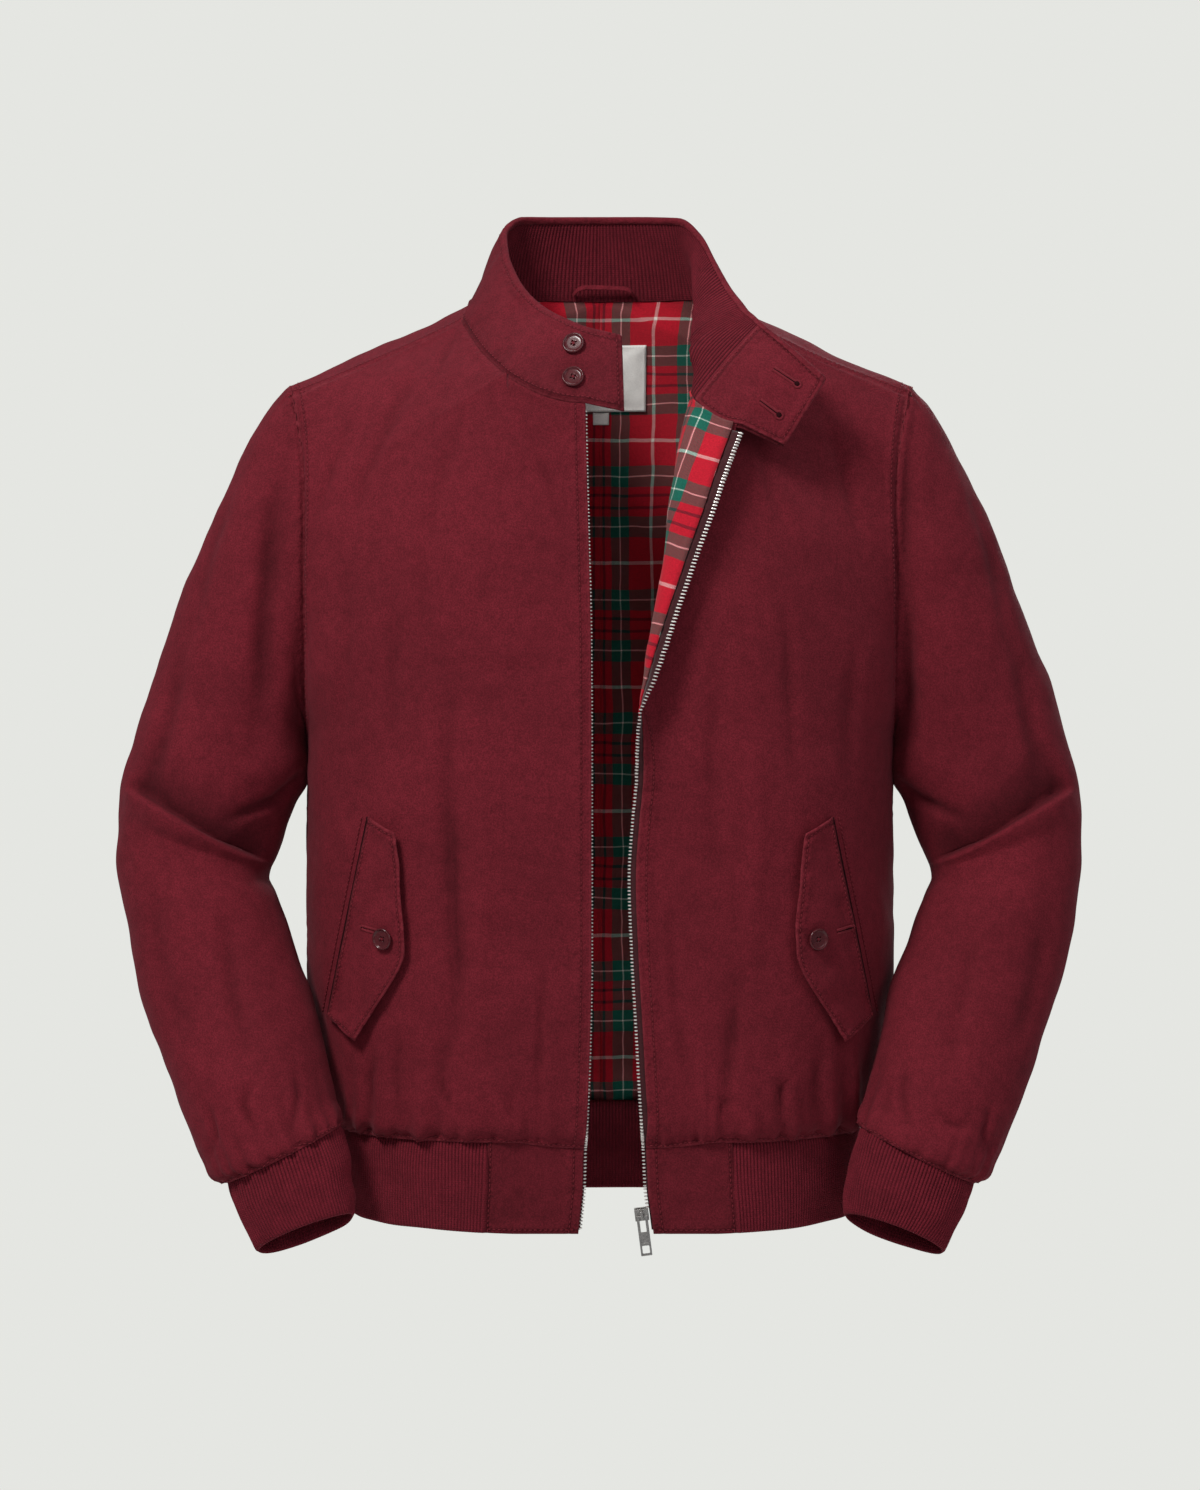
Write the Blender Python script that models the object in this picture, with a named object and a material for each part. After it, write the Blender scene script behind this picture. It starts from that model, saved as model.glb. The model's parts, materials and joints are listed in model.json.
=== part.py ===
"""Harrington jacket: a hollow, waist-length cotton jacket with ribbed cuffs and hem, open down the front.

Metres, +Z up, the front faces -Y and the wearer's left is +X. The origin is at the middle of the neck
opening. Right and left are the wearer's. Every panel is a closed wall: its outer face is worked out from the
tables below, and its inner face is that face moved in along the shared seam normals.
"""

import math

import bpy
import numpy as np
from mathutils import Matrix, Vector

# Cloth thicknesses, and the gaps between neighbours and between layers.
SHELL = 0.0010
LINING = 0.0010
RIB = 0.0022
BAND = 0.0020
COLLAR_TWILL = 0.0012
COLLAR_KNIT = 0.0020
FLAP_WALL = 0.0018
TAPE_WALL = 0.0008
LABEL_WALL = 0.0006
GAP = 0.0003
LAYER_GAP = 0.0006
INNER_DRAW = 0.0004
SLEEVE_OFF = 0.0004
LABEL_OFF = 0.0006
LEAST_SPREAD = 0.7

# v of the armpit and of the neck seam's ends, and the rows of every panel up from the hem seam.
ARMPIT_V = 0.50
NECK_V = 0.84
BACK_NECK_V = 0.86
ROWS_LOW = (0.0, 0.025, 0.06, 0.15, 0.29, 0.395, 0.43, 0.465, 0.50)
ROWS_FRONT = (0.55, 0.60, 0.66, 0.72, 0.78, 0.84, 0.92, 1.0)
ROWS_BACK = (0.57, 0.64, 0.71, 0.78, 0.86, 0.895, 0.93, 0.965, 1.0)
MAIN_STEPS = 6
BACK_STEPS = 6
HEM_ROWS = (0.0, 0.5, 1.0)
HEM_STEPS = 7
COLLAR_STEPS = 5

# The armhole's centre height, half height and reach before and behind.
ARMHOLE_Z = -0.1850
ARMHOLE_HALF_HEIGHT = 0.1300
ARMHOLE_FORE = 0.0520
ARMHOLE_AFT = 0.0560
ARMHOLE_ROUND = 2.15
SEAM_AHEAD = 0.36
SHOULDER_DIP = 0.0025

# The hem's front strip, the left and right edges down it, and where each woven band meets the rib.
HEM_EDGE_RIGHT = (0.0115, 0.0124, 0.0156)
HEM_EDGE_LEFT = (0.0330, 0.0345, 0.0385)
HEM_STRIP = 0.046
HEM_DROP = -0.004
HEM_JOINT_RIGHT = 0.0812
HEM_JOINT_LEFT = 0.0955

# The collar: the station where its knit meets the twill end, its ends, and the buttons by station and by
# share of its height.
COLLAR_JOINT = 0.89
COLLAR_NECK_C = 0.72
COLLAR_PAST = 1.05
COLLAR_END_RIGHT = (-0.0171, -0.1250, -0.0777)
COLLAR_END_LEFT = (0.1314, -0.1080, -0.1030)
COLLAR_BUTTONS = ((0.955, 0.71), (0.962, 0.30))

# Flap grid, its standing off at the sewn and at the free edge, and its button.
FLAP_ROWS = (0.0, 0.12, 0.28, 0.45, 0.59, 0.72, 0.86, 1.0)
FLAP_COLUMNS = (0.0, 0.17, 0.34, 0.5, 0.67, 0.84, 1.0)
FLAP_LIFT = (0.0014, 0.0060)
FLAP_BUTTON = (0.1550, -0.4560)

# A button's profile as (radius, height from its back), and its four holes.
BUTTON = (
    (0.0, 0.0), (0.0050, 0.0), (0.0070, 0.0007), (0.0074, 0.0014), (0.0070, 0.0023), (0.0061, 0.0026),
    (0.0052, 0.0020), (0.0048, 0.0016), (0.0, 0.0016),
)
BUTTON_SEGMENTS = 20
BUTTON_HOLE = 0.0008
BUTTON_HOLE_AT = 0.0012
BUTTON_OFF = 0.0005
DRILL_SEGMENTS = 8
DRILL_FROM = 0.002
DRILL_TO = -0.006

# The zip: how far the tape reaches out of and under the edge, the teeth as a bar, and its start and stop.
TAPE_COVER = 0.0045
TAPE_REACH = 0.0010
CHAIN_SIZE = (0.0042, 0.0026)
CHAIN_OFF = 0.0006
CHAIN_STOP = 0.55
ZIP_TOP = 0.15
ZIP_FOOT = 0.06
SLIDER_H = 0.78
SLIDER_SIZE = (0.0100, 0.0056, 0.0088)
SLIDER_BESIDE = 0.0030
SLIDER_SLOT = 0.0034
SLIDER_WEB = 0.0012
BAIL = (0.0024, 0.0040, 0.0070)
BAIL_EYE = (0.0040, 0.0027, 0.0048)
BAIL_SUNK = 0.0004
PULL_SIZE = (0.0080, 0.0016, 0.0290)
PULL_SLOT = (0.0042, 0.0105)
PULL_WINDOW = (0.0052, 0.0058)
PULL_BAR = 0.0015
PULL_FOOT = 0.0016
PULL_DROP = 0.0010
THROUGH = 0.004

# The labels and the hanger loop's section.
LABEL_HALF = 0.0350
LABEL_TOP = -0.0213
LABEL_BOTTOM = -0.0707
SIZE_TAB = (-0.0053, 0.0068, -0.0712, -0.0805)
LOOP_SIZE = (0.0045, 0.0016)

# Each slot's colour, roughness and metallic.
MATERIALS = {
    "twill": ((0.150, 0.012, 0.022), 0.85, 0.0),
    "rib": ((0.120, 0.009, 0.018), 0.92, 0.0),
    "check": ((0.420, 0.012, 0.028), 0.90, 0.0),
    "button": ((0.120, 0.012, 0.016), 0.30, 0.0),
    "tape": ((0.110, 0.010, 0.016), 0.85, 0.0),
    "nickel": ((0.560, 0.540, 0.510), 0.32, 1.0),
    "label": ((0.780, 0.760, 0.710), 0.80, 0.0),
}


def table(names, rows):
    """A dict of named columns; the first one is the key that the others are read by."""
    columns = zip(*rows)
    return {name: np.array(column, float) for name, column in zip(names.split(), columns)}


# Widest side of the torso up the side seam. v runs from the hem seam, 0, to the shoulder seam, 1.
SIDE = table("v x z", [
    (0.000, 0.1930, -0.6020),
    (0.025, 0.2035, -0.5900),
    (0.060, 0.2085, -0.5690),
    (0.120, 0.2130, -0.5330),
    (0.200, 0.2172, -0.4870),
    (0.350, 0.2172, -0.4000),
    (0.500, 0.2165, -0.3150),
])

# The side of the armhole seam by its height.
ARMHOLE = table("z x", [
    (-0.3150, 0.2165),
    (-0.2500, 0.2158),
    (-0.1550, 0.2157),
    (-0.1255, 0.2166),
    (-0.0767, 0.2226),
    (-0.0560, 0.2280),
    (-0.0550, 0.2284),
])

# The front edge strip: where it leaves the panel (y, z), the edge's x, the strip's flat, bent and returned
# lengths, how far it turns out, and how far the strip's end drops forward and down at the neck.
RIGHT_EDGE = table("v y z edge_x flat bend back_run turn drop_y drop_z", [
    (0.000, -0.1180, -0.6020, 0.0115, 0.022, 0.012, 0.012, 0, 0.0, -0.004),
    (0.025, -0.1275, -0.5880, 0.0105, 0.022, 0.012, 0.012, 0, 0.0, -0.002),
    (0.060, -0.1300, -0.5640, 0.0094, 0.022, 0.012, 0.012, 0, 0.0, 0.0),
    (0.120, -0.1300, -0.5240, 0.0080, 0.022, 0.012, 0.012, 0, 0.0, 0.0),
    (0.200, -0.1300, -0.4710, 0.0071, 0.022, 0.012, 0.012, 0, 0.0, 0.0),
    (0.450, -0.1330, -0.3070, 0.0071, 0.022, 0.012, 0.012, 0, 0.0, 0.0),
    (0.550, -0.1325, -0.2410, 0.0075, 0.022, 0.012, 0.012, 0, 0.0, 0.0),
    (0.660, -0.1275, -0.1690, 0.0090, 0.023, 0.013, 0.013, 0, -0.0015, -0.0040),
    (0.750, -0.1170, -0.1100, 0.0104, 0.025, 0.014, 0.014, 0, -0.0070, -0.0105),
    (0.840, -0.0980, -0.0510, 0.0114, 0.0265, 0.0144, 0.0144, 0, -0.0240, -0.0203),
])
LEFT_EDGE = table("v y z edge_x flat bend back_run turn drop_y drop_z", [
    (0.000, -0.1180, -0.6020, 0.0330, 0.022, 0.012, 0.012, 0, 0.0, -0.004),
    (0.025, -0.1275, -0.5850, 0.0316, 0.022, 0.012, 0.012, 0, 0.0, -0.002),
    (0.060, -0.1300, -0.5610, 0.0300, 0.022, 0.012, 0.012, 0, 0.0, 0.0),
    (0.120, -0.1300, -0.5210, 0.0278, 0.022, 0.012, 0.012, 0, 0.0, 0.0),
    (0.200, -0.1300, -0.4670, 0.0247, 0.022, 0.012, 0.012, 0, 0.0, 0.0),
    (0.280, -0.1305, -0.4120, 0.0228, 0.022, 0.012, 0.012, 0, 0.0, 0.0),
    (0.340, -0.1315, -0.3720, 0.0252, 0.022, 0.012, 0.012, 0, 0.0, 0.0),
    (0.385, -0.1325, -0.3410, 0.0282, 0.022, 0.014, 0.010, 8, 0.0, -0.001),
    (0.427, -0.1335, -0.3130, 0.0292, 0.024, 0.014, 0.007, 40, 0.0, -0.003),
    (0.465, -0.1340, -0.2880, 0.0303, 0.026, 0.014, 0.006, 84, 0.0, -0.006),
    (0.511, -0.1345, -0.2560, 0.0340, 0.025, 0.016, 0.005, 132, 0.0, -0.012),
    (0.574, -0.1330, -0.2135, 0.0390, 0.021, 0.018, 0.007, 160, 0.0, -0.0185),
    (0.647, -0.1270, -0.1640, 0.0470, 0.016, 0.0205, 0.011, 172, -0.002, -0.026),
    (0.732, -0.1120, -0.1060, 0.0540, 0.012, 0.0229, 0.020, 175, -0.008, -0.037),
    (0.840, -0.0660, -0.0310, 0.0683, 0.010, 0.0229, 0.0256, 175, -0.031, -0.058),
])

# How square each row across the front is: 2 is an ellipse's quarter, 1 a straight line.
FRONT_ROUND = table("v n", [
    (0.0, 2.1), (0.12, 2.05), (0.3, 2.2), (0.5, 2.2), (0.66, 1.85), (0.84, 1.40), (1.0, 1.0),
])
BACK_ROUND = table("v n", [(0.0, 2.4), (0.3, 2.3), (0.5, 2.15), (0.70, 1.80), (0.86, 1.45), (1.0, 1.0)])

# The neck seam from the end of the strip to the shoulder seam, and from the centre back to that seam.
RIGHT_NECK = table("v x y z", [
    (0.84, 0.0667, -0.0980, -0.0510),
    (0.92, 0.0855, -0.0660, -0.0320),
    (1.00, 0.1015, -0.0220, -0.0075),
])
LEFT_NECK = table("v x y z", [
    (0.84, 0.0858, -0.0660, -0.0310),
    (0.92, 0.0950, -0.0440, -0.0185),
    (1.00, 0.1015, -0.0220, -0.0075),
])
BACK_CENTRE = table("v x y z", [
    (0.000, 0.0, 0.1080, -0.6020),
    (0.025, 0.0, 0.1165, -0.5850),
    (0.060, 0.0, 0.1195, -0.5590),
    (0.200, 0.0, 0.1180, -0.4590),
    (0.400, 0.0, 0.1185, -0.3170),
    (0.550, 0.0, 0.1210, -0.2100),
    (0.700, 0.0, 0.1130, -0.1030),
    (0.800, 0.0, 0.0920, -0.0320),
    (0.860, 0.0, 0.0730, 0.0110),
])
BACK_NECK = table("v x y z", [
    (0.860, 0.0000, 0.0730, 0.0110),
    (0.895, 0.0400, 0.0700, 0.0115),
    (0.930, 0.0750, 0.0530, 0.0120),
    (0.965, 0.0970, 0.0180, 0.0060),
    (1.000, 0.1015, -0.0220, -0.0075),
])

# The hem below its seam, h from 0 at the seam to 1 at its edge: the front strip's start, side and back.
HEM = table("h fore_y fore_z side_x side_z aft_y aft_z", [
    (0.0, -0.1180, -0.6020, 0.1930, -0.6020, 0.1080, -0.6020),
    (0.5, -0.1175, -0.6360, 0.1930, -0.6350, 0.1095, -0.6350),
    (1.0, -0.1140, -0.6690, 0.1885, -0.6655, 0.1080, -0.6660),
])

# Sleeve rings: the outer and inner ends of each, its middle's y, and its depth before and behind.
SLEEVE = table("t outer_x outer_z inner_x inner_z y fore aft", [
    (1.0, 0.2440, -0.0760, 0.2185, -0.3190, 0.000, 0.0550, 0.0580),
    (2.0, 0.2655, -0.1100, 0.2190, -0.3260, 0.000, 0.0590, 0.0600),
    (3.0, 0.2870, -0.1560, 0.2195, -0.3360, 0.000, 0.0610, 0.0610),
    (4.0, 0.3080, -0.2050, 0.2200, -0.3480, 0.000, 0.0600, 0.0600),
    (5.0, 0.3290, -0.2640, 0.2270, -0.3660, 0.000, 0.0585, 0.0580),
    (6.0, 0.3460, -0.3180, 0.2350, -0.3890, -0.004, 0.0580, 0.0560),
    (6.8, 0.3545, -0.3540, 0.2405, -0.4040, -0.007, 0.0585, 0.0555),
    (7.4, 0.3560, -0.3760, 0.2440, -0.4130, -0.009, 0.0520, 0.0560),
    (8.2, 0.3562, -0.4020, 0.2448, -0.4190, -0.013, 0.0530, 0.0550),
    (9.2, 0.3525, -0.4330, 0.2395, -0.4300, -0.020, 0.0545, 0.0530),
    (10.2, 0.3445, -0.4740, 0.2300, -0.4540, -0.032, 0.0520, 0.0495),
    (11.5, 0.3290, -0.5220, 0.2170, -0.4920, -0.051, 0.0490, 0.0460),
    (13.0, 0.3060, -0.5780, 0.2000, -0.5450, -0.075, 0.0460, 0.0430),
    (14.0, 0.2880, -0.6150, 0.1895, -0.5780, -0.089, 0.0440, 0.0410),
    (14.6, 0.2790, -0.6290, 0.1868, -0.5880, -0.094, 0.0410, 0.0380),
    (15.0, 0.2700, -0.6330, 0.1880, -0.5920, -0.096, 0.0350, 0.0330),
])
SLEEVE_RINGS = (1.0, 2.0, 3.2, 4.5, 5.8, 6.8, 7.4, 8.2, 9.4, 11.0, 13.0, 14.0, 14.6, 15.0)
CUFF = table("t outer_x outer_z inner_x inner_z y fore aft", [
    (0.0, 0.2700, -0.6330, 0.1880, -0.5920, -0.096, 0.0350, 0.0330),
    (0.5, 0.2605, -0.6570, 0.1790, -0.6230, -0.104, 0.0320, 0.0300),
    (1.0, 0.2469, -0.6825, 0.1746, -0.6556, -0.112, 0.0250, 0.0230),
])
CUFF_RINGS = (0.0, 0.5, 1.0)

# The collar by the station c along the neck seam: 0 centre back, 0.5 shoulder seam, 1 front edge.
# roll is the point that pulls each section out of a straight line.
COLLAR_RIGHT = table("c top_x top_y top_z roll_x roll_y roll_z", [
    (0.00, 0.0000, 0.0630, 0.0744, 0.0000, 0.0700, 0.0430),
    (0.12, 0.0301, 0.0600, 0.0742, 0.0370, 0.0665, 0.0430),
    (0.24, 0.0590, 0.0470, 0.0735, 0.0700, 0.0510, 0.0430),
    (0.37, 0.0722, 0.0200, 0.0612, 0.0870, 0.0200, 0.0320),
    (0.50, 0.0695, -0.0080, 0.0441, 0.0880, -0.0150, 0.0180),
    (0.61, 0.0590, -0.0430, 0.0190, 0.0745, -0.0540, -0.0080),
    (0.72, 0.0450, -0.0650, 0.0028, 0.0570, -0.0820, -0.0250),
    (0.81, 0.0345, -0.0785, -0.0050, 0.0420, -0.0980, -0.0340),
    (0.90, 0.0230, -0.0885, -0.0110, 0.0280, -0.1070, -0.0410),
    (1.00, 0.0115, -0.0970, -0.0165, 0.0115, -0.1130, -0.0460),
    (1.10, -0.0150, -0.1060, -0.0234, -0.0160, -0.1190, -0.0510),
])
COLLAR_LEFT = table("c top_x top_y top_z roll_x roll_y roll_z", [
    (0.00, 0.0000, 0.0630, 0.0744, 0.0000, 0.0700, 0.0430),
    (0.12, 0.0301, 0.0600, 0.0742, 0.0360, 0.0655, 0.0430),
    (0.24, 0.0600, 0.0490, 0.0722, 0.0640, 0.0500, 0.0430),
    (0.37, 0.0760, 0.0310, 0.0575, 0.0600, 0.0180, 0.0300),
    (0.50, 0.0865, 0.0090, 0.0359, 0.0513, -0.0200, 0.0058),
    (0.61, 0.0985, -0.0160, 0.0140, 0.0450, -0.0420, -0.0170),
    (0.72, 0.1082, -0.0400, -0.0003, 0.0435, -0.0600, -0.0280),
    (0.77, 0.1110, -0.0475, -0.0050, 0.0480, -0.0700, -0.0330),
    (0.82, 0.1140, -0.0550, -0.0095, 0.0720, -0.0810, -0.0340),
    (0.89, 0.1180, -0.0650, -0.0155, 0.0960, -0.0900, -0.0380),
    (1.00, 0.1400, -0.0830, -0.0350, 0.1190, -0.1040, -0.0620),
    (1.10, 0.1624, -0.0940, -0.0555, 0.1471, -0.1040, -0.0795),
])

# A flap, by q down its sewn edge: the sewn edge's point and the free edge's point.
FLAP = table("q sewn_x sewn_z free_x free_z", [
    (0.00, 0.1661, -0.3688, 0.1442, -0.3795),
    (0.12, 0.1699, -0.3864, 0.1425, -0.3890),
    (0.45, 0.1804, -0.4348, 0.1395, -0.4300),
    (0.72, 0.1889, -0.4744, 0.1373, -0.4636),
    (1.00, 0.1978, -0.5155, 0.1740, -0.5320),
])

# The hanger loop by q along it.
LOOP = table("q x y z", [
    (0.0, -0.0204, 0.0650, 0.0155),
    (0.2, -0.0165, 0.0608, 0.0195),
    (0.35, -0.0105, 0.0600, 0.0212),
    (0.7, 0.0175, 0.0600, 0.0204),
    (0.85, 0.0222, 0.0602, 0.0188),
    (1.0, 0.0256, 0.0637, 0.0150),
])


def follow(columns, at):
    """Each column at the key value `at`, on a smooth curve through the rows that doesn't overshoot."""
    names = list(columns)
    key = columns[names[0]]
    i = int(np.clip(np.searchsorted(key, at) - 1, 0, len(key) - 2))
    h = key[i + 1] - key[i]
    t = min(max((at - key[i]) / h, 0.0), 1.0)
    found = []
    for name in names[1:]:
        y = columns[name]
        slopes = [slope_at(key, y, j) for j in (i, i + 1)]
        a = (2 * t**3 - 3 * t**2 + 1) * y[i] + (t**3 - 2 * t**2 + t) * h * slopes[0]
        found.append(a + (3 * t**2 - 2 * t**3) * y[i + 1] + (t**3 - t**2) * h * slopes[1])
    return found


def slope_at(key, y, j):
    """A slope that keeps a run of rows monotone: the harmonic mean of the two sides, or 0 at a turn."""
    if j == 0:
        return (y[1] - y[0]) / (key[1] - key[0])
    if j == len(key) - 1:
        return (y[-1] - y[-2]) / (key[-1] - key[-2])
    before = (y[j] - y[j - 1]) / (key[j] - key[j - 1])
    after = (y[j + 1] - y[j]) / (key[j + 1] - key[j])
    if before * after <= 0:
        return 0.0
    return 2 * before * after / (before + after)


def armhole(u, rear):
    """The armhole seam, u from the armpit, 0, to the shoulder seam, 1, round the front or the rear."""
    angle = u * (math.pi + (SEAM_AHEAD if rear else -SEAM_AHEAD))
    sine, cosine = math.sin(angle), math.cos(angle)
    power = 2 / ARMHOLE_ROUND
    reach = math.copysign(abs(sine) ** power, sine) * (1 if rear else -1)
    y = reach * (ARMHOLE_AFT if reach > 0 else ARMHOLE_FORE)
    z = ARMHOLE_Z - ARMHOLE_HALF_HEIGHT * math.copysign(abs(cosine) ** power, cosine)
    return np.array([follow(ARMHOLE, z)[0], y, z])


def side(v, rear):
    """The end of a row at the side seam or the armhole."""
    if v <= ARMPIT_V:
        x, z = follow(SIDE, v)
        return np.array([x, 0.0, z])
    return armhole((v - ARMPIT_V) / (1 - ARMPIT_V), rear)


def across(start, end, n, s):
    """A point of a row that leaves `start` square to the front and turns to meet `end` at the side."""
    run = math.sin(s * math.pi / 2) ** (2 / n)
    turn = 1 - max(math.cos(s * math.pi / 2), 0.0) ** (2 / n)
    x = start[0] + (end[0] - start[0]) * run
    y = start[1] + (end[1] - start[1]) * turn
    z = start[2] + (end[2] - start[2]) * run
    return np.array([x, y, z])


def strip_points(edge, v):
    """The front edge strip of a row, from the panel to the zip: flat, bent outwards, then running back."""
    y, z, edge_x, flat, bend, back_run, turn, drop_y, drop_z = follow(edge, v)
    turn = math.radians(turn)
    whole = flat + bend + back_run
    lined = whole - min(TAPE_COVER, back_run / 2)
    stops = [0.0, flat, flat + bend / 3, flat + 2 * bend / 3, flat + bend, lined, whole]
    paths = [strip_path(d, flat, bend, turn) for d in stops]
    reach = max(path[0] for path in paths)
    if turn > math.pi / 2:
        reach = flat + bend / turn
    points = []
    for d, (along, out) in zip(stops, paths):
        ease = 1 - (1 - d / stops[-1]) ** 2
        points.append(np.array([edge_x + reach - along, y - out + drop_y * ease, z + drop_z * ease]))
    return points


def strip_path(d, flat, bend, turn):
    """(along, out) at the distance d along the strip."""
    if d <= flat or turn < 1e-6:
        return d, 0.0
    radius = bend / turn
    angle = min(d - flat, bend) / radius
    along = flat + radius * math.sin(angle)
    out = radius * (1 - math.cos(angle))
    rest = max(d - flat - bend, 0.0)
    return along + rest * math.cos(turn), out + rest * math.sin(turn)


def front_row(v, left):
    """A front panel's row: the strip from the zip inwards, then the panel out to the side."""
    edge, neck = (LEFT_EDGE, LEFT_NECK) if left else (RIGHT_EDGE, RIGHT_NECK)
    n = follow(FRONT_ROUND, v)[0]
    end = side(v, False)
    strip = strip_points(edge, min(v, NECK_V))
    start = strip[0] if v <= NECK_V else np.array(follow(neck, v))
    main = [across(start, end, n, k / MAIN_STEPS) for k in range(MAIN_STEPS + 1)]
    for k in range(1, MAIN_STEPS):
        main[k][2] -= dip(v, k / MAIN_STEPS)
    return strip[:0:-1], main


def dip(v, s):
    """The slight hollow of the shoulder between the neck and its tip."""
    return SHOULDER_DIP * math.sin(math.pi * s) * max(0.0, (v - 0.8) / 0.2)


def back_half_row(v):
    """A row of the back from its middle out to the side."""
    if v <= BACK_NECK_V:
        start = np.array(follow(BACK_CENTRE, v))
    else:
        start = np.array(follow(BACK_NECK, v))
    end = side(v, True)
    n = follow(BACK_ROUND, v)[0]
    row = [across(start, end, n, k / BACK_STEPS) for k in range(BACK_STEPS + 1)]
    for k in range(1, BACK_STEPS):
        row[k][2] -= dip(v, k / BACK_STEPS)
    return row


def mirrored(points):
    return np.array(points) * np.array([-1.0, 1.0, 1.0])


def front_grid(left):
    """A front panel: rows up from the hem seam, columns from the zip out, no strip above the neck."""
    absent = [np.full(3, np.nan)] * 6
    rows = []
    for v in ROWS_LOW + ROWS_FRONT:
        strip, main = front_row(v, left)
        rows.append((strip if v <= NECK_V else absent) + main)
    return np.array(rows) if left else mirrored(rows)


def back_sheet():
    """The back panel: two halves joined down the middle below the neck."""
    half = np.array([back_half_row(v) for v in ROWS_LOW + ROWS_BACK])
    return welded(quads_of(half, turned=True), quads_of(mirrored(half)))


def ring(row, alphas):
    """A sleeve ring through its outer and inner ends; alpha is 0 at the inner end and turns forwards."""
    outer_x, outer_z, inner_x, inner_z, y, fore, aft = row
    middle = np.array([(outer_x + inner_x) / 2, y, (outer_z + inner_z) / 2])
    half = np.array([(outer_x - inner_x) / 2, 0.0, (outer_z - inner_z) / 2])
    points = []
    for alpha in alphas:
        depth = fore if math.sin(alpha) > 0 else aft
        points.append(middle - half * math.cos(alpha) + np.array([0.0, -depth * math.sin(alpha), 0.0]))
    return points


def sleeve_alphas():
    """The angle of each point of the armhole, round the front from the armpit and back round the rear."""
    fore = [(v - ARMPIT_V) / (1 - ARMPIT_V) * (math.pi - SEAM_AHEAD) for v in (ARMPIT_V,) + ROWS_FRONT]
    aft = [-(v - ARMPIT_V) / (1 - ARMPIT_V) * (math.pi + SEAM_AHEAD) for v in ROWS_BACK[::-1]]
    return fore + [a + 2 * math.pi for a in aft[1:]]


def sleeve_grid():
    first = [side(v, False) for v in (ARMPIT_V,) + ROWS_FRONT]
    first += [side(v, True) for v in ROWS_BACK[-2::-1]]
    rows = [first]
    for t in SLEEVE_RINGS:
        rows.append(ring(follow(SLEEVE, t), sleeve_alphas()))
    return np.array(rows)


def stood_off(sheet, normals, side_sign):
    """A sleeve with its seam ring moved out a little, which keeps it clear of the body at the armpit."""
    points, quads = sheet
    count = len(sleeve_alphas())
    moved = points.copy()
    moved[:count, 0] += side_sign * SLEEVE_OFF
    for old, new in zip(points[:count], moved[:count]):
        normals[key_of(new)] = normals[key_of(old)]
    return moved, quads


def cuff_grid():
    return np.array([ring(follow(CUFF, t), sleeve_alphas()) for t in CUFF_RINGS])


def hem_joint(left):
    """The s at which the woven band of a half of the hem meets the rib."""
    edge = (HEM_EDGE_LEFT if left else HEM_EDGE_RIGHT)[0]
    joint = HEM_JOINT_LEFT if left else HEM_JOINT_RIGHT
    start = edge + HEM_STRIP
    share = (joint - start) / (follow(HEM, 0.0)[2] - start)
    return math.asin(share ** (follow(FRONT_ROUND, 0.0)[0] / 2)) / (math.pi / 2)


def hem_front_point(left, h, s):
    """A point of the front half of the hem: s below 0 is on the strip, from -1 at the zip."""
    fore_y, fore_z, side_x, side_z = follow(HEM, h)[:4]
    edges = HEM_EDGE_LEFT if left else HEM_EDGE_RIGHT
    edge = float(np.interp(h, (0.0, 0.5, 1.0), edges))
    if s < 0:
        ease = 1 - (1 + s) ** 2
        return np.array([edge + HEM_STRIP * (1 + s), fore_y, fore_z + HEM_DROP * ease * (1 - h)])
    start = np.array([edge + HEM_STRIP, fore_y, fore_z])
    return across(start, np.array([side_x, 0.0, side_z]), follow(FRONT_ROUND, 0.0)[0], s)


def hem_back_point(h, s):
    side_x, side_z, aft_y, aft_z = follow(HEM, h)[2:]
    middle = np.array([0.0, aft_y, aft_z])
    return across(middle, np.array([side_x, 0.0, side_z]), follow(BACK_ROUND, 0.0)[0], s)


def hem_band_grid(left):
    joint = hem_joint(left)
    columns = (-1.0, -0.75, -0.5, -0.25, 0.0, joint / 2, joint)
    rows = [[hem_front_point(left, h, s) for s in columns] for h in HEM_ROWS]
    return np.array(rows) if left else mirrored(rows)


def hem_rib_grid():
    """The knitted hem from the right band's joint round the back to the left one's."""
    right = np.linspace(hem_joint(False), 1, HEM_STEPS + 1)
    left = np.linspace(hem_joint(True), 1, HEM_STEPS + 1)
    behind = np.linspace(0, 1, HEM_STEPS + 1)
    rows = []
    for h in HEM_ROWS:
        row = [mirrored(hem_front_point(False, h, s)) for s in right]
        row += [mirrored(hem_back_point(h, s)) for s in behind[-2::-1]]
        row += [hem_back_point(h, s) for s in behind[1:]]
        row += [hem_front_point(True, h, s) for s in left[-2::-1]]
        rows.append(row)
    return np.array(rows)


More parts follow.
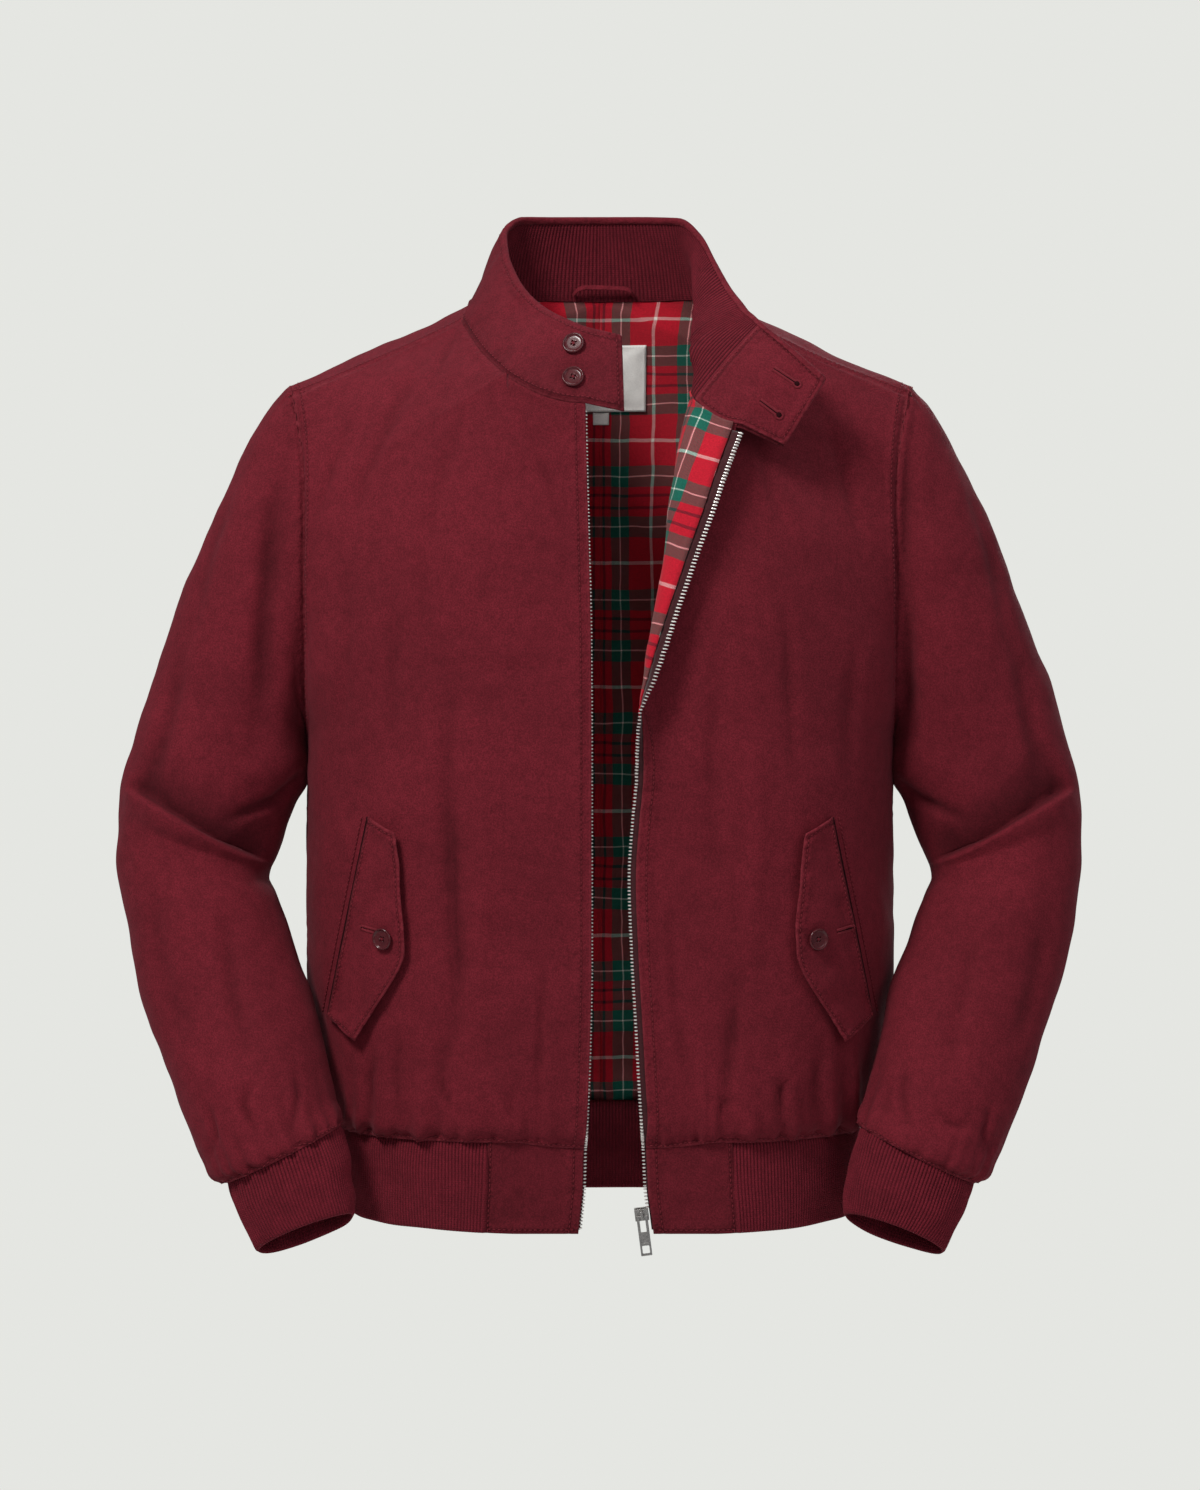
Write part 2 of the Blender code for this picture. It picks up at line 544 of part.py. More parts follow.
def neck_stations(left):
    """[(c, point)] of a half of the neck seam, from the centre back to the front edge and past it."""
    stations = []
    for v in [v for v in ROWS_BACK if v >= BACK_NECK_V]:
        stations.append((0.5 * (v - BACK_NECK_V) / (1 - BACK_NECK_V), np.array(follow(BACK_NECK, v))))
    neck = LEFT_NECK if left else RIGHT_NECK
    for v in [v for v in ROWS_FRONT if NECK_V < v < 1][::-1]:
        c = COLLAR_NECK_C - (COLLAR_NECK_C - 0.5) * (v - NECK_V) / (1 - NECK_V)
        stations.append((c, np.array(follow(neck, v))))
    strip = strip_points(LEFT_EDGE if left else RIGHT_EDGE, NECK_V)
    total = sum(np.linalg.norm(b - a) for a, b in zip(strip, strip[1:]))
    gone = 0.0
    for k, point in enumerate(strip):
        gone += np.linalg.norm(point - strip[k - 1]) if k else 0.0
        stations.append((COLLAR_NECK_C + (1 - COLLAR_NECK_C) * gone / total, point))
    end = np.array(COLLAR_END_LEFT if left else COLLAR_END_RIGHT)
    last = stations[-1][1]
    stations.append((COLLAR_PAST, (last + end) / 2))
    stations.append((2 * COLLAR_PAST - 1, end))
    return stations


def collar_section(left, c, seam):
    """The points of the collar's outer face above one station."""
    top_x, top_y, top_z, roll_x, roll_y, roll_z = follow(COLLAR_LEFT if left else COLLAR_RIGHT, c)
    top = np.array([top_x, top_y, top_z])
    roll = np.array([roll_x, roll_y, roll_z])
    points = []
    for k in range(COLLAR_STEPS + 1):
        w = k / COLLAR_STEPS
        points.append((1 - w) ** 2 * seam + 2 * w * (1 - w) * roll + w * w * top)
    return points


def collar_grid():
    """(stations, grid) of the whole collar from its right end round the back, rows seam to top."""
    right = [(-c, mirrored(collar_section(False, c, p))) for c, p in neck_stations(False)[::-1]]
    left = [(c, np.array(collar_section(True, c, p))) for c, p in neck_stations(True)[1:]]
    both = right + left
    grid = np.array([section for _, section in both]).transpose(1, 0, 2)
    return np.array([c for c, _ in both]), grid


def quads_of(grid, loop=False, turned=False):
    """(points, quads) of a grid, leaving out absent points. turned reverses the quads to face out."""
    rows, columns = grid.shape[:2]
    here = ~np.isnan(grid[..., 0])
    number = np.full(here.shape, -1)
    number[here] = np.arange(here.sum())
    quads = []
    for i in range(rows - 1):
        for j in range(columns if loop else columns - 1):
            k = (j + 1) % columns
            quad = [number[i, j], number[i, k], number[i + 1, k], number[i + 1, j]]
            if min(quad) >= 0:
                quads.append(quad[::-1] if turned else quad)
    return grid[here], quads


def welded(*sheets):
    """One sheet of several, with the points at the same place made one."""
    number, points, quads = {}, [], []
    for sheet_points, sheet_quads in sheets:
        places = []
        for point in sheet_points:
            if key_of(point) not in number:
                number[key_of(point)] = len(points)
                points.append(point)
            places.append(number[key_of(point)])
        quads += [[places[k] for k in quad] for quad in sheet_quads]
    return np.array(points), quads


def key_of(point):
    return tuple(np.round(np.asarray(point) * 1e5).astype(int))


def share_normals(sheets):
    """The mean face normal of every sheet at the same point, so that walls that meet at a seam lean alike.

    It is longer than 1 at a fold, so that a wall keeps its thickness there.
    """
    faces = {}
    for points, quads in sheets:
        for quad in quads:
            a, b, c, d = (points[k] for k in quad)
            for k in quad:
                faces.setdefault(key_of(points[k]), []).append(np.cross(c - a, d - b))
    leans = {}
    for key, found in faces.items():
        lean = unit(sum(found))
        spread = float(np.mean(unit(np.array(found)) @ lean))
        leans[key] = lean / max(spread, LEAST_SPREAD)
    return leans


def unit(vectors):
    return vectors / np.maximum(np.linalg.norm(vectors, axis=-1, keepdims=True), 1e-12)


def rim_edges(quads):
    """The directed edges that only one quad has."""
    edges = {(q[k], q[(k + 1) % 4]) for q in quads for k in range(4)}
    return [(a, b) for a, b in edges if (b, a) not in edges]


def drawn_in(points, quads, amount):
    """The points with every rim moved in by `amount`, square to the rim and along the cloth."""
    middle = {}
    for q in quads:
        for k in range(4):
            middle[(q[k], q[(k + 1) % 4])] = points[q].mean(axis=0)
    inward = {}
    for a, b in rim_edges(quads):
        along = unit(points[b] - points[a])
        into = middle[(a, b)] - points[a]
        into = unit(into - along * np.dot(into, along))
        inward.setdefault(a, []).append(into)
        inward.setdefault(b, []).append(into)
    out = points.copy()
    for k, (one, other) in inward.items():
        out[k] += amount * (one + other) / max(1 + float(np.dot(one, other)), 0.3)
    return out


def material(slot):
    found = bpy.data.materials.get(slot)
    if found:
        return found
    colour, roughness, metallic = MATERIALS[slot]
    made = bpy.data.materials.new(slot)
    made.use_nodes = True
    shader = made.node_tree.nodes["Principled BSDF"]
    shader.inputs["Base Color"].default_value = (*colour, 1.0)
    shader.inputs["Roughness"].default_value = roughness
    shader.inputs["Metallic"].default_value = metallic
    return made


def add_object(name, points, faces, slot):
    mesh = bpy.data.meshes.new(name)
    mesh.from_pydata([tuple(p) for p in points], [], [tuple(int(k) for k in f) for f in faces])
    mesh.update()
    made = bpy.data.objects.new(name, mesh)
    bpy.context.scene.collection.objects.link(made)
    mesh.materials.append(material(slot))
    return made


def wall(name, sheet, normals, top, thickness, slot, draw=GAP / 2):
    """A closed wall on a sheet of (points, quads): from `top` to top + thickness in from its outer face."""
    points, quads = sheet
    keys = [key_of(p) for p in points]
    lean = np.array([normals[key] for key in keys])
    points = drawn_in(points, quads, draw)
    both = np.concatenate([points - lean * top, points - lean * (top + thickness)])
    count = len(points)
    faces = []
    for a, b, c, d in quads:
        faces += [(a, b, c), (a, c, d)]
        faces += [(a + count, c + count, b + count), (a + count, d + count, c + count)]
    for a, b in rim_edges(quads):
        if keys[a] < keys[b]:
            faces += [(b, a, b + count), (a, a + count, b + count)]
        else:
            faces += [(b, a, a + count), (b, a + count, b + count)]
    return add_object(name, both, faces, slot)


def bar(name, centres, wide, thick, size, slot):
    """A bar of rectangular section along `centres`, `size` wide and thick along the unit vectors given."""
    points = []
    for centre, w, t in zip(centres, wide, thick):
        for sw, st in ((-1, -1), (1, -1), (1, 1), (-1, 1)):
            points.append(centre + w * sw * size[0] / 2 + t * st * size[1] / 2)
    faces = [[3, 2, 1, 0]]
    for i in range(len(centres) - 1):
        for k in range(4):
            a, b = 4 * i + k, 4 * i + (k + 1) % 4
            faces.append([a, b, b + 4, a + 4])
    last = 4 * (len(centres) - 1)
    faces.append([last, last + 1, last + 2, last + 3])
    made = add_object(name, points, faces, slot)
    outward(made)
    return made


def outward(made):
    """Turns a closed mesh right side out."""
    mesh = made.data
    mesh.calc_loop_triangles()
    volume = 0.0
    for tri in mesh.loop_triangles:
        a, b, c = (mesh.vertices[k].co for k in tri.vertices)
        volume += a.dot(b.cross(c))
    if volume < 0:
        mesh.flip_normals()


def box(name, size, centre=(0, 0, 0), slot=None):
    """A box about its centre. Without a slot it is a helper that cuts or joins, not part of the model."""
    half = np.array(size) / 2
    corners = [(x, y, z) for z in (-1, 1) for y in (-1, 1) for x in (-1, 1)]
    points = [half * corner + centre for corner in corners]
    faces = [(0, 2, 3, 1), (4, 5, 7, 6), (0, 1, 5, 4), (2, 6, 7, 3), (0, 4, 6, 2), (1, 3, 7, 5)]
    made = add_object(name, points, faces, slot or "nickel")
    made.hide_render = slot is None
    return made


def combine(made, helper, operation):
    step = made.modifiers.new(helper.name, "BOOLEAN")
    step.operation = operation
    step.solver = "EXACT"
    step.object = helper


def placed(made, origin, right, out):
    """Puts a piece built with +X right, -Y out and +Z up at `origin`, turned to the directions given."""
    out = unit(np.asarray(out, float))
    right = unit(np.asarray(right, float) - out * np.dot(right, out))
    turn = Matrix(np.array([right, -out, np.cross(right, -out)]).T.tolist()).to_4x4()
    made.matrix_basis = Matrix.Translation(Vector(origin)) @ turn


def lathe(name, profile, segments, x=0.0, z=0.0):
    """A solid of revolution about the Y line at x, z from (radius, y) points that start and end on it."""
    points = [(x, profile[0][1], z)]
    for radius, y in profile[1:-1]:
        for k in range(segments):
            angle = 2 * math.pi * k / segments
            points.append((x + radius * math.cos(angle), y, z + radius * math.sin(angle)))
    points.append((x, profile[-1][1], z))
    faces = []
    rings = len(profile) - 2
    for k in range(segments):
        n = (k + 1) % segments
        faces.append((0, 1 + n, 1 + k))
        base = 1 + (rings - 1) * segments
        faces.append((base + k, base + n, len(points) - 1))
        for i in range(rings - 1):
            a, b = 1 + i * segments + k, 1 + i * segments + n
            faces.append((a, b, b + segments, a + segments))
    made = add_object(name, points, faces, "button")
    outward(made)
    return made


def button(name, origin, right, out):
    """A four-hole button whose back is at the origin."""
    made = lathe(name, [(radius, -depth) for radius, depth in BUTTON], BUTTON_SEGMENTS)
    hole = ((0.0, DRILL_FROM), (BUTTON_HOLE, DRILL_FROM), (BUTTON_HOLE, DRILL_TO), (0.0, DRILL_TO))
    for k in range(4):
        x, z = BUTTON_HOLE_AT * (-1, 1)[k % 2], BUTTON_HOLE_AT * (-1, 1)[k // 2]
        drill = lathe(f"{name}_drill_{k}", hole, DRILL_SEGMENTS, x, z)
        drill.hide_render = True
        placed(drill, origin, right, out)
        combine(made, drill, "DIFFERENCE")
    placed(made, origin, right, out)


def edge_rows(left, normals):
    """(edge, inside, out, under) down a front's edge, from below the neck to above the hem's bottom."""
    flip = np.array if left else mirrored
    pairs = []
    for v in (ROWS_LOW + ROWS_FRONT[: ROWS_FRONT.index(NECK_V) + 1])[::-1]:
        strip = strip_points(LEFT_EDGE if left else RIGHT_EDGE, v)
        pairs.append((flip(strip[-1]), flip(strip[-2])))
    band = hem_band_grid(left)
    pairs += [(band[i, 0], band[i, 1]) for i in (1, 2)]
    edge = np.array([pair[0] for pair in pairs])
    inside = np.array([pair[1] for pair in pairs])
    out = unit(np.array([normals[key_of(point)] for point in edge]))
    out_inside = unit(np.array([normals[key_of(point)] for point in inside]))
    under = np.full((len(pairs), 1), SHELL + LAYER_GAP / 2)
    under[-3:] = BAND + LAYER_GAP
    for rows in (edge, inside, out, out_inside, under):
        rows[0] += (rows[1] - rows[0]) * ZIP_TOP
        rows[-1] += (rows[-2] - rows[-1]) * ZIP_FOOT
    return edge, inside, unit(out), unit(out_inside), under


def zip_side(left, normals):
    """The tape, sewn under the front's edge, and the row of teeth along it."""
    edge, inside, out, out_inside, under = edge_rows(left, normals)
    name = "left" if left else "right"
    away = edge - inside
    inside = edge - away * np.minimum(1.0, TAPE_COVER / np.linalg.norm(away, axis=1, keepdims=True))
    away = unit(away - out * np.sum(away * out, axis=1, keepdims=True))
    reach = edge + away * TAPE_REACH
    rows = np.array([inside - out_inside * under, edge - out * under, reach - out * under])
    rows = rows.transpose(1, 0, 2)
    leans = {}
    for row, normal, normal_inside in zip(rows, out, out_inside):
        leans.update({key_of(row[0]): normal_inside, key_of(row[1]): normal, key_of(row[2]): normal})
    wall(f"zip_tape_{name}", quads_of(rows, turned=not left), leans, 0.0, TAPE_WALL, "tape")
    centres = edge + away * (TAPE_REACH + CHAIN_OFF + CHAIN_SIZE[0] / 2) - out * (under + TAPE_WALL / 2)
    if left:
        centres[-1] = centres[-2] + (centres[-1] - centres[-2]) * CHAIN_STOP
    bar(f"zip_chain_{name}", centres, away, out, CHAIN_SIZE, "nickel")
    return centres, away, out


def on_sheet(sheet, x, z):
    """(point, outward normal) of the first triangle of a sheet that is over x and z."""
    points, quads = sheet
    for a, b, c, d in quads:
        for tri in ((a, b, c), (a, c, d)):
            p, q, r = points[list(tri)]
            square = np.array([[q[0] - p[0], r[0] - p[0]], [q[2] - p[2], r[2] - p[2]]])
            if abs(np.linalg.det(square)) < 1e-12:
                continue
            u, w = np.linalg.solve(square, np.array([x - p[0], z - p[2]]))
            if u >= -1e-6 and w >= -1e-6 and u + w <= 1 + 1e-6:
                return p + (q - p) * u + (r - p) * w, unit(np.cross(q - p, r - p))
    raise ValueError(f"no cloth over {x}, {z}")


def collar_parts(normals):
    """The collar's twill outside, and inside it the knit and the two twill ends."""
    stations, grid = collar_grid()
    sheet = quads_of(grid, turned=True)
    wall("collar_outer", sheet, normals, 0.0, COLLAR_TWILL, "twill", INNER_DRAW)
    inside = COLLAR_TWILL + LAYER_GAP
    here = np.abs(stations) <= COLLAR_JOINT + 0.02
    first, last = np.flatnonzero(here)[[0, -1]]
    knit = quads_of(grid[:, first: last + 1], turned=True)
    wall("collar_rib", knit, normals, inside, COLLAR_KNIT, "rib", INNER_DRAW)
    right = quads_of(grid[:, : first + 1], turned=True)
    wall("collar_facing_right", right, normals, inside, COLLAR_KNIT, "twill", INNER_DRAW)
    left = quads_of(grid[:, last:], turned=True)
    wall("collar_facing_left", left, normals, inside, COLLAR_KNIT, "twill", INNER_DRAW)
    return stations, grid


def collar_button_places(stations, grid, normals):
    """(point, right, out) of each button on the collar's right end."""
    places = []
    for c, w in COLLAR_BUTTONS:
        column = np.interp(-c, stations, np.arange(len(stations)))
        row = w * COLLAR_STEPS
        j, i = int(column), int(row)
        fj, fi = column - j, row - i
        a, b, d, e = grid[i, j], grid[i, j + 1], grid[i + 1, j], grid[i + 1, j + 1]
        point = (a * (1 - fj) + b * fj) * (1 - fi) + (d * (1 - fj) + e * fj) * fi
        right = unit(a - b)
        out = unit(np.cross(d - a, b - a))
        places.append((point, right if right[0] > 0 else -right, out if out[1] < 0 else -out))
    return places


def slider_and_pull(centres, away, out, level):
    """The slider round the left row of teeth, and the pull tab that hangs from its bail."""
    at = int(np.argmin(np.abs(centres[:, 2] - level)))
    up = unit(centres[at - 1] - centres[at])
    right = unit(np.cross(out[at], up))
    right = right if right[0] > 0 else -right
    front = np.cross(right, up)
    middle = centres[at] + up * ((level - centres[at][2]) / up[2]) + away[at] * SLIDER_BESIDE
    wide, deep, tall = SLIDER_SIZE
    body = box("zip_slider", SLIDER_SIZE, slot="nickel")
    groove = (wide, SLIDER_SLOT, tall + THROUGH)
    off = wide / 2 + SLIDER_WEB / 2
    bail_y = BAIL_SUNK - deep / 2 - BAIL[1] / 2
    eye_y = -deep / 2 - BAIL_EYE[1] / 2
    cuts = (
        (box("groove_left", groove, (-off, 0, 0)), "DIFFERENCE"),
        (box("groove_right", groove, (off, 0, 0)), "DIFFERENCE"),
        (box("bail", BAIL, (0, bail_y, 0)), "UNION"),
        (box("bail_eye", BAIL_EYE, (0, eye_y, 0)), "DIFFERENCE"),
    )
    for helper, operation in cuts:
        placed(helper, middle, right, front)
        combine(body, helper, operation)
    placed(body, middle, right, front)
    pull_tab(middle - front * eye_y - up * PULL_DROP, right)


def pull_tab(pivot, right):
    """A flat tab hanging from its top bar, with a slot for the bail and a window at its foot."""
    wide, deep, tall = PULL_SIZE
    top = PULL_BAR / 2
    body = box("pull_tab", PULL_SIZE, (0, 0, top - tall / 2), "nickel")
    slot = box("pull_slot", (PULL_SLOT[0], deep + THROUGH, PULL_SLOT[1]), (0, 0, -top - PULL_SLOT[1] / 2))
    foot = top - tall + PULL_FOOT + PULL_WINDOW[1] / 2
    window = box("pull_window", (PULL_WINDOW[0], deep + THROUGH, PULL_WINDOW[1]), (0, 0, foot))
    up = unit(np.array([0.0, 0.0, 1.0]) - right * right[2])
    for helper in (slot, window):
        placed(helper, pivot, right, np.cross(right, up))
        combine(body, helper, "DIFFERENCE")
    placed(body, pivot, right, np.cross(right, up))


def labels(back, normals):
    """The two bare woven labels that lie on the lining below the back neck."""
    depth = SHELL + LAYER_GAP + LINING + LABEL_OFF
    tags = (
        ("neck_label", (-LABEL_HALF, LABEL_HALF), (LABEL_TOP, LABEL_BOTTOM)),
        ("size_label", SIZE_TAB[:2], SIZE_TAB[2:]),
    )
    for name, (left, right), (top, bottom) in tags:
        rows, leans = [], {}
        for z in np.linspace(bottom, top, 4):
            row = []
            for x in np.linspace(left, right, 5):
                point, normal = on_sheet(back, x, z)
                row.append(point - np.array([0, 1, 0]) * depth)
                leans[key_of(row[-1])] = np.array([0.0, 1.0, 0.0])
            rows.append(row)
        wall(name, quads_of(np.array(rows), turned=True), leans, 0.0, LABEL_WALL, "label", draw=0.0)


def hanger_loop():
    """A folded strip of twill that stands off the collar's inside at the back of the neck."""
    places = [np.array(follow(LOOP, q)) for q in np.linspace(0, 1, 13)]
    along = unit(np.gradient(np.array(places), axis=0))
    thick = unit(np.cross(along, np.array([0.0, 0.35, 1.0])))
    wide = unit(np.cross(thick, along))
    bar("hanger_loop", places, wide, thick, LOOP_SIZE, "twill")


def seat(sheet, x, z):
    """(point, outward normal) on which a button rests clear of a curved sheet."""
    middle = on_sheet(sheet, x, z)[0]
    angles = [k * math.pi / 4 for k in range(8)]
    reach = BUTTON[1][0]
    round_it = [on_sheet(sheet, x + reach * math.cos(a), z + reach * math.sin(a))[0] for a in angles]
    out = unit(np.cross(round_it[0] - round_it[4], round_it[2] - round_it[6]))
    out = out if out[1] < 0 else -out
    return middle + out * max(0.0, *(float(np.dot(p - middle, out)) for p in round_it)), out


def clear_scene():
    for thing in list(bpy.data.objects):
        bpy.data.objects.remove(thing, do_unlink=True)


def build():
    clear_scene()
    fronts = {
        "right": quads_of(front_grid(False), turned=True),
        "left": quads_of(front_grid(True)),
    }
    back = back_sheet()
    sleeves = {
        "right": quads_of(mirrored(sleeve_grid()), loop=True),
        "left": quads_of(sleeve_grid(), loop=True, turned=True),
    }
    cuffs = {
        "right": quads_of(mirrored(cuff_grid()), loop=True),
        "left": quads_of(cuff_grid(), loop=True, turned=True),
    }
    bands = {
        "right": quads_of(hem_band_grid(False)),
        "left": quads_of(hem_band_grid(True), turned=True),
    }
    rib = quads_of(hem_rib_grid())
    collar = quads_of(collar_grid()[1], turned=True)
    sheets = [*fronts.values(), back, *sleeves.values(), *cuffs.values(), *bands.values(), rib, collar]
    normals = share_normals(sheets)
    lined = {
        "right": quads_of(front_grid(False)[:, 1:], turned=True),
        "left": quads_of(front_grid(True)[:, 1:]),
    }
    for side_ in ("right", "left"):
        wall(f"front_{side_}", fronts[side_], normals, 0.0, SHELL, "twill")
        wall(f"lining_front_{side_}", lined[side_], normals, SHELL + LAYER_GAP, LINING, "check", INNER_DRAW)
        sleeve = stood_off(sleeves[side_], normals, 1 if side_ == "left" else -1)
        wall(f"sleeve_{side_}", sleeve, normals, 0.0, SHELL, "twill")
        wall(f"cuff_{side_}", cuffs[side_], normals, 0.0, RIB, "rib")
        wall(f"hem_band_{side_}", bands[side_], normals, 0.0, BAND, "twill", INNER_DRAW)
    wall("back", back, normals, 0.0, SHELL, "twill")
    wall("lining_back", back, normals, SHELL + LAYER_GAP, LINING, "check", INNER_DRAW)
    wall("hem_rib", rib, normals, 0.0, RIB, "rib")
    stations, grid = collar_parts(normals)
    for name, place in zip(("upper", "lower"), collar_button_places(stations, grid, normals)):
        point, right, out = place
        button(f"collar_button_{name}", point + out * BUTTON_OFF, right, out)
    for side_ in ("right", "left"):
        flap_and_button(side_ == "left", side_, fronts[side_])
    zip_side(False, normals)
    slider_and_pull(*zip_side(True, normals), follow(HEM, SLIDER_H)[1])
    labels(back, normals)
    hanger_loop()


def flap_and_button(left, name, panel):
    """A pocket flap from its panel's points, moved out, and the button on it."""
    mirror = 1 if left else -1
    rows, leans = [], {}
    for q in FLAP_ROWS:
        sewn_x, sewn_z, free_x, free_z = follow(FLAP, q)
        row = []
        for w in FLAP_COLUMNS:
            x = sewn_x + (free_x - sewn_x) * w
            z = sewn_z + (free_z - sewn_z) * w
            point, normal = on_sheet(panel, mirror * x, z)
            lift = FLAP_LIFT[0] + (FLAP_LIFT[1] - FLAP_LIFT[0]) * math.sin(w * math.pi / 2)
            row.append(point + normal * (lift + FLAP_WALL))
            leans[key_of(row[-1])] = normal
        rows.append(row)
    sheet = quads_of(np.array(rows), turned=not left)
    wall(f"pocket_flap_{name}", sheet, leans, 0.0, FLAP_WALL, "twill", draw=0.0)
    point, out = seat(sheet, mirror * FLAP_BUTTON[0], FLAP_BUTTON[1])
    button(f"pocket_button_{name}", point + out * GAP, (1, 0, 0), out)


build()
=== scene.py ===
"""Looks of the harrington jacket: dense cloth, knit, tartan lining, zip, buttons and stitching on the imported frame."""

import json
import math

import bmesh
import bpy
import numpy as np
from mathutils import Matrix, Vector
from mathutils.bvhtree import BVHTree


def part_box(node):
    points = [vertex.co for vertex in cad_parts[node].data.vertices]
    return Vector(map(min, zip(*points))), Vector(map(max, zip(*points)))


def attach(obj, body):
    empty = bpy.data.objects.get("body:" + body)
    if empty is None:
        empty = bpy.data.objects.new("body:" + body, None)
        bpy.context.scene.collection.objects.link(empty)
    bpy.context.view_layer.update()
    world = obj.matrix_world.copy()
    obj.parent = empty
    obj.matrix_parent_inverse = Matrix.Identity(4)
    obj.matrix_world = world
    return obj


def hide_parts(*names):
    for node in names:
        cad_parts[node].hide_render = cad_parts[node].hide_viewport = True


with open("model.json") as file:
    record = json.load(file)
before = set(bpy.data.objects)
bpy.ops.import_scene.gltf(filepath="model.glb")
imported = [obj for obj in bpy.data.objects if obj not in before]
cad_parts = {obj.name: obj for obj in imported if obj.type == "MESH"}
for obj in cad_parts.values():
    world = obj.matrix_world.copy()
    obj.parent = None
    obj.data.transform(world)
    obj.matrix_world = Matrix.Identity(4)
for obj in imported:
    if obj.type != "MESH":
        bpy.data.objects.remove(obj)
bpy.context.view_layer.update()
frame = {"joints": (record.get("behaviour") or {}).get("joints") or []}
BODY = "jacket"

# ---------------------------------------------------------------- sizes and sections, in metres

# Thicknesses of the cloths, and the gap between layers.
SHELL = 0.0010
LINING = 0.0010
RIB = 0.0022
BAND = 0.0020
FLAP_WALL = 0.0018
TAPE_WALL = 0.0008
LABEL_WALL = 0.0006
LAYER_GAP = 0.0006

# v of the armpit and of the neck seam's ends, up a panel from its hem seam.
ARMPIT_V = 0.50
NECK_V = 0.84
BACK_NECK_V = 0.86

# The armhole's centre height, half height, reach before and behind and squareness, how far ahead of the body's sides
# its shoulder end lies, as an angle, and how far the shoulder seam sinks between its ends.
ARMHOLE_Z = -0.1850
ARMHOLE_HALF_HEIGHT = 0.1300
ARMHOLE_FORE = 0.0520
ARMHOLE_AFT = 0.0560
ARMHOLE_ROUND = 2.15
SEAM_AHEAD = 0.36
SHOULDER_DIP = 0.0025

# The x of the hem's front edges at its seam, middle and foot, their strip's width and drop, and where each woven
# band meets the rib.
HEM_EDGE_RIGHT = (0.0115, 0.0124, 0.0156)
HEM_EDGE_LEFT = (0.0330, 0.0345, 0.0385)
HEM_STRIP = 0.046
HEM_DROP = -0.004
HEM_JOINT_RIGHT = 0.0812
HEM_JOINT_LEFT = 0.0955

# The collar: the station where its knit meets the twill end, that of the neck corner, how far it goes past the front
# edge, its ends, and the buttons' stations.
COLLAR_JOINT = 0.89
COLLAR_NECK_C = 0.72
COLLAR_PAST = 1.05
COLLAR_END_RIGHT = (-0.0171, -0.1250, -0.0777)
COLLAR_END_LEFT = (0.1314, -0.1080, -0.1030)
COLLAR_BUTTONS = (("collar_button_upper", 0.955), ("collar_button_lower", 0.962))

# How far a flap stands off at its sewn and at its free edge, and its button's x and z.
FLAP_LIFT = (0.0014, 0.0060)
FLAP_BUTTON = (0.1550, -0.4560)

# The zip: how far its tape goes under the edge and reaches out of it, the width and depth of its chain as a bar and the
# bar's distance from the tape, how near the neck it stops, the slider by h of the hem, and the pull.
TAPE_COVER = 0.0045
TAPE_REACH = 0.0010
CHAIN_SIZE = (0.0042, 0.0026)
CHAIN_OFF = 0.0006
ZIP_TOP = 0.15
SLIDER_H = 0.78
SLIDER_SIZE = (0.0100, 0.0056, 0.0088)
SLIDER_WEB = 0.0012
PULL_SIZE = (0.0080, 0.0016, 0.0290)
PULL_SLOT = (0.0042, 0.0105)
PULL_WINDOW = (0.0052, 0.0058)
PULL_BAR = 0.0015
PULL_FOOT = 0.0016

# The neck label's half width, top and foot, the size tab's sides, top and foot, and the hanger loop's section.
LABEL_HALF = 0.0350
LABEL_TOP = -0.0213
LABEL_BOTTOM = -0.0707
SIZE_TAB = (-0.0053, 0.0068, -0.0712, -0.0805)
LOOP_SIZE = (0.0045, 0.0016)


def table(names, rows):
    """A dict of named columns; the first one is the key that the others are read by."""
    columns = zip(*rows)
    return {name: np.array(column, float) for name, column in zip(names.split(), columns)}


# Widest side of the torso up the side seam. v runs from the hem seam, 0, to the shoulder seam, 1.
SIDE = table("v x z", [
    (0.000, 0.1930, -0.6020),
    (0.025, 0.2035, -0.5900),
    (0.060, 0.2085, -0.5690),
    (0.120, 0.2130, -0.5330),
    (0.200, 0.2172, -0.4870),
    (0.350, 0.2172, -0.4000),
    (0.500, 0.2165, -0.3150),
])

# The side of the armhole seam by its height.
ARMHOLE = table("z x", [
    (-0.3150, 0.2165),
    (-0.2500, 0.2158),
    (-0.1550, 0.2157),
    (-0.1255, 0.2166),
    (-0.0767, 0.2226),
    (-0.0560, 0.2280),
    (-0.0550, 0.2284),
])

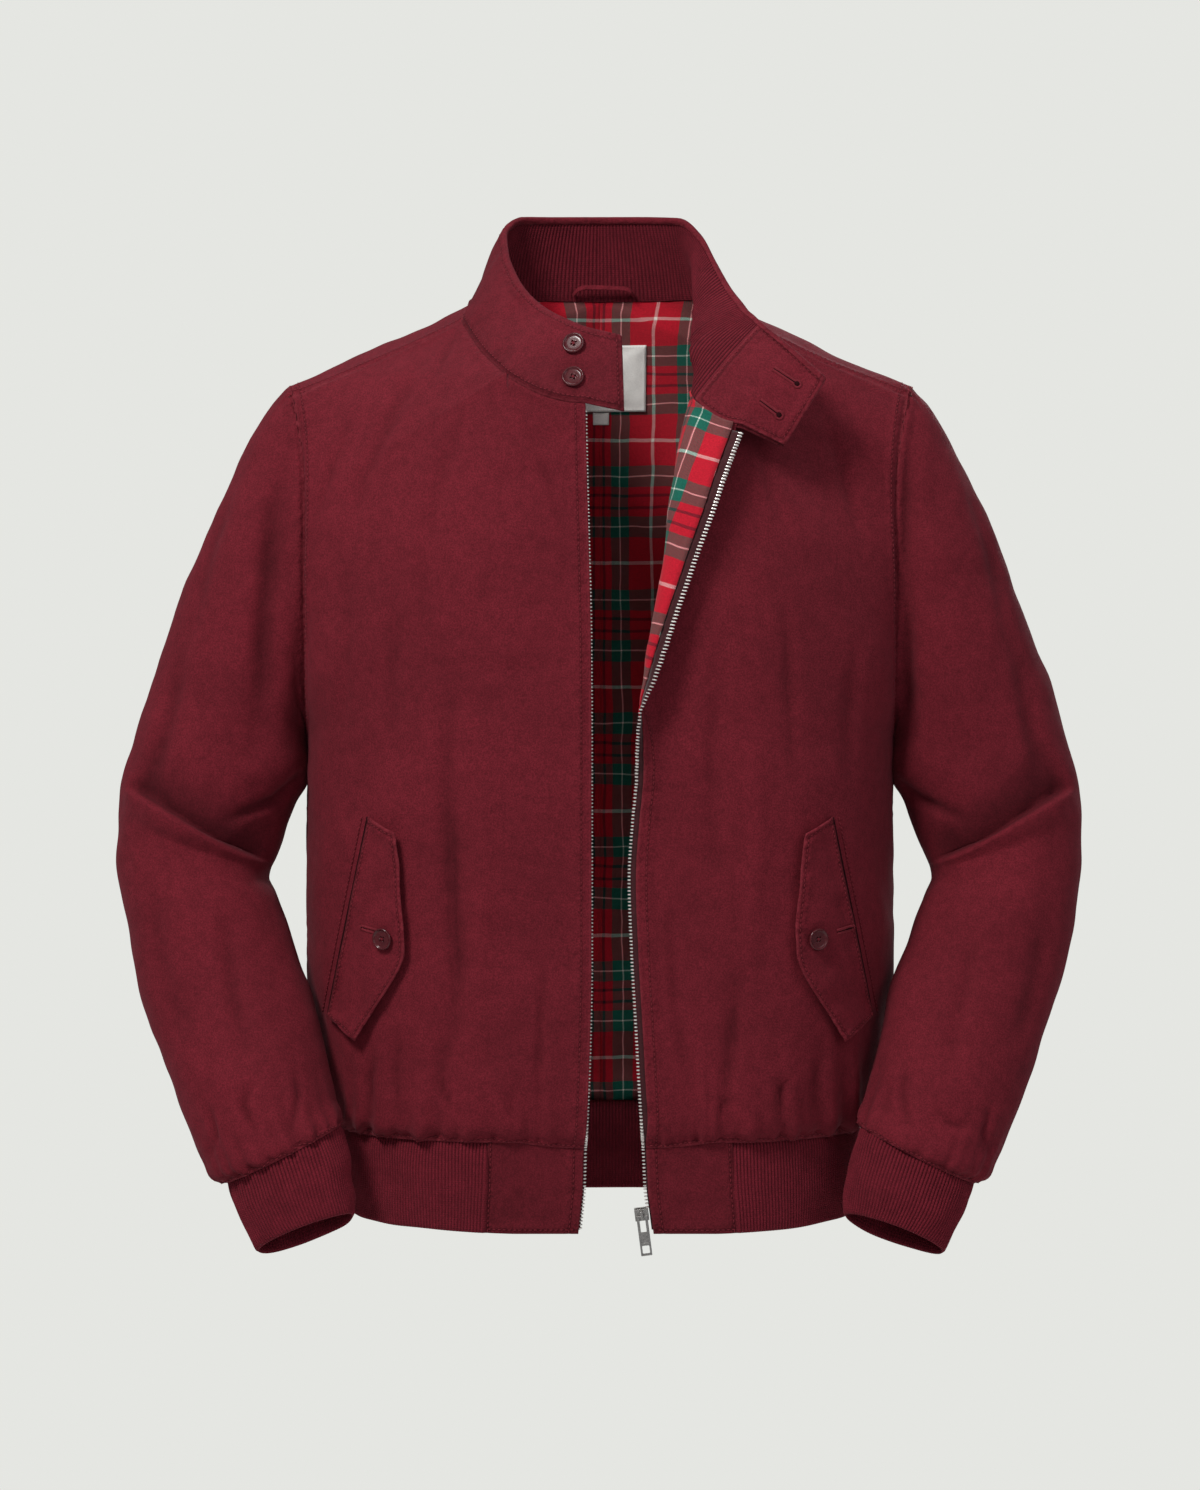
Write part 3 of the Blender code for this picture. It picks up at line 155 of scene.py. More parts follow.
# The front edge strip: where it leaves the panel (y, z), the edge's x, the strip's flat, bent and returned lengths,
# how far it turns out, and how far the strip's end drops forward and down at the neck.
PLAIN = (0.022, 0.012, 0.012, 0, 0.0)
RIGHT_EDGE = table("v y z edge_x flat bend back_run turn drop_y drop_z", [
    (0.000, -0.1180, -0.6020, 0.0115, *PLAIN, -0.004),
    (0.025, -0.1275, -0.5880, 0.0105, *PLAIN, -0.002),
    (0.060, -0.1300, -0.5640, 0.0094, *PLAIN, 0.0),
    (0.120, -0.1300, -0.5240, 0.0080, *PLAIN, 0.0),
    (0.200, -0.1300, -0.4710, 0.0071, *PLAIN, 0.0),
    (0.450, -0.1330, -0.3070, 0.0071, *PLAIN, 0.0),
    (0.550, -0.1325, -0.2410, 0.0075, *PLAIN, 0.0),
    (0.660, -0.1275, -0.1690, 0.0090, 0.023, 0.013, 0.013, 0, -0.0015, -0.0040),
    (0.750, -0.1170, -0.1100, 0.0104, 0.025, 0.014, 0.014, 0, -0.0070, -0.0105),
    (0.840, -0.0980, -0.0510, 0.0114, 0.0265, 0.0144, 0.0144, 0, -0.0240, -0.0203),
])
LEFT_EDGE = table("v y z edge_x flat bend back_run turn drop_y drop_z", [
    (0.000, -0.1180, -0.6020, 0.0330, *PLAIN, -0.004),
    (0.025, -0.1275, -0.5850, 0.0316, *PLAIN, -0.002),
    (0.060, -0.1300, -0.5610, 0.0300, *PLAIN, 0.0),
    (0.120, -0.1300, -0.5210, 0.0278, *PLAIN, 0.0),
    (0.200, -0.1300, -0.4670, 0.0247, *PLAIN, 0.0),
    (0.280, -0.1305, -0.4120, 0.0228, *PLAIN, 0.0),
    (0.340, -0.1315, -0.3720, 0.0252, *PLAIN, 0.0),
    (0.385, -0.1325, -0.3410, 0.0282, 0.022, 0.014, 0.010, 8, 0.0, -0.001),
    (0.427, -0.1335, -0.3130, 0.0292, 0.024, 0.014, 0.007, 40, 0.0, -0.003),
    (0.465, -0.1340, -0.2880, 0.0303, 0.026, 0.014, 0.006, 84, 0.0, -0.006),
    (0.511, -0.1345, -0.2560, 0.0340, 0.025, 0.016, 0.005, 132, 0.0, -0.012),
    (0.574, -0.1330, -0.2135, 0.0390, 0.021, 0.018, 0.007, 160, 0.0, -0.0185),
    (0.647, -0.1270, -0.1640, 0.0470, 0.016, 0.0205, 0.011, 172, -0.002, -0.026),
    (0.732, -0.1120, -0.1060, 0.0540, 0.012, 0.0229, 0.020, 175, -0.008, -0.037),
    (0.840, -0.0660, -0.0310, 0.0683, 0.010, 0.0229, 0.0256, 175, -0.031, -0.058),
])

# How square each row across the front is: 2 is an ellipse's quarter, 1 a straight line.
FRONT_ROUND = table("v n", [(0.0, 2.1), (0.12, 2.05), (0.3, 2.2), (0.5, 2.2), (0.66, 1.85), (0.84, 1.40), (1.0, 1.0)])
BACK_ROUND = table("v n", [(0.0, 2.4), (0.3, 2.3), (0.5, 2.15), (0.70, 1.80), (0.86, 1.45), (1.0, 1.0)])

# The neck seam from the end of the strip to the shoulder seam, and from the centre back to the shoulder seam.
RIGHT_NECK = table("v x y z", [
    (0.84, 0.0667, -0.0980, -0.0510),
    (0.92, 0.0855, -0.0660, -0.0320),
    (1.00, 0.1015, -0.0220, -0.0075),
])
LEFT_NECK = table("v x y z", [
    (0.84, 0.0858, -0.0660, -0.0310),
    (0.92, 0.0950, -0.0440, -0.0185),
    (1.00, 0.1015, -0.0220, -0.0075),
])
BACK_CENTRE = table("v x y z", [
    (0.000, 0.0, 0.1080, -0.6020),
    (0.025, 0.0, 0.1165, -0.5850),
    (0.060, 0.0, 0.1195, -0.5590),
    (0.200, 0.0, 0.1180, -0.4590),
    (0.400, 0.0, 0.1185, -0.3170),
    (0.550, 0.0, 0.1210, -0.2100),
    (0.700, 0.0, 0.1130, -0.1030),
    (0.800, 0.0, 0.0920, -0.0320),
    (0.860, 0.0, 0.0730, 0.0110),
])
BACK_NECK = table("v x y z", [
    (0.860, 0.0000, 0.0730, 0.0110),
    (0.895, 0.0400, 0.0700, 0.0115),
    (0.930, 0.0750, 0.0530, 0.0120),
    (0.965, 0.0970, 0.0180, 0.0060),
    (1.000, 0.1015, -0.0220, -0.0075),
])

# The hem below its seam, h from 0 at the seam to 1 at its edge: the front strip's start and edge, side and back.
HEM = table("h fore_y fore_z side_x side_z aft_y aft_z", [
    (0.0, -0.1180, -0.6020, 0.1930, -0.6020, 0.1080, -0.6020),
    (0.5, -0.1175, -0.6360, 0.1930, -0.6350, 0.1095, -0.6350),
    (1.0, -0.1140, -0.6690, 0.1885, -0.6655, 0.1080, -0.6660),
])

# Sleeve rings: the outer and inner ends of each, its middle's y, and its depth before and behind.
SLEEVE = table("t outer_x outer_z inner_x inner_z y fore aft", [
    (1.0, 0.2440, -0.0760, 0.2185, -0.3190, 0.000, 0.0550, 0.0580),
    (2.0, 0.2655, -0.1100, 0.2190, -0.3260, 0.000, 0.0590, 0.0600),
    (3.0, 0.2870, -0.1560, 0.2195, -0.3360, 0.000, 0.0610, 0.0610),
    (4.0, 0.3080, -0.2050, 0.2200, -0.3480, 0.000, 0.0600, 0.0600),
    (5.0, 0.3290, -0.2640, 0.2270, -0.3660, 0.000, 0.0585, 0.0580),
    (6.0, 0.3460, -0.3180, 0.2350, -0.3890, -0.004, 0.0580, 0.0560),
    (6.8, 0.3545, -0.3540, 0.2405, -0.4040, -0.007, 0.0585, 0.0555),
    (7.4, 0.3560, -0.3760, 0.2440, -0.4130, -0.009, 0.0520, 0.0560),
    (8.2, 0.3562, -0.4020, 0.2448, -0.4190, -0.013, 0.0530, 0.0550),
    (9.2, 0.3525, -0.4330, 0.2395, -0.4300, -0.020, 0.0545, 0.0530),
    (10.2, 0.3445, -0.4740, 0.2300, -0.4540, -0.032, 0.0520, 0.0495),
    (11.5, 0.3290, -0.5220, 0.2170, -0.4920, -0.051, 0.0490, 0.0460),
    (13.0, 0.3060, -0.5780, 0.2000, -0.5450, -0.075, 0.0460, 0.0430),
    (14.0, 0.2880, -0.6150, 0.1895, -0.5780, -0.089, 0.0440, 0.0410),
    (14.6, 0.2790, -0.6290, 0.1868, -0.5880, -0.094, 0.0410, 0.0380),
    (15.0, 0.2700, -0.6330, 0.1880, -0.5920, -0.096, 0.0350, 0.0330),
])
CUFF = table("t outer_x outer_z inner_x inner_z y fore aft", [
    (0.0, 0.2700, -0.6330, 0.1880, -0.5920, -0.096, 0.0350, 0.0330),
    (0.5, 0.2605, -0.6570, 0.1790, -0.6230, -0.104, 0.0320, 0.0300),
    (1.0, 0.2469, -0.6825, 0.1746, -0.6556, -0.112, 0.0250, 0.0230),
])

# The collar by the station c along the neck seam: 0 at the centre back, 0.5 at the shoulder seam, 1 at the front edge.
# roll is the point that pulls each section out of a straight line.
COLLAR_RIGHT = table("c top_x top_y top_z roll_x roll_y roll_z", [
    (0.00, 0.0000, 0.0630, 0.0744, 0.0000, 0.0700, 0.0430),
    (0.12, 0.0301, 0.0600, 0.0742, 0.0370, 0.0665, 0.0430),
    (0.24, 0.0590, 0.0470, 0.0735, 0.0700, 0.0510, 0.0430),
    (0.37, 0.0722, 0.0200, 0.0612, 0.0870, 0.0200, 0.0320),
    (0.50, 0.0695, -0.0080, 0.0441, 0.0880, -0.0150, 0.0180),
    (0.61, 0.0590, -0.0430, 0.0190, 0.0745, -0.0540, -0.0080),
    (0.72, 0.0450, -0.0650, 0.0028, 0.0570, -0.0820, -0.0250),
    (0.81, 0.0345, -0.0785, -0.0050, 0.0420, -0.0980, -0.0340),
    (0.90, 0.0230, -0.0885, -0.0110, 0.0280, -0.1070, -0.0410),
    (1.00, 0.0115, -0.0970, -0.0165, 0.0115, -0.1130, -0.0460),
    (1.10, -0.0150, -0.1060, -0.0234, -0.0160, -0.1190, -0.0510),
])
COLLAR_LEFT = table("c top_x top_y top_z roll_x roll_y roll_z", [
    (0.00, 0.0000, 0.0630, 0.0744, 0.0000, 0.0700, 0.0430),
    (0.12, 0.0301, 0.0600, 0.0742, 0.0360, 0.0655, 0.0430),
    (0.24, 0.0600, 0.0490, 0.0722, 0.0640, 0.0500, 0.0430),
    (0.37, 0.0760, 0.0310, 0.0575, 0.0600, 0.0180, 0.0300),
    (0.50, 0.0865, 0.0090, 0.0359, 0.0513, -0.0200, 0.0058),
    (0.61, 0.0985, -0.0160, 0.0140, 0.0450, -0.0420, -0.0170),
    (0.72, 0.1082, -0.0400, -0.0003, 0.0435, -0.0600, -0.0280),
    (0.77, 0.1110, -0.0475, -0.0050, 0.0480, -0.0700, -0.0330),
    (0.82, 0.1140, -0.0550, -0.0095, 0.0720, -0.0810, -0.0340),
    (0.89, 0.1180, -0.0650, -0.0155, 0.0960, -0.0900, -0.0380),
    (1.00, 0.1400, -0.0830, -0.0350, 0.1190, -0.1040, -0.0620),
    (1.10, 0.1624, -0.0940, -0.0555, 0.1471, -0.1040, -0.0795),
])

# A flap, by q down its sewn edge: the sewn edge's point and the free edge's point.
FLAP = table("q sewn_x sewn_z free_x free_z", [
    (0.00, 0.1661, -0.3688, 0.1442, -0.3795),
    (0.12, 0.1699, -0.3864, 0.1425, -0.3890),
    (0.45, 0.1804, -0.4348, 0.1395, -0.4300),
    (0.72, 0.1889, -0.4744, 0.1373, -0.4636),
    (1.00, 0.1978, -0.5155, 0.1740, -0.5320),
])

# The hanger loop by q along it.
LOOP = table("q x y z", [
    (0.0, -0.0204, 0.0650, 0.0155),
    (0.2, -0.0165, 0.0608, 0.0195),
    (0.35, -0.0105, 0.0600, 0.0212),
    (0.7, 0.0175, 0.0600, 0.0204),
    (0.85, 0.0222, 0.0602, 0.0188),
    (1.0, 0.0256, 0.0637, 0.0150),
])


# ---------------------------------------------------------------- sections of the cloth

# Spacing of a panel's rows by v and of its columns by s, and the distances from a seam at which more are set.
ROW_STEP = 0.0078
ROW_RIM = (0.0012, 0.0026, 0.0045, 0.0070, 0.0100, 0.0140)
S_RIM = (0.0026, 0.0056, 0.0120, 0.0200, 0.0300)
S_STEP = 0.020
# Columns of the front edge strip as shares of its length.
STRIP_SHARES = (0.045, 0.09, 0.135, 0.18, 0.23, 0.28, 0.33, 0.38, 0.43, 0.48, 0.52, 0.56, 0.60, 0.64, 0.68, 0.72, 0.76,
                0.80, 0.84, 0.88, 0.92, 0.955, 0.98, 1.0)


def follow(columns, at):
    """Each column at the key value or values `at`, on a smooth curve through the rows that doesn't overshoot."""
    names = list(columns)
    key = columns[names[0]]
    rows = np.stack([columns[name] for name in names[1:]], axis=1)
    h = np.diff(key)[:, None]
    rise = np.diff(rows, axis=0) / h
    product = rise[:-1] * rise[1:]
    total = rise[:-1] + rise[1:]
    inner = np.where(product > 0, 2 * product / np.where(total == 0, 1, total), 0.0)
    slope = np.concatenate([rise[:1], inner, rise[-1:]])
    x = np.clip(np.asarray(at, float), key[0], key[-1])
    i = np.clip(np.searchsorted(key, x) - 1, 0, len(key) - 2)
    t = ((x - key[i]) / (key[i + 1] - key[i]))[..., None]
    step = (key[i + 1] - key[i])[..., None]
    found = (2 * t**3 - 3 * t**2 + 1) * rows[i] + (t**3 - 2 * t**2 + t) * step * slope[i]
    return found + (3 * t**2 - 2 * t**3) * rows[i + 1] + (t**3 - t**2) * step * slope[i + 1]


def dense(stops, step, rim, near):
    """Values from the first stop to the last, about `step` apart and closer beside the stops in `near`."""
    values = set()
    for a, b in zip(stops, stops[1:]):
        values.update(np.linspace(a, b, max(2, int(round((b - a) / step)) + 1)))
    for stop in near:
        values = {v for v in values if abs(v - stop) > rim[-1] * 1.2 or v in stops}
        values.update(stop + sign * r for r in rim for sign in (-1, 1) if stops[0] <= stop + sign * r <= stops[-1])
    return sorted(values)


LOW = dense((0.0, ARMPIT_V), ROW_STEP, ROW_RIM, (0.0,))
FRONT_UP = dense((ARMPIT_V, NECK_V, 1.0), ROW_STEP, ROW_RIM, (NECK_V, 1.0))[1:]
BACK_UP = dense((ARMPIT_V, BACK_NECK_V, 1.0), ROW_STEP, ROW_RIM, (BACK_NECK_V, 1.0))[1:]
MAIN_S = np.array(dense((0.0, 1.0), S_STEP, S_RIM, (0.0, 1.0)))


def armhole(u, rear):
    """The armhole seam, u from the armpit, 0, to the shoulder seam, 1, round the front or the rear."""
    angle = u * (math.pi + (SEAM_AHEAD if rear else -SEAM_AHEAD))
    sine, cosine = math.sin(angle), math.cos(angle)
    power = 2 / ARMHOLE_ROUND
    reach = math.copysign(abs(sine) ** power, sine) * (1 if rear else -1)
    y = reach * (ARMHOLE_AFT if reach > 0 else ARMHOLE_FORE)
    z = ARMHOLE_Z - ARMHOLE_HALF_HEIGHT * math.copysign(abs(cosine) ** power, cosine)
    return np.array([follow(ARMHOLE, z)[0], y, z])


def side(v, rear):
    """The end of a row at the side seam or the armhole."""
    if v <= ARMPIT_V:
        x, z = follow(SIDE, v)
        return np.array([x, 0.0, z])
    return armhole((v - ARMPIT_V) / (1 - ARMPIT_V), rear)


def across(start, end, n, s):
    """Points of a row that leaves `start` square to the front and turns to meet `end` at the side."""
    s = np.asarray(s, float)
    run = np.sin(s * math.pi / 2) ** (2 / n)
    turn = 1 - np.maximum(np.cos(s * math.pi / 2), 0.0) ** (2 / n)
    return np.stack([start[k] + (end[k] - start[k]) * (turn if k == 1 else run) for k in range(3)], axis=-1)


def strip_points(edge, v, shares):
    """The front edge strip of a row at the shares of its length, from the panel to the zip."""
    y, z, edge_x, flat, bend, back_run, turn, drop_y, drop_z = follow(edge, v)
    turn = math.radians(turn)
    whole = flat + bend + back_run
    lined = whole - min(TAPE_COVER, back_run / 2)
    stops = [0.0, flat, flat + bend / 3, flat + 2 * bend / 3, flat + bend, lined, whole]
    reach = max(strip_path(d, flat, bend, turn)[0] for d in stops)
    if turn > math.pi / 2:
        reach = flat + bend / turn
    points = []
    for share in shares:
        along, out = strip_path(share * whole, flat, bend, turn)
        ease = 1 - (1 - share) ** 2
        points.append([edge_x + reach - along, y - out + drop_y * ease, z + drop_z * ease])
    return np.array(points)


def strip_path(d, flat, bend, turn):
    """(along, out) at the distance d along the strip."""
    if d <= flat or turn < 1e-6:
        return d, 0.0
    radius = bend / turn
    angle = min(d - flat, bend) / radius
    along = flat + radius * math.sin(angle)
    out = radius * (1 - math.cos(angle))
    rest = max(d - flat - bend, 0.0)
    return along + rest * math.cos(turn), out + rest * math.sin(turn)


def dip(v, s):
    """The slight hollow of the shoulder between the neck and its tip."""
    return SHOULDER_DIP * np.sin(math.pi * s) * max(0.0, (v - 0.8) / 0.2)


# How far above the armpit, by u of the armhole, a row still keeps the round of the side.
EASE = 0.32


def row_to(start, v, rear, n):
    """A row to the side. Just above the armpit it keeps the round of the side as far as the armhole seam."""
    end = side(v, rear)
    row = across(start, end, n, MAIN_S)
    u = (v - ARMPIT_V) / (1 - ARMPIT_V)
    if not 0 < u < EASE:
        return row
    beyond = np.array([end[0], 0.0, end[2]])
    fine = np.linspace(0.0, 1.0, 400)
    stop = np.interp(-abs(end[1]), -np.abs(across(start, beyond, n, fine)[:, 1]), fine)
    part = across(start, beyond, n, MAIN_S * stop)
    part += (end - part[-1]) * MAIN_S[:, None] ** 3
    share = smooth(u, 0.0, EASE)
    return part * (1 - share) + row * share


def mirrored(points):
    """The points on the other side of the body."""
    return np.array(points) * np.array([-1.0, 1.0, 1.0])


def lengths_to(points):
    """The length of a polyline up to each of its points."""
    return np.concatenate([[0], np.cumsum(np.linalg.norm(np.diff(points, axis=0), axis=1))])


def read_at(at, key, points):
    """The points on a polyline where its key, a number for each of its points, is `at`."""
    return np.stack([np.interp(at, key, points[:, k]) for k in range(3)], axis=-1)


TAPE_SHOWN_LEFT = 0.0027
TAPE_SHOWN_RIGHT = -0.0011


def tape_shown(left, v):
    """How far a front's cloth stops short of its edge. The left one's shows its zip tape, the right one's hides it."""
    return (TAPE_SHOWN_LEFT if left else TAPE_SHOWN_RIGHT) * smooth(v, 0.0, 0.03)


def front_grid(left):
    """A front panel: rows up from the hem seam, columns from the zip out; above the neck corner the strip is absent."""
    edge, neck = (LEFT_EDGE, LEFT_NECK) if left else (RIGHT_EDGE, RIGHT_NECK)
    rows = []
    for v in LOW + FRONT_UP:
        kept = 1 - tape_shown(left, v) / follow(edge, min(v, NECK_V))[3:6].sum()
        strip = strip_points(edge, min(v, NECK_V), np.array((0.0, *STRIP_SHARES)) * kept)
        start = strip[0] if v <= NECK_V else follow(neck, v)
        main = row_to(start, v, False, follow(FRONT_ROUND, v)[0])
        main[:, 2] -= dip(v, MAIN_S)
        lead = strip[:0:-1] if v <= NECK_V else np.full((len(STRIP_SHARES), 3), np.nan)
        rows.append(np.concatenate([lead, main]))
    return np.array(rows) if left else mirrored(rows)


def back_grid():
    """The back panel from the right side seam to the left one; above the neck seam its middle is absent."""
    rows = []
    for v in LOW + BACK_UP:
        start = follow(BACK_CENTRE, v) if v <= BACK_NECK_V else follow(BACK_NECK, v)
        row = row_to(start, v, True, follow(BACK_ROUND, v)[0])
        row[:, 2] -= dip(v, MAIN_S)
        rows.append(row)
    return np.array(rows)


def ring(row, alphas):
    """A sleeve ring through its outer and inner ends; alpha is 0 at the inner end and turns towards the front."""
    outer_x, outer_z, inner_x, inner_z, y, fore, aft = row
    middle = np.array([(outer_x + inner_x) / 2, y, (outer_z + inner_z) / 2])
    half = np.array([(outer_x - inner_x) / 2, 0.0, (outer_z - inner_z) / 2])
    depth = np.where(np.sin(alphas) > 0, fore, aft)
    lean = np.stack([0 * depth, -depth * np.sin(alphas), 0 * depth], axis=-1)
    return middle - half * np.cos(alphas)[:, None] + lean


def sleeve_alphas():
    """The angle of each point of the armhole, round the front from the armpit and back round the rear."""
    fore = [(v - ARMPIT_V) / (1 - ARMPIT_V) * (math.pi - SEAM_AHEAD) for v in [ARMPIT_V] + FRONT_UP]
    aft = [2 * math.pi - (v - ARMPIT_V) / (1 - ARMPIT_V) * (math.pi + SEAM_AHEAD) for v in BACK_UP[::-1]]
    return np.array(fore + aft[1:])


# Rings down a sleeve, by the t of its table, and the shares at which the sleeve head's first rings lie before them.
SLEEVE_T = sorted({*np.round(np.arange(1.0, 6.6, 0.1), 3), *np.round(np.arange(6.6, 8.6, 0.05), 3),
                   *np.round(np.arange(8.6, 14.95, 0.1), 3), 14.94, 14.97, 15.0})
HEAD_W = (0.02, 0.05, 0.09, 0.14, 0.20, 0.28, 0.37, 0.47, 0.58, 0.69, 0.80, 0.90)
HEAD_PULL = 5


def sleeve_grid():
    """A sleeve from the armhole seam down to the cuff."""
    seam = [side(v, False) for v in [ARMPIT_V] + FRONT_UP]
    seam = np.array(seam + [side(v, True) for v in BACK_UP[-2::-1]])
    alphas = sleeve_alphas()
    first = ring(follow(SLEEVE, 1.0), alphas)
    pull = first - (ring(follow(SLEEVE, 1.1), alphas) - first) * HEAD_PULL
    rows = [seam]
    rows += [seam * (1 - w) ** 2 + pull * 2 * w * (1 - w) + first * w * w for w in HEAD_W]
    rows += [ring(follow(SLEEVE, t), alphas) for t in SLEEVE_T]
    return np.array(rows)


def even(points, count):
    """Fractional places along a polyline that part it into `count` equal lengths."""
    gone = lengths_to(points)
    return np.interp(np.linspace(0, gone[-1], count + 1), gone, np.arange(len(points)))


# Columns to a rib of the knit, ribs round a cuff, how far its edge tilts up at the front, and its rows by t.
RIB_COLUMNS = 6
CUFF_RIBS = 92
CUFF_TILT = 0.0094
CUFF_T = (-0.07, -0.035, 0.0, 0.02, 0.05, 0.09, 0.14, 0.20, 0.28, 0.36, 0.45, 0.54, 0.63, 0.72, 0.80, 0.87, 0.93,
          0.97, 1.0)


def cuff_grid():
    """A cuff, tucked a little way up inside the sleeve."""
    fine = np.linspace(0, 2 * math.pi, 721)
    places = even(ring(follow(CUFF, 0.6), fine), CUFF_RIBS * RIB_COLUMNS)[:-1]
    alphas = np.interp(places, np.arange(len(fine)), fine)
    rows = []
    for t in CUFF_T:
        row = ring(follow(CUFF, max(t, 0.0)), alphas)
        row[:, 2] += CUFF_TILT * np.sin(alphas) * max(t, 0.0) ** 3
        if t < 0:
            row = row + (ring(follow(CUFF, 0.0), alphas) - ring(follow(CUFF, 0.2), alphas)) * (-t / 0.2)
        rows.append(row)
    return np.array(rows)


def hem_joint(left):
    """The s at which the woven band of a half of the hem meets the rib."""
    edge = (HEM_EDGE_LEFT if left else HEM_EDGE_RIGHT)[0]
    joint = HEM_JOINT_LEFT if left else HEM_JOINT_RIGHT
    start = edge + HEM_STRIP
    share = (joint - start) / (follow(HEM, 0.0)[2] - start)
    return math.asin(share ** (follow(FRONT_ROUND, 0.0)[0] / 2)) / (math.pi / 2)


def hem_front(left, h, s):
    """Points of the front half of the hem: s below 0 is on the strip, from -1 at the zip."""
    fore_y, fore_z, side_x, side_z = follow(HEM, max(h, 0.0))[:4]
    edge = float(np.interp(h, (0.0, 0.5, 1.0), HEM_EDGE_LEFT if left else HEM_EDGE_RIGHT))
    lift = -min(h, 0.0) * HEM_TALL
    s = np.asarray(s, float)
    ease = 1 - (1 + np.minimum(s, 0)) ** 2
    strip_z = fore_z + HEM_DROP * ease * (1 - max(h, 0.0))
    strip = np.stack([edge + HEM_STRIP * (1 + s), 0 * s + fore_y, strip_z], axis=-1)
    start = np.array([edge + HEM_STRIP, fore_y, fore_z])
    main = across(start, np.array([side_x, 0.0, side_z]), follow(FRONT_ROUND, 0.0)[0], np.maximum(s, 0))
    return np.where(s[:, None] < 0, strip, main) + np.array([0, 0, lift])


def hem_back(h, s):
    """Points of the back half of the hem, from the centre back to the side."""
    side_x, side_z, aft_y, aft_z = follow(HEM, max(h, 0.0))[2:]
    row = across(np.array([0.0, aft_y, aft_z]), np.array([side_x, 0.0, side_z]), follow(BACK_ROUND, 0.0)[0], s)
    return row + np.array([0, 0, -min(h, 0.0) * HEM_TALL])


# The hem's height, its rows by h, which is below 0 on its tuck inside the body, and the width of its ribs.
HEM_TALL = 0.066
HEM_H = (-0.06, -0.03, 0.0, 0.02, 0.05, 0.10, 0.17, 0.25, 0.34, 0.43, 0.52, 0.61, 0.70, 0.78, 0.85, 0.91, 0.955,
         0.985, 1.0)
HEM_PITCH = 0.0025


def band_grid(left):
    """The woven band at the front of a half of the hem."""
    joint = hem_joint(left)
    columns = np.concatenate([np.linspace(-1, 0, 21), np.linspace(0, joint, 12)[1:]])
    columns = np.sort(np.concatenate([columns, [-0.98, -0.93, joint - 0.004, joint - 0.012]]))
    rows = [hem_front(left, h, columns) for h in HEM_H]
    return np.array(rows) if left else mirrored(rows)


def hem_row(h, right, left, behind):
    """A row of the hem from the right half's front at the s of `right`, round the back, to the left half's."""
    row = [mirrored(hem_front(False, h, right)), mirrored(hem_back(h, behind[-2::-1]))]
    row += [hem_back(h, behind[1:]), hem_front(True, h, left[-2::-1])]
    return np.concatenate(row)


# How far the knit's two ends go on under the woven bands, and how far they lie behind them.
UNDER_BAND = 0.0030
SUNK_BEHIND = 0.0014


def hem_grid():
    """The knitted hem from the right band's joint round the back to the left one's."""
    right, left = (np.linspace(hem_joint(left), 1, 200) for left in (False, True))
    behind = np.linspace(0, 1, 200)
    row = hem_row(0.6, right, left, behind)
    length = np.linalg.norm(np.diff(row, axis=0), axis=1).sum()
    ribs = int(round(length / HEM_PITCH))
    places = even(row, ribs * RIB_COLUMNS)
    rows = np.array([read_at(places, np.arange(len(row)), hem_row(h, right, left, behind)) for h in HEM_H])
    for end, beside in ((0, 3), (-1, -4)):
        rows[:, end] += unit(rows[:, end] - rows[:, beside]) * UNDER_BAND + np.array([0, SUNK_BEHIND, 0])
    return rows


def neck_stations(left):
    """(c, points) of a half of the neck seam, from the centre back to the front edge and past it."""
    c, points = [], []
    for v in [v for v in BACK_UP if v >= BACK_NECK_V]:
        c.append(0.5 * (v - BACK_NECK_V) / (1 - BACK_NECK_V))
        points.append(follow(BACK_NECK, v))
    for v in [v for v in FRONT_UP if NECK_V < v < 1][::-1]:
        c.append(COLLAR_NECK_C - (COLLAR_NECK_C - 0.5) * (v - NECK_V) / (1 - NECK_V))
        points.append(follow(LEFT_NECK if left else RIGHT_NECK, v))
    strip = strip_points(LEFT_EDGE if left else RIGHT_EDGE, NECK_V, (0.0, *STRIP_SHARES))
    gone = lengths_to(strip)
    c += list(COLLAR_NECK_C + (1 - COLLAR_NECK_C) * gone / gone[-1])
    points += list(strip)
    end = np.array(COLLAR_END_LEFT if left else COLLAR_END_RIGHT)
    for w in np.linspace(0, 1, 13)[1:]:
        c.append(1 + (2 * COLLAR_PAST - 2) * w)
        points.append(strip[-1] + (end - strip[-1]) * w)
    return np.array(c), np.array(points)


# Rows up the collar, as shares of its height.
COLLAR_W = (0.0, 0.015, 0.035, 0.065, 0.10, 0.15, 0.20, 0.25, 0.30, 0.36, 0.42, 0.48, 0.54, 0.60, 0.66, 0.72, 0.78,
            0.84, 0.89, 0.93, 0.96, 0.985, 1.0)


def collar_seam():
    """(signed c, seam points) from the collar's right end round the back to its left end."""
    right_c, right = neck_stations(False)
    left_c, left = neck_stations(True)
    c = np.concatenate([-right_c[::-1], left_c[1:]])
    return c, np.concatenate([mirrored(right)[::-1], left[1:]])


def collar_grid(c, seam, heights=COLLAR_W):
    """The collar's outer face at each station, rows from the seam to the top."""
    tops = np.where(c[:, None] < 0, follow(COLLAR_RIGHT, np.abs(c)), follow(COLLAR_LEFT, np.abs(c)))
    flip = np.where(c[:, None] < 0, -1.0, 1.0) * np.array([1.0, 0, 0]) + np.array([0, 1.0, 1.0])
    top, roll = tops[:, :3] * flip, tops[:, 3:] * flip
    return np.array([(1 - w) ** 2 * seam + 2 * w * (1 - w) * roll + w * w * top for w in heights])


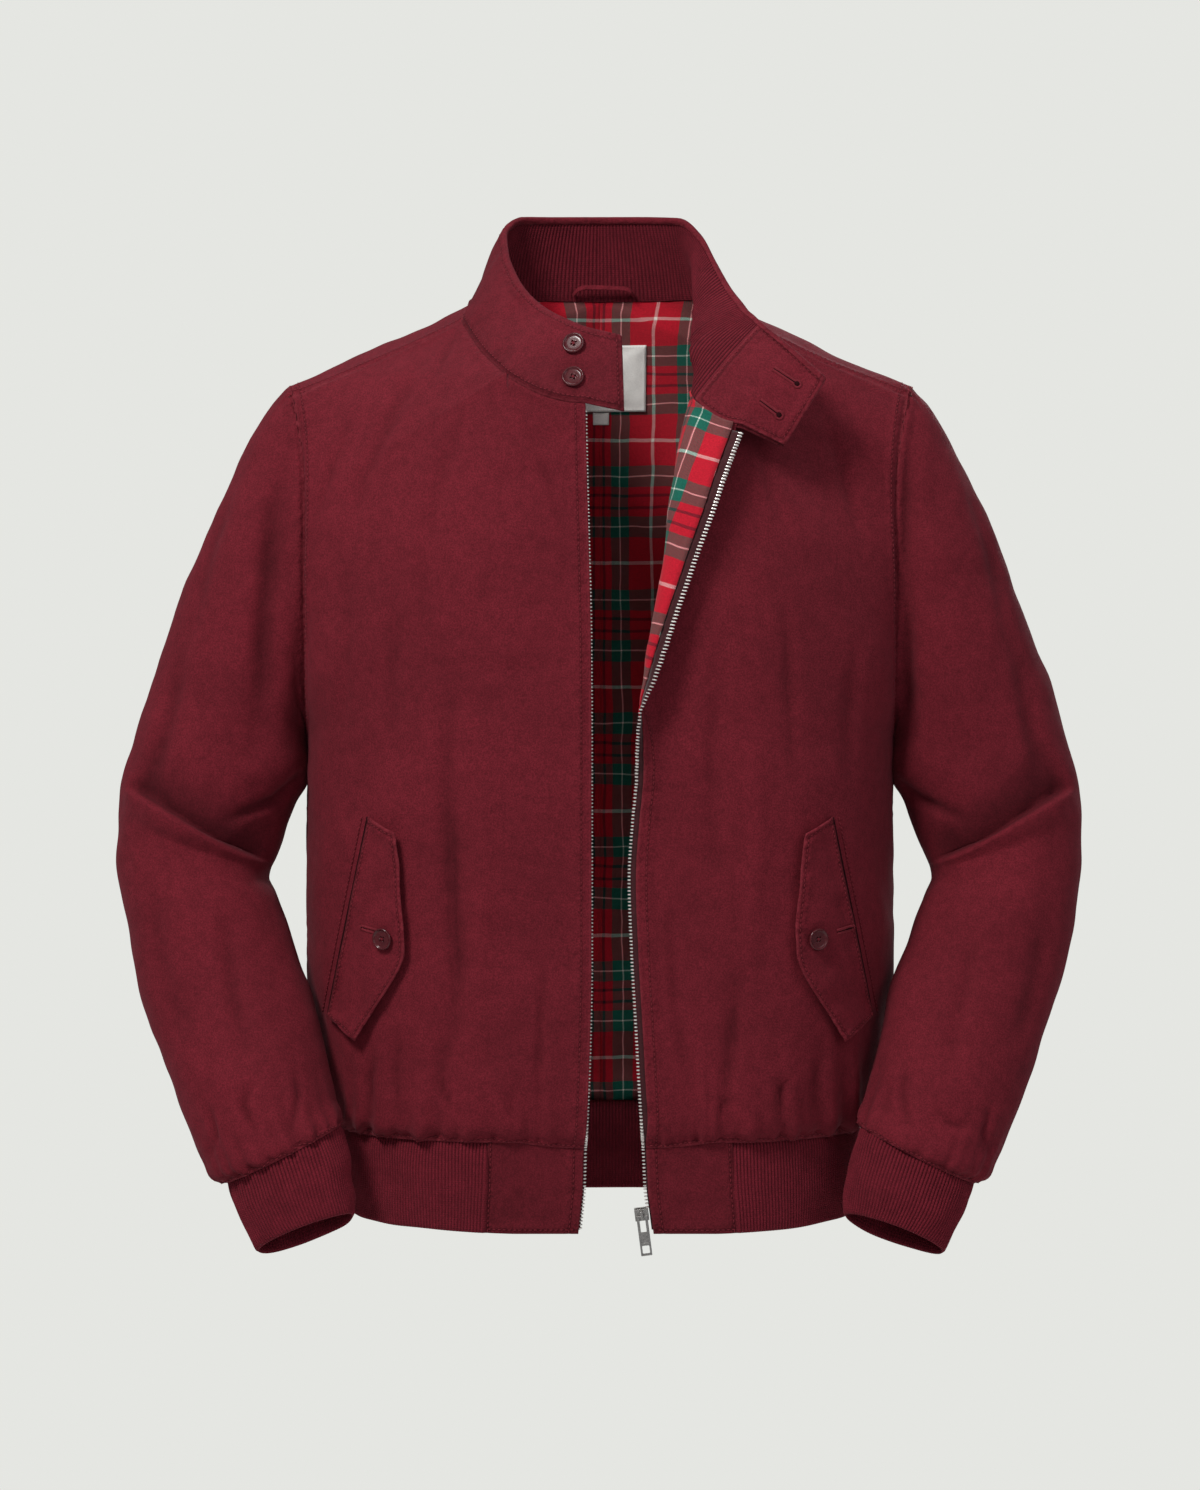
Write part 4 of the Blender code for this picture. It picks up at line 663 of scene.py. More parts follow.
def collar_between(low, high, pitch):
    """(c, seam points) from one signed c to another, about `pitch` apart at the collar's mid height."""
    c, seam = collar_seam()
    fine = np.linspace(low, high, 1200)
    middle = collar_grid(fine, read_at(fine, c, seam), (0.55,))[0]
    length = np.linalg.norm(np.diff(middle, axis=0), axis=1).sum()
    places = even(middle, int(round(length / pitch)))
    at = np.interp(places, np.arange(len(fine)), fine)
    return at, read_at(at, c, seam)


# ---------------------------------------------------------------- grids, shared normals and reliefs


def unit(vectors):
    """Vectors of the same directions and of length 1."""
    return vectors / np.maximum(np.linalg.norm(vectors, axis=-1, keepdims=True), 1e-12)


def keys_of(points):
    """One whole number for each point, the same for points at the same place to 0.02 mm."""
    places = np.round(points * 5e4).astype(np.int64) + 100000
    return (places[..., 0] * 1000003 + places[..., 1]) * 1000003 + places[..., 2]


class Sheet:
    """A grid of points on a piece of cloth, rows by columns, with NaN where the cloth is absent."""

    def __init__(self, grid, loop, outside, zero=0, warp="rows", split=None):
        """`outside` gives the way out at points, `zero` the column from which the pattern is measured, `warp` the one
        up which it is, and `split` the (column, first row) after which two columns part."""
        self.p = grid
        self.loop = loop
        self.here = ~np.isnan(grid[..., 0])
        rows, columns = self.here.shape
        r, c = np.meshgrid(np.arange(rows - 1), np.arange(columns if loop else columns - 1), indexing="ij")
        corners = np.stack([np.stack([r, c], -1), np.stack([r, c + 1], -1), np.stack([r + 1, c + 1], -1),
                            np.stack([r + 1, c], -1)], axis=2).reshape(-1, 4, 2)
        real = self.here[corners[..., 0], corners[..., 1] % columns].all(axis=1)
        if split is not None:
            real &= corners[:, 0, 1] != split[0]
        self.corners = corners[real]
        self.index = self.corners[..., 0] * columns + self.corners[..., 1] % columns
        flat = np.nan_to_num(grid.reshape(-1, 3))
        q = flat[self.index]
        self.face = np.cross(q[:, 2] - q[:, 0], q[:, 3] - q[:, 1])
        middle = q.mean(axis=1)
        self.turned = float((self.face * outside(middle)).sum()) < 0
        if self.turned:
            self.face = -self.face
        self.n = np.zeros_like(flat)
        for k in range(4):
            np.add.at(self.n, self.index[:, k], self.face)
        self.n = unit(self.n).reshape(grid.shape)
        self.measure(zero, warp)
        if split is not None:
            for column in (split[0], split[0] + 1):
                beside = np.abs(self.u - self.u[:, column][:, None])
                self.edge[split[1]:] = np.minimum(self.edge, beside)[split[1]:]

    def measure(self, zero, warp):
        """Metres along the cloth, for its pattern and for how far each point is from the piece's edge."""
        rows, columns = self.here.shape
        across_ = np.nan_to_num(np.linalg.norm(np.diff(self.p, axis=1), axis=2))
        up = np.nan_to_num(np.linalg.norm(np.diff(self.p, axis=0), axis=2))
        u = np.concatenate([np.zeros((rows, 1)), np.cumsum(across_, axis=1)], axis=1)
        v = np.concatenate([np.zeros((1, columns)), np.cumsum(up, axis=0)], axis=0)
        self.u, self.v = u, v
        low, high = (np.where(self.here, v, np.inf).min(axis=0), np.where(self.here, v, -np.inf).max(axis=0))
        self.edge = np.minimum(v - low, high - v)
        if not self.loop:
            first = np.where(self.here, u, np.inf).min(axis=1)[:, None]
            last = np.where(self.here, u, -np.inf).max(axis=1)[:, None]
            self.edge = np.minimum(self.edge, np.minimum(u - first, last - u))
        self.edge = np.where(self.here, np.maximum(self.edge, 0), 0.0)
        self.low, self.high = v - low, high - v
        if not self.loop:
            self.first, self.last = u - first, last - u
        middle = columns // 2 if warp == "rows" else warp
        pattern_v = np.broadcast_to(v[:, middle][:, None], self.here.shape)
        pattern_u = u - u[:, zero][:, None]
        if self.loop:
            closing = np.linalg.norm(self.p[:, 0] - self.p[:, -1], axis=1)
            pattern_u = np.concatenate([pattern_u, (pattern_u[:, -1] + closing)[:, None]], axis=1)
            pattern_v = np.concatenate([pattern_v, pattern_v[:, :1]], axis=1)
        self.uv = np.stack([pattern_u, pattern_v], axis=-1)


def share_normals(sheets):
    """Gives the points of several sheets that are at the same place one normal, so that their seams close."""
    keys = np.concatenate([keys_of(np.nan_to_num(s.p)).reshape(-1) for s in sheets])
    normals = np.concatenate([s.n.reshape(-1, 3) for s in sheets])
    found, where = np.unique(keys, return_inverse=True)
    total = np.zeros((len(found), 3))
    np.add.at(total, where.reshape(-1), normals)
    shared = unit(total)[where.reshape(-1)]
    at = 0
    for s in sheets:
        count = s.here.size
        s.n = shared[at: at + count].reshape(s.p.shape)
        at += count


def smooth(x, low, high):
    """0 below `low`, 1 above `high`, and a soft rise between them."""
    t = np.clip((x - low) / (high - low), 0, 1)
    return t * t * (3 - 2 * t)


def bell(x, middle, wide):
    """1 at the middle, dying out to both sides."""
    return np.exp(-(((x - middle) / wide) ** 2))


def along_line(points, line):
    """(signed distance, share of its length) of points in x and z from a line given in millimetres."""
    line = np.array(line, float) * 0.001
    lengths = np.linalg.norm(np.diff(line, axis=0), axis=1)
    whole = lengths.sum()
    best = np.full(points.shape[:-1], np.inf)
    signed, share = best.copy(), np.zeros_like(best)
    gone = 0.0
    for a, b, length in zip(line, line[1:], lengths):
        ab = (b - a) / length
        t = np.clip((points - a) @ ab, 0, length)
        off = points - a - t[..., None] * ab
        d = np.linalg.norm(off, axis=-1)
        sign = np.sign(off[..., 1] * ab[0] - off[..., 0] * ab[1])
        near = d < best
        best = np.where(near, d, best)
        signed = np.where(near, d * np.where(sign == 0, 1, sign), signed)
        share = np.where(near, (gone + t) / whole, share)
        gone += length
    return signed, share


FOLD_GAIN = 1.50


def folds_at(points, folds):
    """Relief in metres of a table of folds (width mm, depth mm, line); a fold below 0 is a trough with soft lips."""
    total = np.zeros(points.shape[:-1])
    for width, depth, line in folds:
        d, share = along_line(points, line)
        reach = np.abs(d) / (width * 0.00055)
        shape = (1 - 0.55 * reach**2) * np.exp(-(reach**2) * 0.9)
        total += depth * 0.001 * FOLD_GAIN * shape * np.sin(np.pi * np.clip(share, 0.03, 0.97)) ** 0.7
    return total


FULL_TURN = 6.283


def waves(points, seed, lengths, height, count=14):
    """Soft uneven relief from seeded waves between two lengths, in every direction of 3-D space."""
    rng = np.random.default_rng(seed)
    total = np.zeros(points.shape[:-1])
    for _ in range(count):
        way = unit(rng.normal(size=3))
        length = math.exp(rng.uniform(math.log(lengths[0]), math.log(lengths[1])))
        total += np.sin(points @ way * (2 * math.pi / length) + rng.uniform(0, FULL_TURN))
    return total * height / math.sqrt(count / 2)


def ripples(u, seed, lengths, count=16):
    """Uneven gathers along a seam, about 1 high."""
    rng = np.random.default_rng(seed)
    total = np.zeros(np.shape(u))
    for _ in range(count):
        length = math.exp(rng.uniform(math.log(lengths[0]), math.log(lengths[1])))
        total += np.sin(u * (2 * math.pi / length) + rng.uniform(0, FULL_TURN))
    return total / math.sqrt(count / 2)


def seam_dip(edge, depth=0.0017, wide=0.0019):
    """The valley along a seam and the soft welt beside it."""
    return -depth * bell(edge, 0.0, wide) + 0.0004 * bell(edge, 0.0052, 0.0026)


def nearest(*distances):
    """Of several signed distances from rows of stitches, the smallest at each point."""
    best = distances[0]
    for other in distances[1:]:
        best = np.where(np.abs(other) < np.abs(best), other, best)
    return best


# The distance from a row of stitches given to cloth that has none.
NOT_SEWN = 0.05


# ---------------------------------------------------------------- meshes


def link(name, mesh, shader, body=BODY):
    """Puts a mesh in the scene in its material, on its body."""
    mesh.materials.append(shader)
    made = bpy.data.objects.new(name, mesh)
    bpy.context.scene.collection.objects.link(made)
    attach(made, body)
    return made


def mesh_from(name, points, faces, smooth_faces=None, uvs=None, attributes=()):
    """A mesh of quads or triangles from arrays; a face index of -1 as the last corner makes a triangle."""
    faces = np.asarray(faces, np.int32)
    mesh = bpy.data.meshes.new(name)
    mesh.vertices.add(len(points))
    mesh.vertices.foreach_set("co", np.asarray(points, np.float32).reshape(-1))
    real = faces >= 0
    sizes = real.sum(axis=1)
    mesh.loops.add(int(sizes.sum()))
    mesh.loops.foreach_set("vertex_index", faces[real].astype(np.int32))
    mesh.polygons.add(len(faces))
    starts = np.concatenate([[0], np.cumsum(sizes)[:-1]]).astype(np.int32)
    mesh.polygons.foreach_set("loop_start", starts)
    mesh.update(calc_edges=True)
    flags = np.ones(len(faces), bool) if smooth_faces is None else smooth_faces
    mesh.polygons.foreach_set("use_smooth", flags)
    if uvs is not None:
        layer = mesh.uv_layers.new(name="cloth")
        layer.data.foreach_set("uv", np.asarray(uvs, np.float32)[real].reshape(-1))
    for title, values in attributes:
        layer = mesh.attributes.new(title, "FLOAT", "POINT")
        layer.data.foreach_set("value", np.asarray(values, np.float32))
    mesh.validate()
    return mesh


def facets(sheet):
    """(indices of the corners, uv) of a sheet's quads, turned to face out."""
    turn = slice(None, None, -1 if sheet.turned else 1)
    corners = sheet.corners[:, turn]
    return sheet.index[:, turn], sheet.uv[corners[..., 0], corners[..., 1]]


def wall(name, sheet, relief, top, thickness, shader, rounded=0.0, inner=None, sewn=NOT_SEWN, shade=None):
    """A closed wall on a sheet, from `top` to top + thickness in from its outer face once `relief` has moved it. Where
    `inner`, the distance from an edge, is less than `rounded`, both faces curl towards each other."""
    base = np.nan_to_num(sheet.p)
    curl = np.zeros(sheet.here.shape)
    if rounded > 0:
        away = np.clip(1 - np.broadcast_to(sheet.edge if inner is None else inner, sheet.here.shape) / rounded, 0, 1)
        curl = (thickness / 2 - 0.0001) * (1 - np.sqrt(np.maximum(1 - away**2, 0)))
    outer = base + sheet.n * (relief - top - curl)[..., None]
    under = base + sheet.n * (relief - top - thickness + curl)[..., None]
    return wall_between(name, sheet, outer, under, shader, relief * 1000 if shade is None else shade, sewn, rounded > 0)


def wall_inside(name, sheet, relief, top, thickness, shader, shade=0.0, sewn=NOT_SEWN):
    """A closed wall inside a sheet, whose relief shows only on its inner face."""
    under = sheet.p + sheet.n * (relief - top - thickness)[..., None]
    return wall_between(name, sheet, sheet.p - sheet.n * top, under, shader, shade, sewn, False)


def wall_between(name, sheet, outer, under, shader, shade, sewn, soft_rim):
    """A closed wall between two faces laid out as a sheet."""
    points = np.concatenate([outer.reshape(-1, 3), under.reshape(-1, 3)])
    count = sheet.here.size
    quads, uv = facets(sheet)
    a, b = quads.reshape(-1), np.roll(quads, -1, axis=1).reshape(-1)
    lone = ~np.isin(a.astype(np.int64) * (2 * count) + b, b.astype(np.int64) * (2 * count) + a)
    uv_a, uv_b = uv.reshape(-1, 2)[lone], np.roll(uv, -1, axis=1).reshape(-1, 2)[lone]
    rim = np.stack([b[lone], a[lone], a[lone] + count, b[lone] + count], axis=1)
    faces = np.concatenate([quads, quads[:, ::-1] + count, rim])
    uvs = np.concatenate([uv, uv[:, ::-1], np.stack([uv_b, uv_a, uv_a, uv_b], axis=1)])
    used = np.zeros(2 * count, bool)
    used[faces.reshape(-1)] = True
    number = np.cumsum(used) - 1
    flags = np.concatenate([np.ones(2 * len(quads), bool), np.full(len(rim), soft_rim)])
    # The "relief" attribute carries the shade numbers that the twill and knit looks turn into painted shade. By default
    # it is the relief in millimetres, so that hollows are painted darker.
    given = [(title, np.tile(np.broadcast_to(values, sheet.here.shape).reshape(-1), 2)[used])
             for title, values in (("edge", sheet.edge), ("relief", shade), ("sewn", sewn))]
    return link(name, mesh_from(name, points[used], number[faces], flags, uvs, given), shader)


# ---------------------------------------------------------------- folds and gathers of the cloth

# Folds of the outer cloth, seen from the front: width and height in mm, below 0 for a trough, and its line in x and z.
FRONT_RIGHT_FOLDS = (
    (7, -1.4, ((-106, -17), (-114, -35), (-123, -60))),
    (11, -2.0, ((-125, -28), (-146, -71), (-170, -121), (-182, -171))),
    (7, -1.6, ((-182, -85), (-196, -117), (-206, -156))),
    (14, -2.0, ((-93, -71), (-114, -121), (-125, -185), (-129, -242))),
    (6, -1.5, ((-71, -60), (-54, -92), (-37, -128), (-24, -167))),
    (16, -1.8, ((-146, -185), (-151, -271), (-146, -349))),
    (10, -1.3, ((-186, -185), (-182, -242), (-186, -299))),
    (14, -3.4, ((-106, -271), (-110, -342), (-106, -413), (-102, -478), (-108, -528), (-121, -579))),
    (15, 1.6, ((-84, -328), (-83, -428), (-87, -506))),
    (7, -1.6, ((-39, -471), (-43, -542), (-42, -593))),
    (8, -2.0, ((-143, -521), (-150, -556), (-145, -586))),
    (5, -2.6, ((-119, -555), (-109, -568), (-111, -583))),
    (5, -2.2, ((-163, -548), (-170, -560), (-167, -576))),
    (8, 1.6, ((-71, -542), (-74, -571), (-71, -591))),
    (6, -1.6, ((-61, -560), (-63, -578), (-61, -592))),
)
FRONT_LEFT_FOLDS = (
    (9, -2.0, ((133, -213), (136, -285), (139, -338))),
    (9, -1.4, ((113, -92), (123, -135), (139, -171))),
    (9, -1.5, ((51, -428), (54, -499), (64, -563))),
    (10, -2.2, ((101, -471), (93, -542), (87, -586))),
    (5, -2.6, ((137, -553), (129, -566), (131, -581))),
    (5, -2.2, ((96, -567), (87, -576), (91, -592))),
    (12, -1.5, ((186, -242), (179, -299), (180, -349))),
    (10, -1.6, ((161, -71), (177, -121), (191, -174))),
    (14, -1.8, ((86, -242), (80, -328), (83, -413))),
    (8, -1.6, ((161, -535), (156, -560), (159, -583))),
    (14, 1.5, ((109, -285), (113, -385), (107, -485))),
    (8, 1.6, ((71, -535), (74, -567), (71, -591))),
)
SLEEVE_RIGHT_FOLDS = (
    (20, -4.0, ((-228, -104), (-238, -155), (-242, -214), (-245, -272), (-250, -319))),
    (13, 1.2, ((-222, -184), (-225, -250), (-229, -309))),
    (15, -2.4, ((-305, -243), (-316, -298), (-329, -341))),
    (9, -4.0, ((-215, -334), (-237, -360), (-267, -373))),
    (18, -2.0, ((-329, -418), (-318, -477), (-301, -535))),
    (14, -2.0, ((-273, -436), (-264, -498), (-247, -557))),
    (6, -2.6, ((-247, -557), (-256, -575), (-247, -593))),
    (6, -2.2, ((-281, -575), (-276, -597), (-282, -615))),
    (6, -2.2, ((-219, -550), (-215, -568), (-219, -588))),
    (12, -1.8, ((-267, -119), (-289, -184), (-299, -243))),
)
SLEEVE_LEFT_FOLDS = (
    (19, -4.0, ((229, -89), (221, -141), (218, -206), (221, -272), (228, -330))),
    (13, 1.2, ((212, -214), (214, -272), (219, -319))),
    (15, -2.4, ((303, -243), (314, -298), (325, -341))),
    (9, -3.4, ((214, -338), (234, -360), (264, -374))),
    (18, -2.0, ((330, -418), (318, -484), (299, -542))),
    (14, -2.0, ((272, -436), (263, -498), (248, -553))),
    (6, -2.6, ((238, -575), (252, -588), (267, -589))),
    (6, -2.2, ((281, -575), (276, -595), (282, -615))),
    (6, -2.2, ((219, -550), (215, -568), (221, -588))),
    (12, -1.8, ((269, -119), (289, -184), (299, -243))),
)
# The same for the hidden sides: drag lines from the armpits, a hollow along the spine and slack above the hem.
BACK_FOLDS = (
    (14, -2.6, ((-150, -300), (-128, -380), (-112, -470), (-108, -545))),
    (13, -2.4, ((146, -310), (126, -395), (114, -480), (120, -555))),
    (20, -1.8, ((-6, -120), (4, -240), (-4, -380), (2, -500))),
    (10, -1.8, ((-176, -150), (-150, -210), (-138, -280))),
    (10, -1.7, ((178, -160), (154, -215), (140, -290))),
    (12, 1.6, ((-70, -360), (-64, -450), (-68, -530))),
    (12, 1.5, ((62, -340), (68, -440), (60, -540))),
    (9, -2.2, ((-170, -540), (-120, -556), (-60, -552))),
    (9, -2.0, ((20, -556), (80, -550), (150, -558))),
    (7, -2.0, ((-40, -545), (-46, -570), (-42, -592))),
    (7, -2.0, ((88, -548), (92, -572), (87, -592))),
    (6, -1.8, ((-140, -560), (-134, -578), (-138, -594))),
)
SLEEVE_BACK_FOLDS = (
    (12, -2.6, ((246, -120), (262, -190), (266, -260), (262, -330))),
    (10, -2.0, ((300, -250), (318, -310), (326, -350))),
    (9, -2.8, ((238, -392), (280, -388), (330, -372))),
    (8, -2.2, ((240, -414), (286, -412), (340, -398))),
    (14, -2.0, ((318, -440), (300, -500), (280, -560))),
    (8, -2.0, ((226, -520), (236, -560), (246, -590))),
    (6, -1.8, ((262, -570), (258, -592), (264, -608))),
)
# The sharp fold at the elbow, in x and z, outside to inside.
ELBOW = ((349, -349), (328, -359), (299, -375), (269, -393), (237, -409))


def flipped(folds):
    """The folds of the other side."""
    return tuple((width, depth, tuple((-x, z) for x, z in line)) for width, depth, line in folds)


def facing(sheet, sign):
    """1 where the cloth looks forwards (sign -1) or back (sign 1), 0 where it looks the other way."""
    return smooth(sheet.n[..., 1] * sign, 0.10, 0.55)


def calmed(sheet, relief):
    """The relief, much less of it at the sheet's edges."""
    return relief * (0.12 + 0.88 * smooth(sheet.edge, 0.0, 0.010))


def cloth_relief(sheet, folds, seed, sign):
    """A panel's folds and the soft unevenness of its cloth, both calm at its edges."""
    p = np.nan_to_num(sheet.p)
    relief = folds_at(p[..., [0, 2]], folds) * facing(sheet, sign)
    relief += waves(p, seed, (0.055, 0.130), 0.00055) + waves(p, seed + 1, (0.020, 0.042), 0.00020)
    return calmed(sheet, relief)


def gathers(u, away, seed, height, reach=0.016, lengths=(0.007, 0.019)):
    """Slack pulled into a seam: uneven ripples that die out away from it."""
    return ripples(u, seed, lengths) * height * np.exp(-away / reach) * (1 - np.exp(-away / 0.0025))


# Between these distances from the middle the gathers above the hem grow, and below them the zip holds the cloth flat.
BESIDE_ZIP = (0.02, 0.07)


def panel_relief(sheet, folds, seed, sign, seam):
    """The whole relief of a front or the back; `seam` is the distance from its nearest seam."""
    u = np.nan_to_num(sheet.u)
    relief = cloth_relief(sheet, folds, seed, sign)
    p = np.nan_to_num(sheet.p)
    quiet = 0.25 + 0.75 * smooth(np.abs(p[..., 0]), *BESIDE_ZIP) if sign < 0 else 1.0
    relief += gathers(u, sheet.low, seed + 2, 0.0016) * quiet
    relief += gathers(u, sheet.low, seed + 3, 0.0019, 0.036, (0.018, 0.042)) * quiet
    relief += blouse(sheet.low)
    pucker = np.exp(-np.minimum(sheet.first, sheet.last) / 0.006) * smooth(sheet.low, 0.0, 0.02)
    relief += 0.00028 * ripples(np.nan_to_num(sheet.v), seed + 5, (0.007, 0.016)) * pucker
    return relief + seam_dip(seam) * off_shoulder(p)


def blouse(away):
    """Above a ribbed knit: the stitched welt of the seam, then slack that hangs over it."""
    welt = 0.0009 * (1 - smooth(away, 0.0030, 0.0046)) - 0.0007 * bell(away, 0.0040, 0.0010)
    return welt + 0.0016 * bell(away, 0.0110, 0.0065)


# How far the cloth above the elbow fold sinks, and how far the forearm's rises.
ELBOW_SUNK = 0.0108
ELBOW_LAP = 0.0026


def elbow_step(sheet, mirror):
    """The cloth above the elbow fold sinks in towards it, and the forearm's cloth laps over it."""
    p = np.nan_to_num(sheet.p)
    d, share = along_line(p[..., [0, 2]] * np.array([mirror, 1.0]), ELBOW)
    d = -d
    ends = smooth(share, 0.0, 0.10) * smooth(-share, -1.0, -0.80)
    sunk = smooth(d, -0.0030, 0.0004)
    above = -ELBOW_SUNK * np.exp(-np.maximum(d, 0) / 0.019) * sunk
    below = ELBOW_LAP * np.exp(-np.maximum(-d, 0) / 0.020) * (1 - sunk) * smooth(-d, -0.001, 0.004)
    return (above + below) * ends * facing(sheet, -1)


SHOULDER_Z = -0.054


def off_shoulder(p):
    """Less of a seam's dip at the point of the shoulder, where it would notch the outline."""
    return 1 - 0.85 * bell(p[..., 2], SHOULDER_Z, 0.010) * (np.abs(p[..., 0]) > 0.15)


# A sleeve's mean radius, and its bulges as (z, height, width): those inside the elbow and the forearm, and the head's.
SLEEVE_RADIUS = 0.045
INNER_SLACK = ((-0.334, 0.0068, 0.020), (-0.500, 0.0034, 0.024))
SLEEVE_HEAD = (-0.080, 0.0024, 0.024)


def sleeve_relief(sheet, folds, seed, mirror):
    """The whole relief of a sleeve, with the slack on the inside of its elbow and the ease of its head."""
    p = np.nan_to_num(sheet.p)
    relief = folds_at(p[..., [0, 2]], folds) * facing(sheet, -1) + elbow_step(sheet, mirror)
    behind = SLEEVE_BACK_FOLDS if mirror > 0 else flipped(SLEEVE_BACK_FOLDS)
    relief += folds_at(p[..., [0, 2]], behind) * facing(sheet, 1)
    relief += waves(p, seed, (0.050, 0.110), 0.00060) + waves(p, seed + 1, (0.018, 0.040), 0.00022)
    relief = calmed(sheet, relief)
    off = p - p.mean(axis=1, keepdims=True)
    around = np.arctan2(off[..., 1], off[..., 0]) * SLEEVE_RADIUS
    relief += gathers(around, sheet.high, seed + 2, 0.0017, 0.022, (0.0110, 0.0260)) + blouse(sheet.high)
    relief += gathers(around, sheet.low, seed + 4, 0.0006, 0.012, (0.0100, 0.0240))
    inward = smooth(-mirror * sheet.n[..., 0], 0.1, 0.8)
    slack = (height * bell(p[..., 2], z, wide) for z, height, wide in INNER_SLACK)
    relief += sum(slack) * inward
    outward = smooth(mirror * sheet.n[..., 0], 0.1, 0.8) * smooth(sheet.low, 0.002, 0.020)
    relief += SLEEVE_HEAD[1] * bell(p[..., 2], SLEEVE_HEAD[0], SLEEVE_HEAD[2]) * outward
    return relief + seam_dip(sheet.low) * off_shoulder(p)


# Height of the knit's ridges.
RIDGE = 0.00095


def rib_profile(columns):
    """The knit's ridges, one to every RIB_COLUMNS columns."""
    return np.abs(np.sin(np.pi * (np.arange(columns) % RIB_COLUMNS) / RIB_COLUMNS)) ** 0.8


def constant(direction):
    """A way out that is the same everywhere."""
    return lambda points: np.broadcast_to(np.array(direction, float), points.shape)


def tube_middle(grid):
    """Away from the mean line of a tube's rings, read by height."""
    middles = np.nanmean(grid, axis=1)
    order = np.argsort(middles[:, 2])
    z = middles[order, 2]

    def away(points):
        return np.stack([points[:, k] - np.interp(points[:, 2], z, middles[order, k]) for k in range(2)]
                        + [np.zeros(len(points))], axis=-1)
    return away


def body_middle(points):
    """Away from the body's upright axis."""
    return points * np.array([1.0, 1.0, 0.0])


def neck_middle(points):
    """Away from the neck's upright axis."""
    return (points - np.array([0.0, -0.02, 0.0])) * np.array([1.0, 1.0, 0.0])


def back_grid_whole():
    """The back from its right side to its left, with two middle columns that part above the neck seam."""
    left = back_grid()
    return np.concatenate([mirrored(left)[:, ::-1], left], axis=1)


def build_sheets():
    """The main outer sheets of the jacket by name, with shared normals along their seams."""
    made = {}
    lead = len(STRIP_SHARES)
    for side_, left in (("right", False), ("left", True)):
        made[f"front_{side_}"] = Sheet(front_grid(left), False, constant((0, -1, 0)), lead, lead)
        sleeve = sleeve_grid() if left else mirrored(sleeve_grid())
        made[f"sleeve_{side_}"] = Sheet(sleeve, True, tube_middle(sleeve))
        cuff = cuff_grid() if left else mirrored(cuff_grid())
        made[f"cuff_{side_}"] = Sheet(cuff, True, tube_middle(cuff))
        made[f"hem_band_{side_}"] = Sheet(band_grid(left), False, constant((0, -1, 0)))
    whole = back_grid_whole()
    half = whole.shape[1] // 2
    split = half - 1, len(LOW) + BACK_UP.index(BACK_NECK_V)
    made["back"] = Sheet(whole, False, constant((0, 1, 0)), half, half, split)
    made["hem_rib"] = Sheet(hem_grid(), False, body_middle)
    share_normals([made[n] for n in ("front_right", "front_left", "back", "sleeve_right", "sleeve_left")])
    return made


# ---------------------------------------------------------------- the pieces


def line_of(points, normals):
    """(points, normals) of a line on the cloth, as arrays."""
    return np.array(points), unit(np.array(normals))


def line_in(sheet, outer, lines, distance, from_start, along):
    """The points at a distance in from the first or last column of each row, or along, so from the first or last row of
    each column."""
    points, normals = [], []
    for k in lines:
        line = (slice(None), k) if along else k
        here = sheet.here[line]
        gone = (sheet.v if along else sheet.u)[line][here]
        at = gone[0] + distance if from_start else gone[-1] - distance
        points.append(read_at(at, gone, outer[line][here]))
        normals.append(read_at(at, gone, sheet.n[line][here]))
    return line_of(points, normals)


# A stitch's rings as (share of its length from its middle, share of its radius), and the sides of each.
STITCH_RINGS = ((-0.36, 0.80), (0.0, 1.0), (0.36, 0.80))
STITCH_SIDES = 5


class Thread:
    """Collects stitches, each a short plump capsule half sunk in the cloth."""

    def __init__(self, seed):
        self.points, self.faces, self.count = [], [], 0
        self.rng = np.random.default_rng(seed)

    def stitch(self, middle, along, out, length, radius):
        """Adds one stitch."""
        side_ = np.cross(along, out)
        ring = []
        for share, size in STITCH_RINGS:
            for k in range(STITCH_SIDES):
                angle = 2 * math.pi * k / STITCH_SIDES + math.pi / 2
                off = side_ * math.cos(angle) + out * math.sin(angle)
                lift = out * radius * (0.35 if share == 0 else 0.05)
                ring.append(middle + along * length * share + off * radius * size + lift)
        ring += [middle - along * length * 0.5 - out * radius * 0.6, middle + along * length * 0.5 - out * radius * 0.6]
        base, n = self.count, STITCH_SIDES
        for j in range(2):
            for k in range(n):
                a, b = base + j * n + k, base + j * n + (k + 1) % n
                self.faces.append((a, b, b + n, a + n))
        for k in range(n):
            self.faces.append((base + (k + 1) % n, base + k, base + 3 * n, -1))
            self.faces.append((base + 2 * n + k, base + 2 * n + (k + 1) % n, base + 3 * n + 1, -1))
        self.points += ring
        self.count += len(ring)

    def run(self, line, pitch=0.0036, length=0.0026, radius=0.00040, lift=0.00006):
        """A row of lockstitch along a line."""
        places, normals = line
        gone = lengths_to(places)
        count = max(int(gone[-1] / pitch), 1)
        at = (np.arange(count) + 0.5) * gone[-1] / count
        ways = unit(read_at(at + pitch / 3, gone, places) - read_at(at - pitch / 3, gone, places))
        for point, normal, way in zip(read_at(at, gone, places), unit(read_at(at, gone, normals)), ways):
            way = unit(way + np.cross(normal, way) * self.rng.normal(0, 0.035))
            self.stitch(point + normal * lift, way, normal, length * self.rng.uniform(0.92, 1.04), radius)

    def across(self, sheet, outer, rows, distance, from_start, *how):
        """A row of lockstitch across some rows of a sheet, beside its first or last column."""
        self.run(line_in(sheet, outer, rows, distance, from_start, False), *how)

    def along(self, sheet, outer, columns, distance, from_low, *how):
        """A row of lockstitch along some columns of a sheet, beside its first or last row."""
        self.run(line_in(sheet, outer, columns, distance, from_low, True), *how)

    def build(self, name, shader):
        """Makes the collected stitches one mesh."""
        link(name, mesh_from(name, self.points, self.faces), shader)


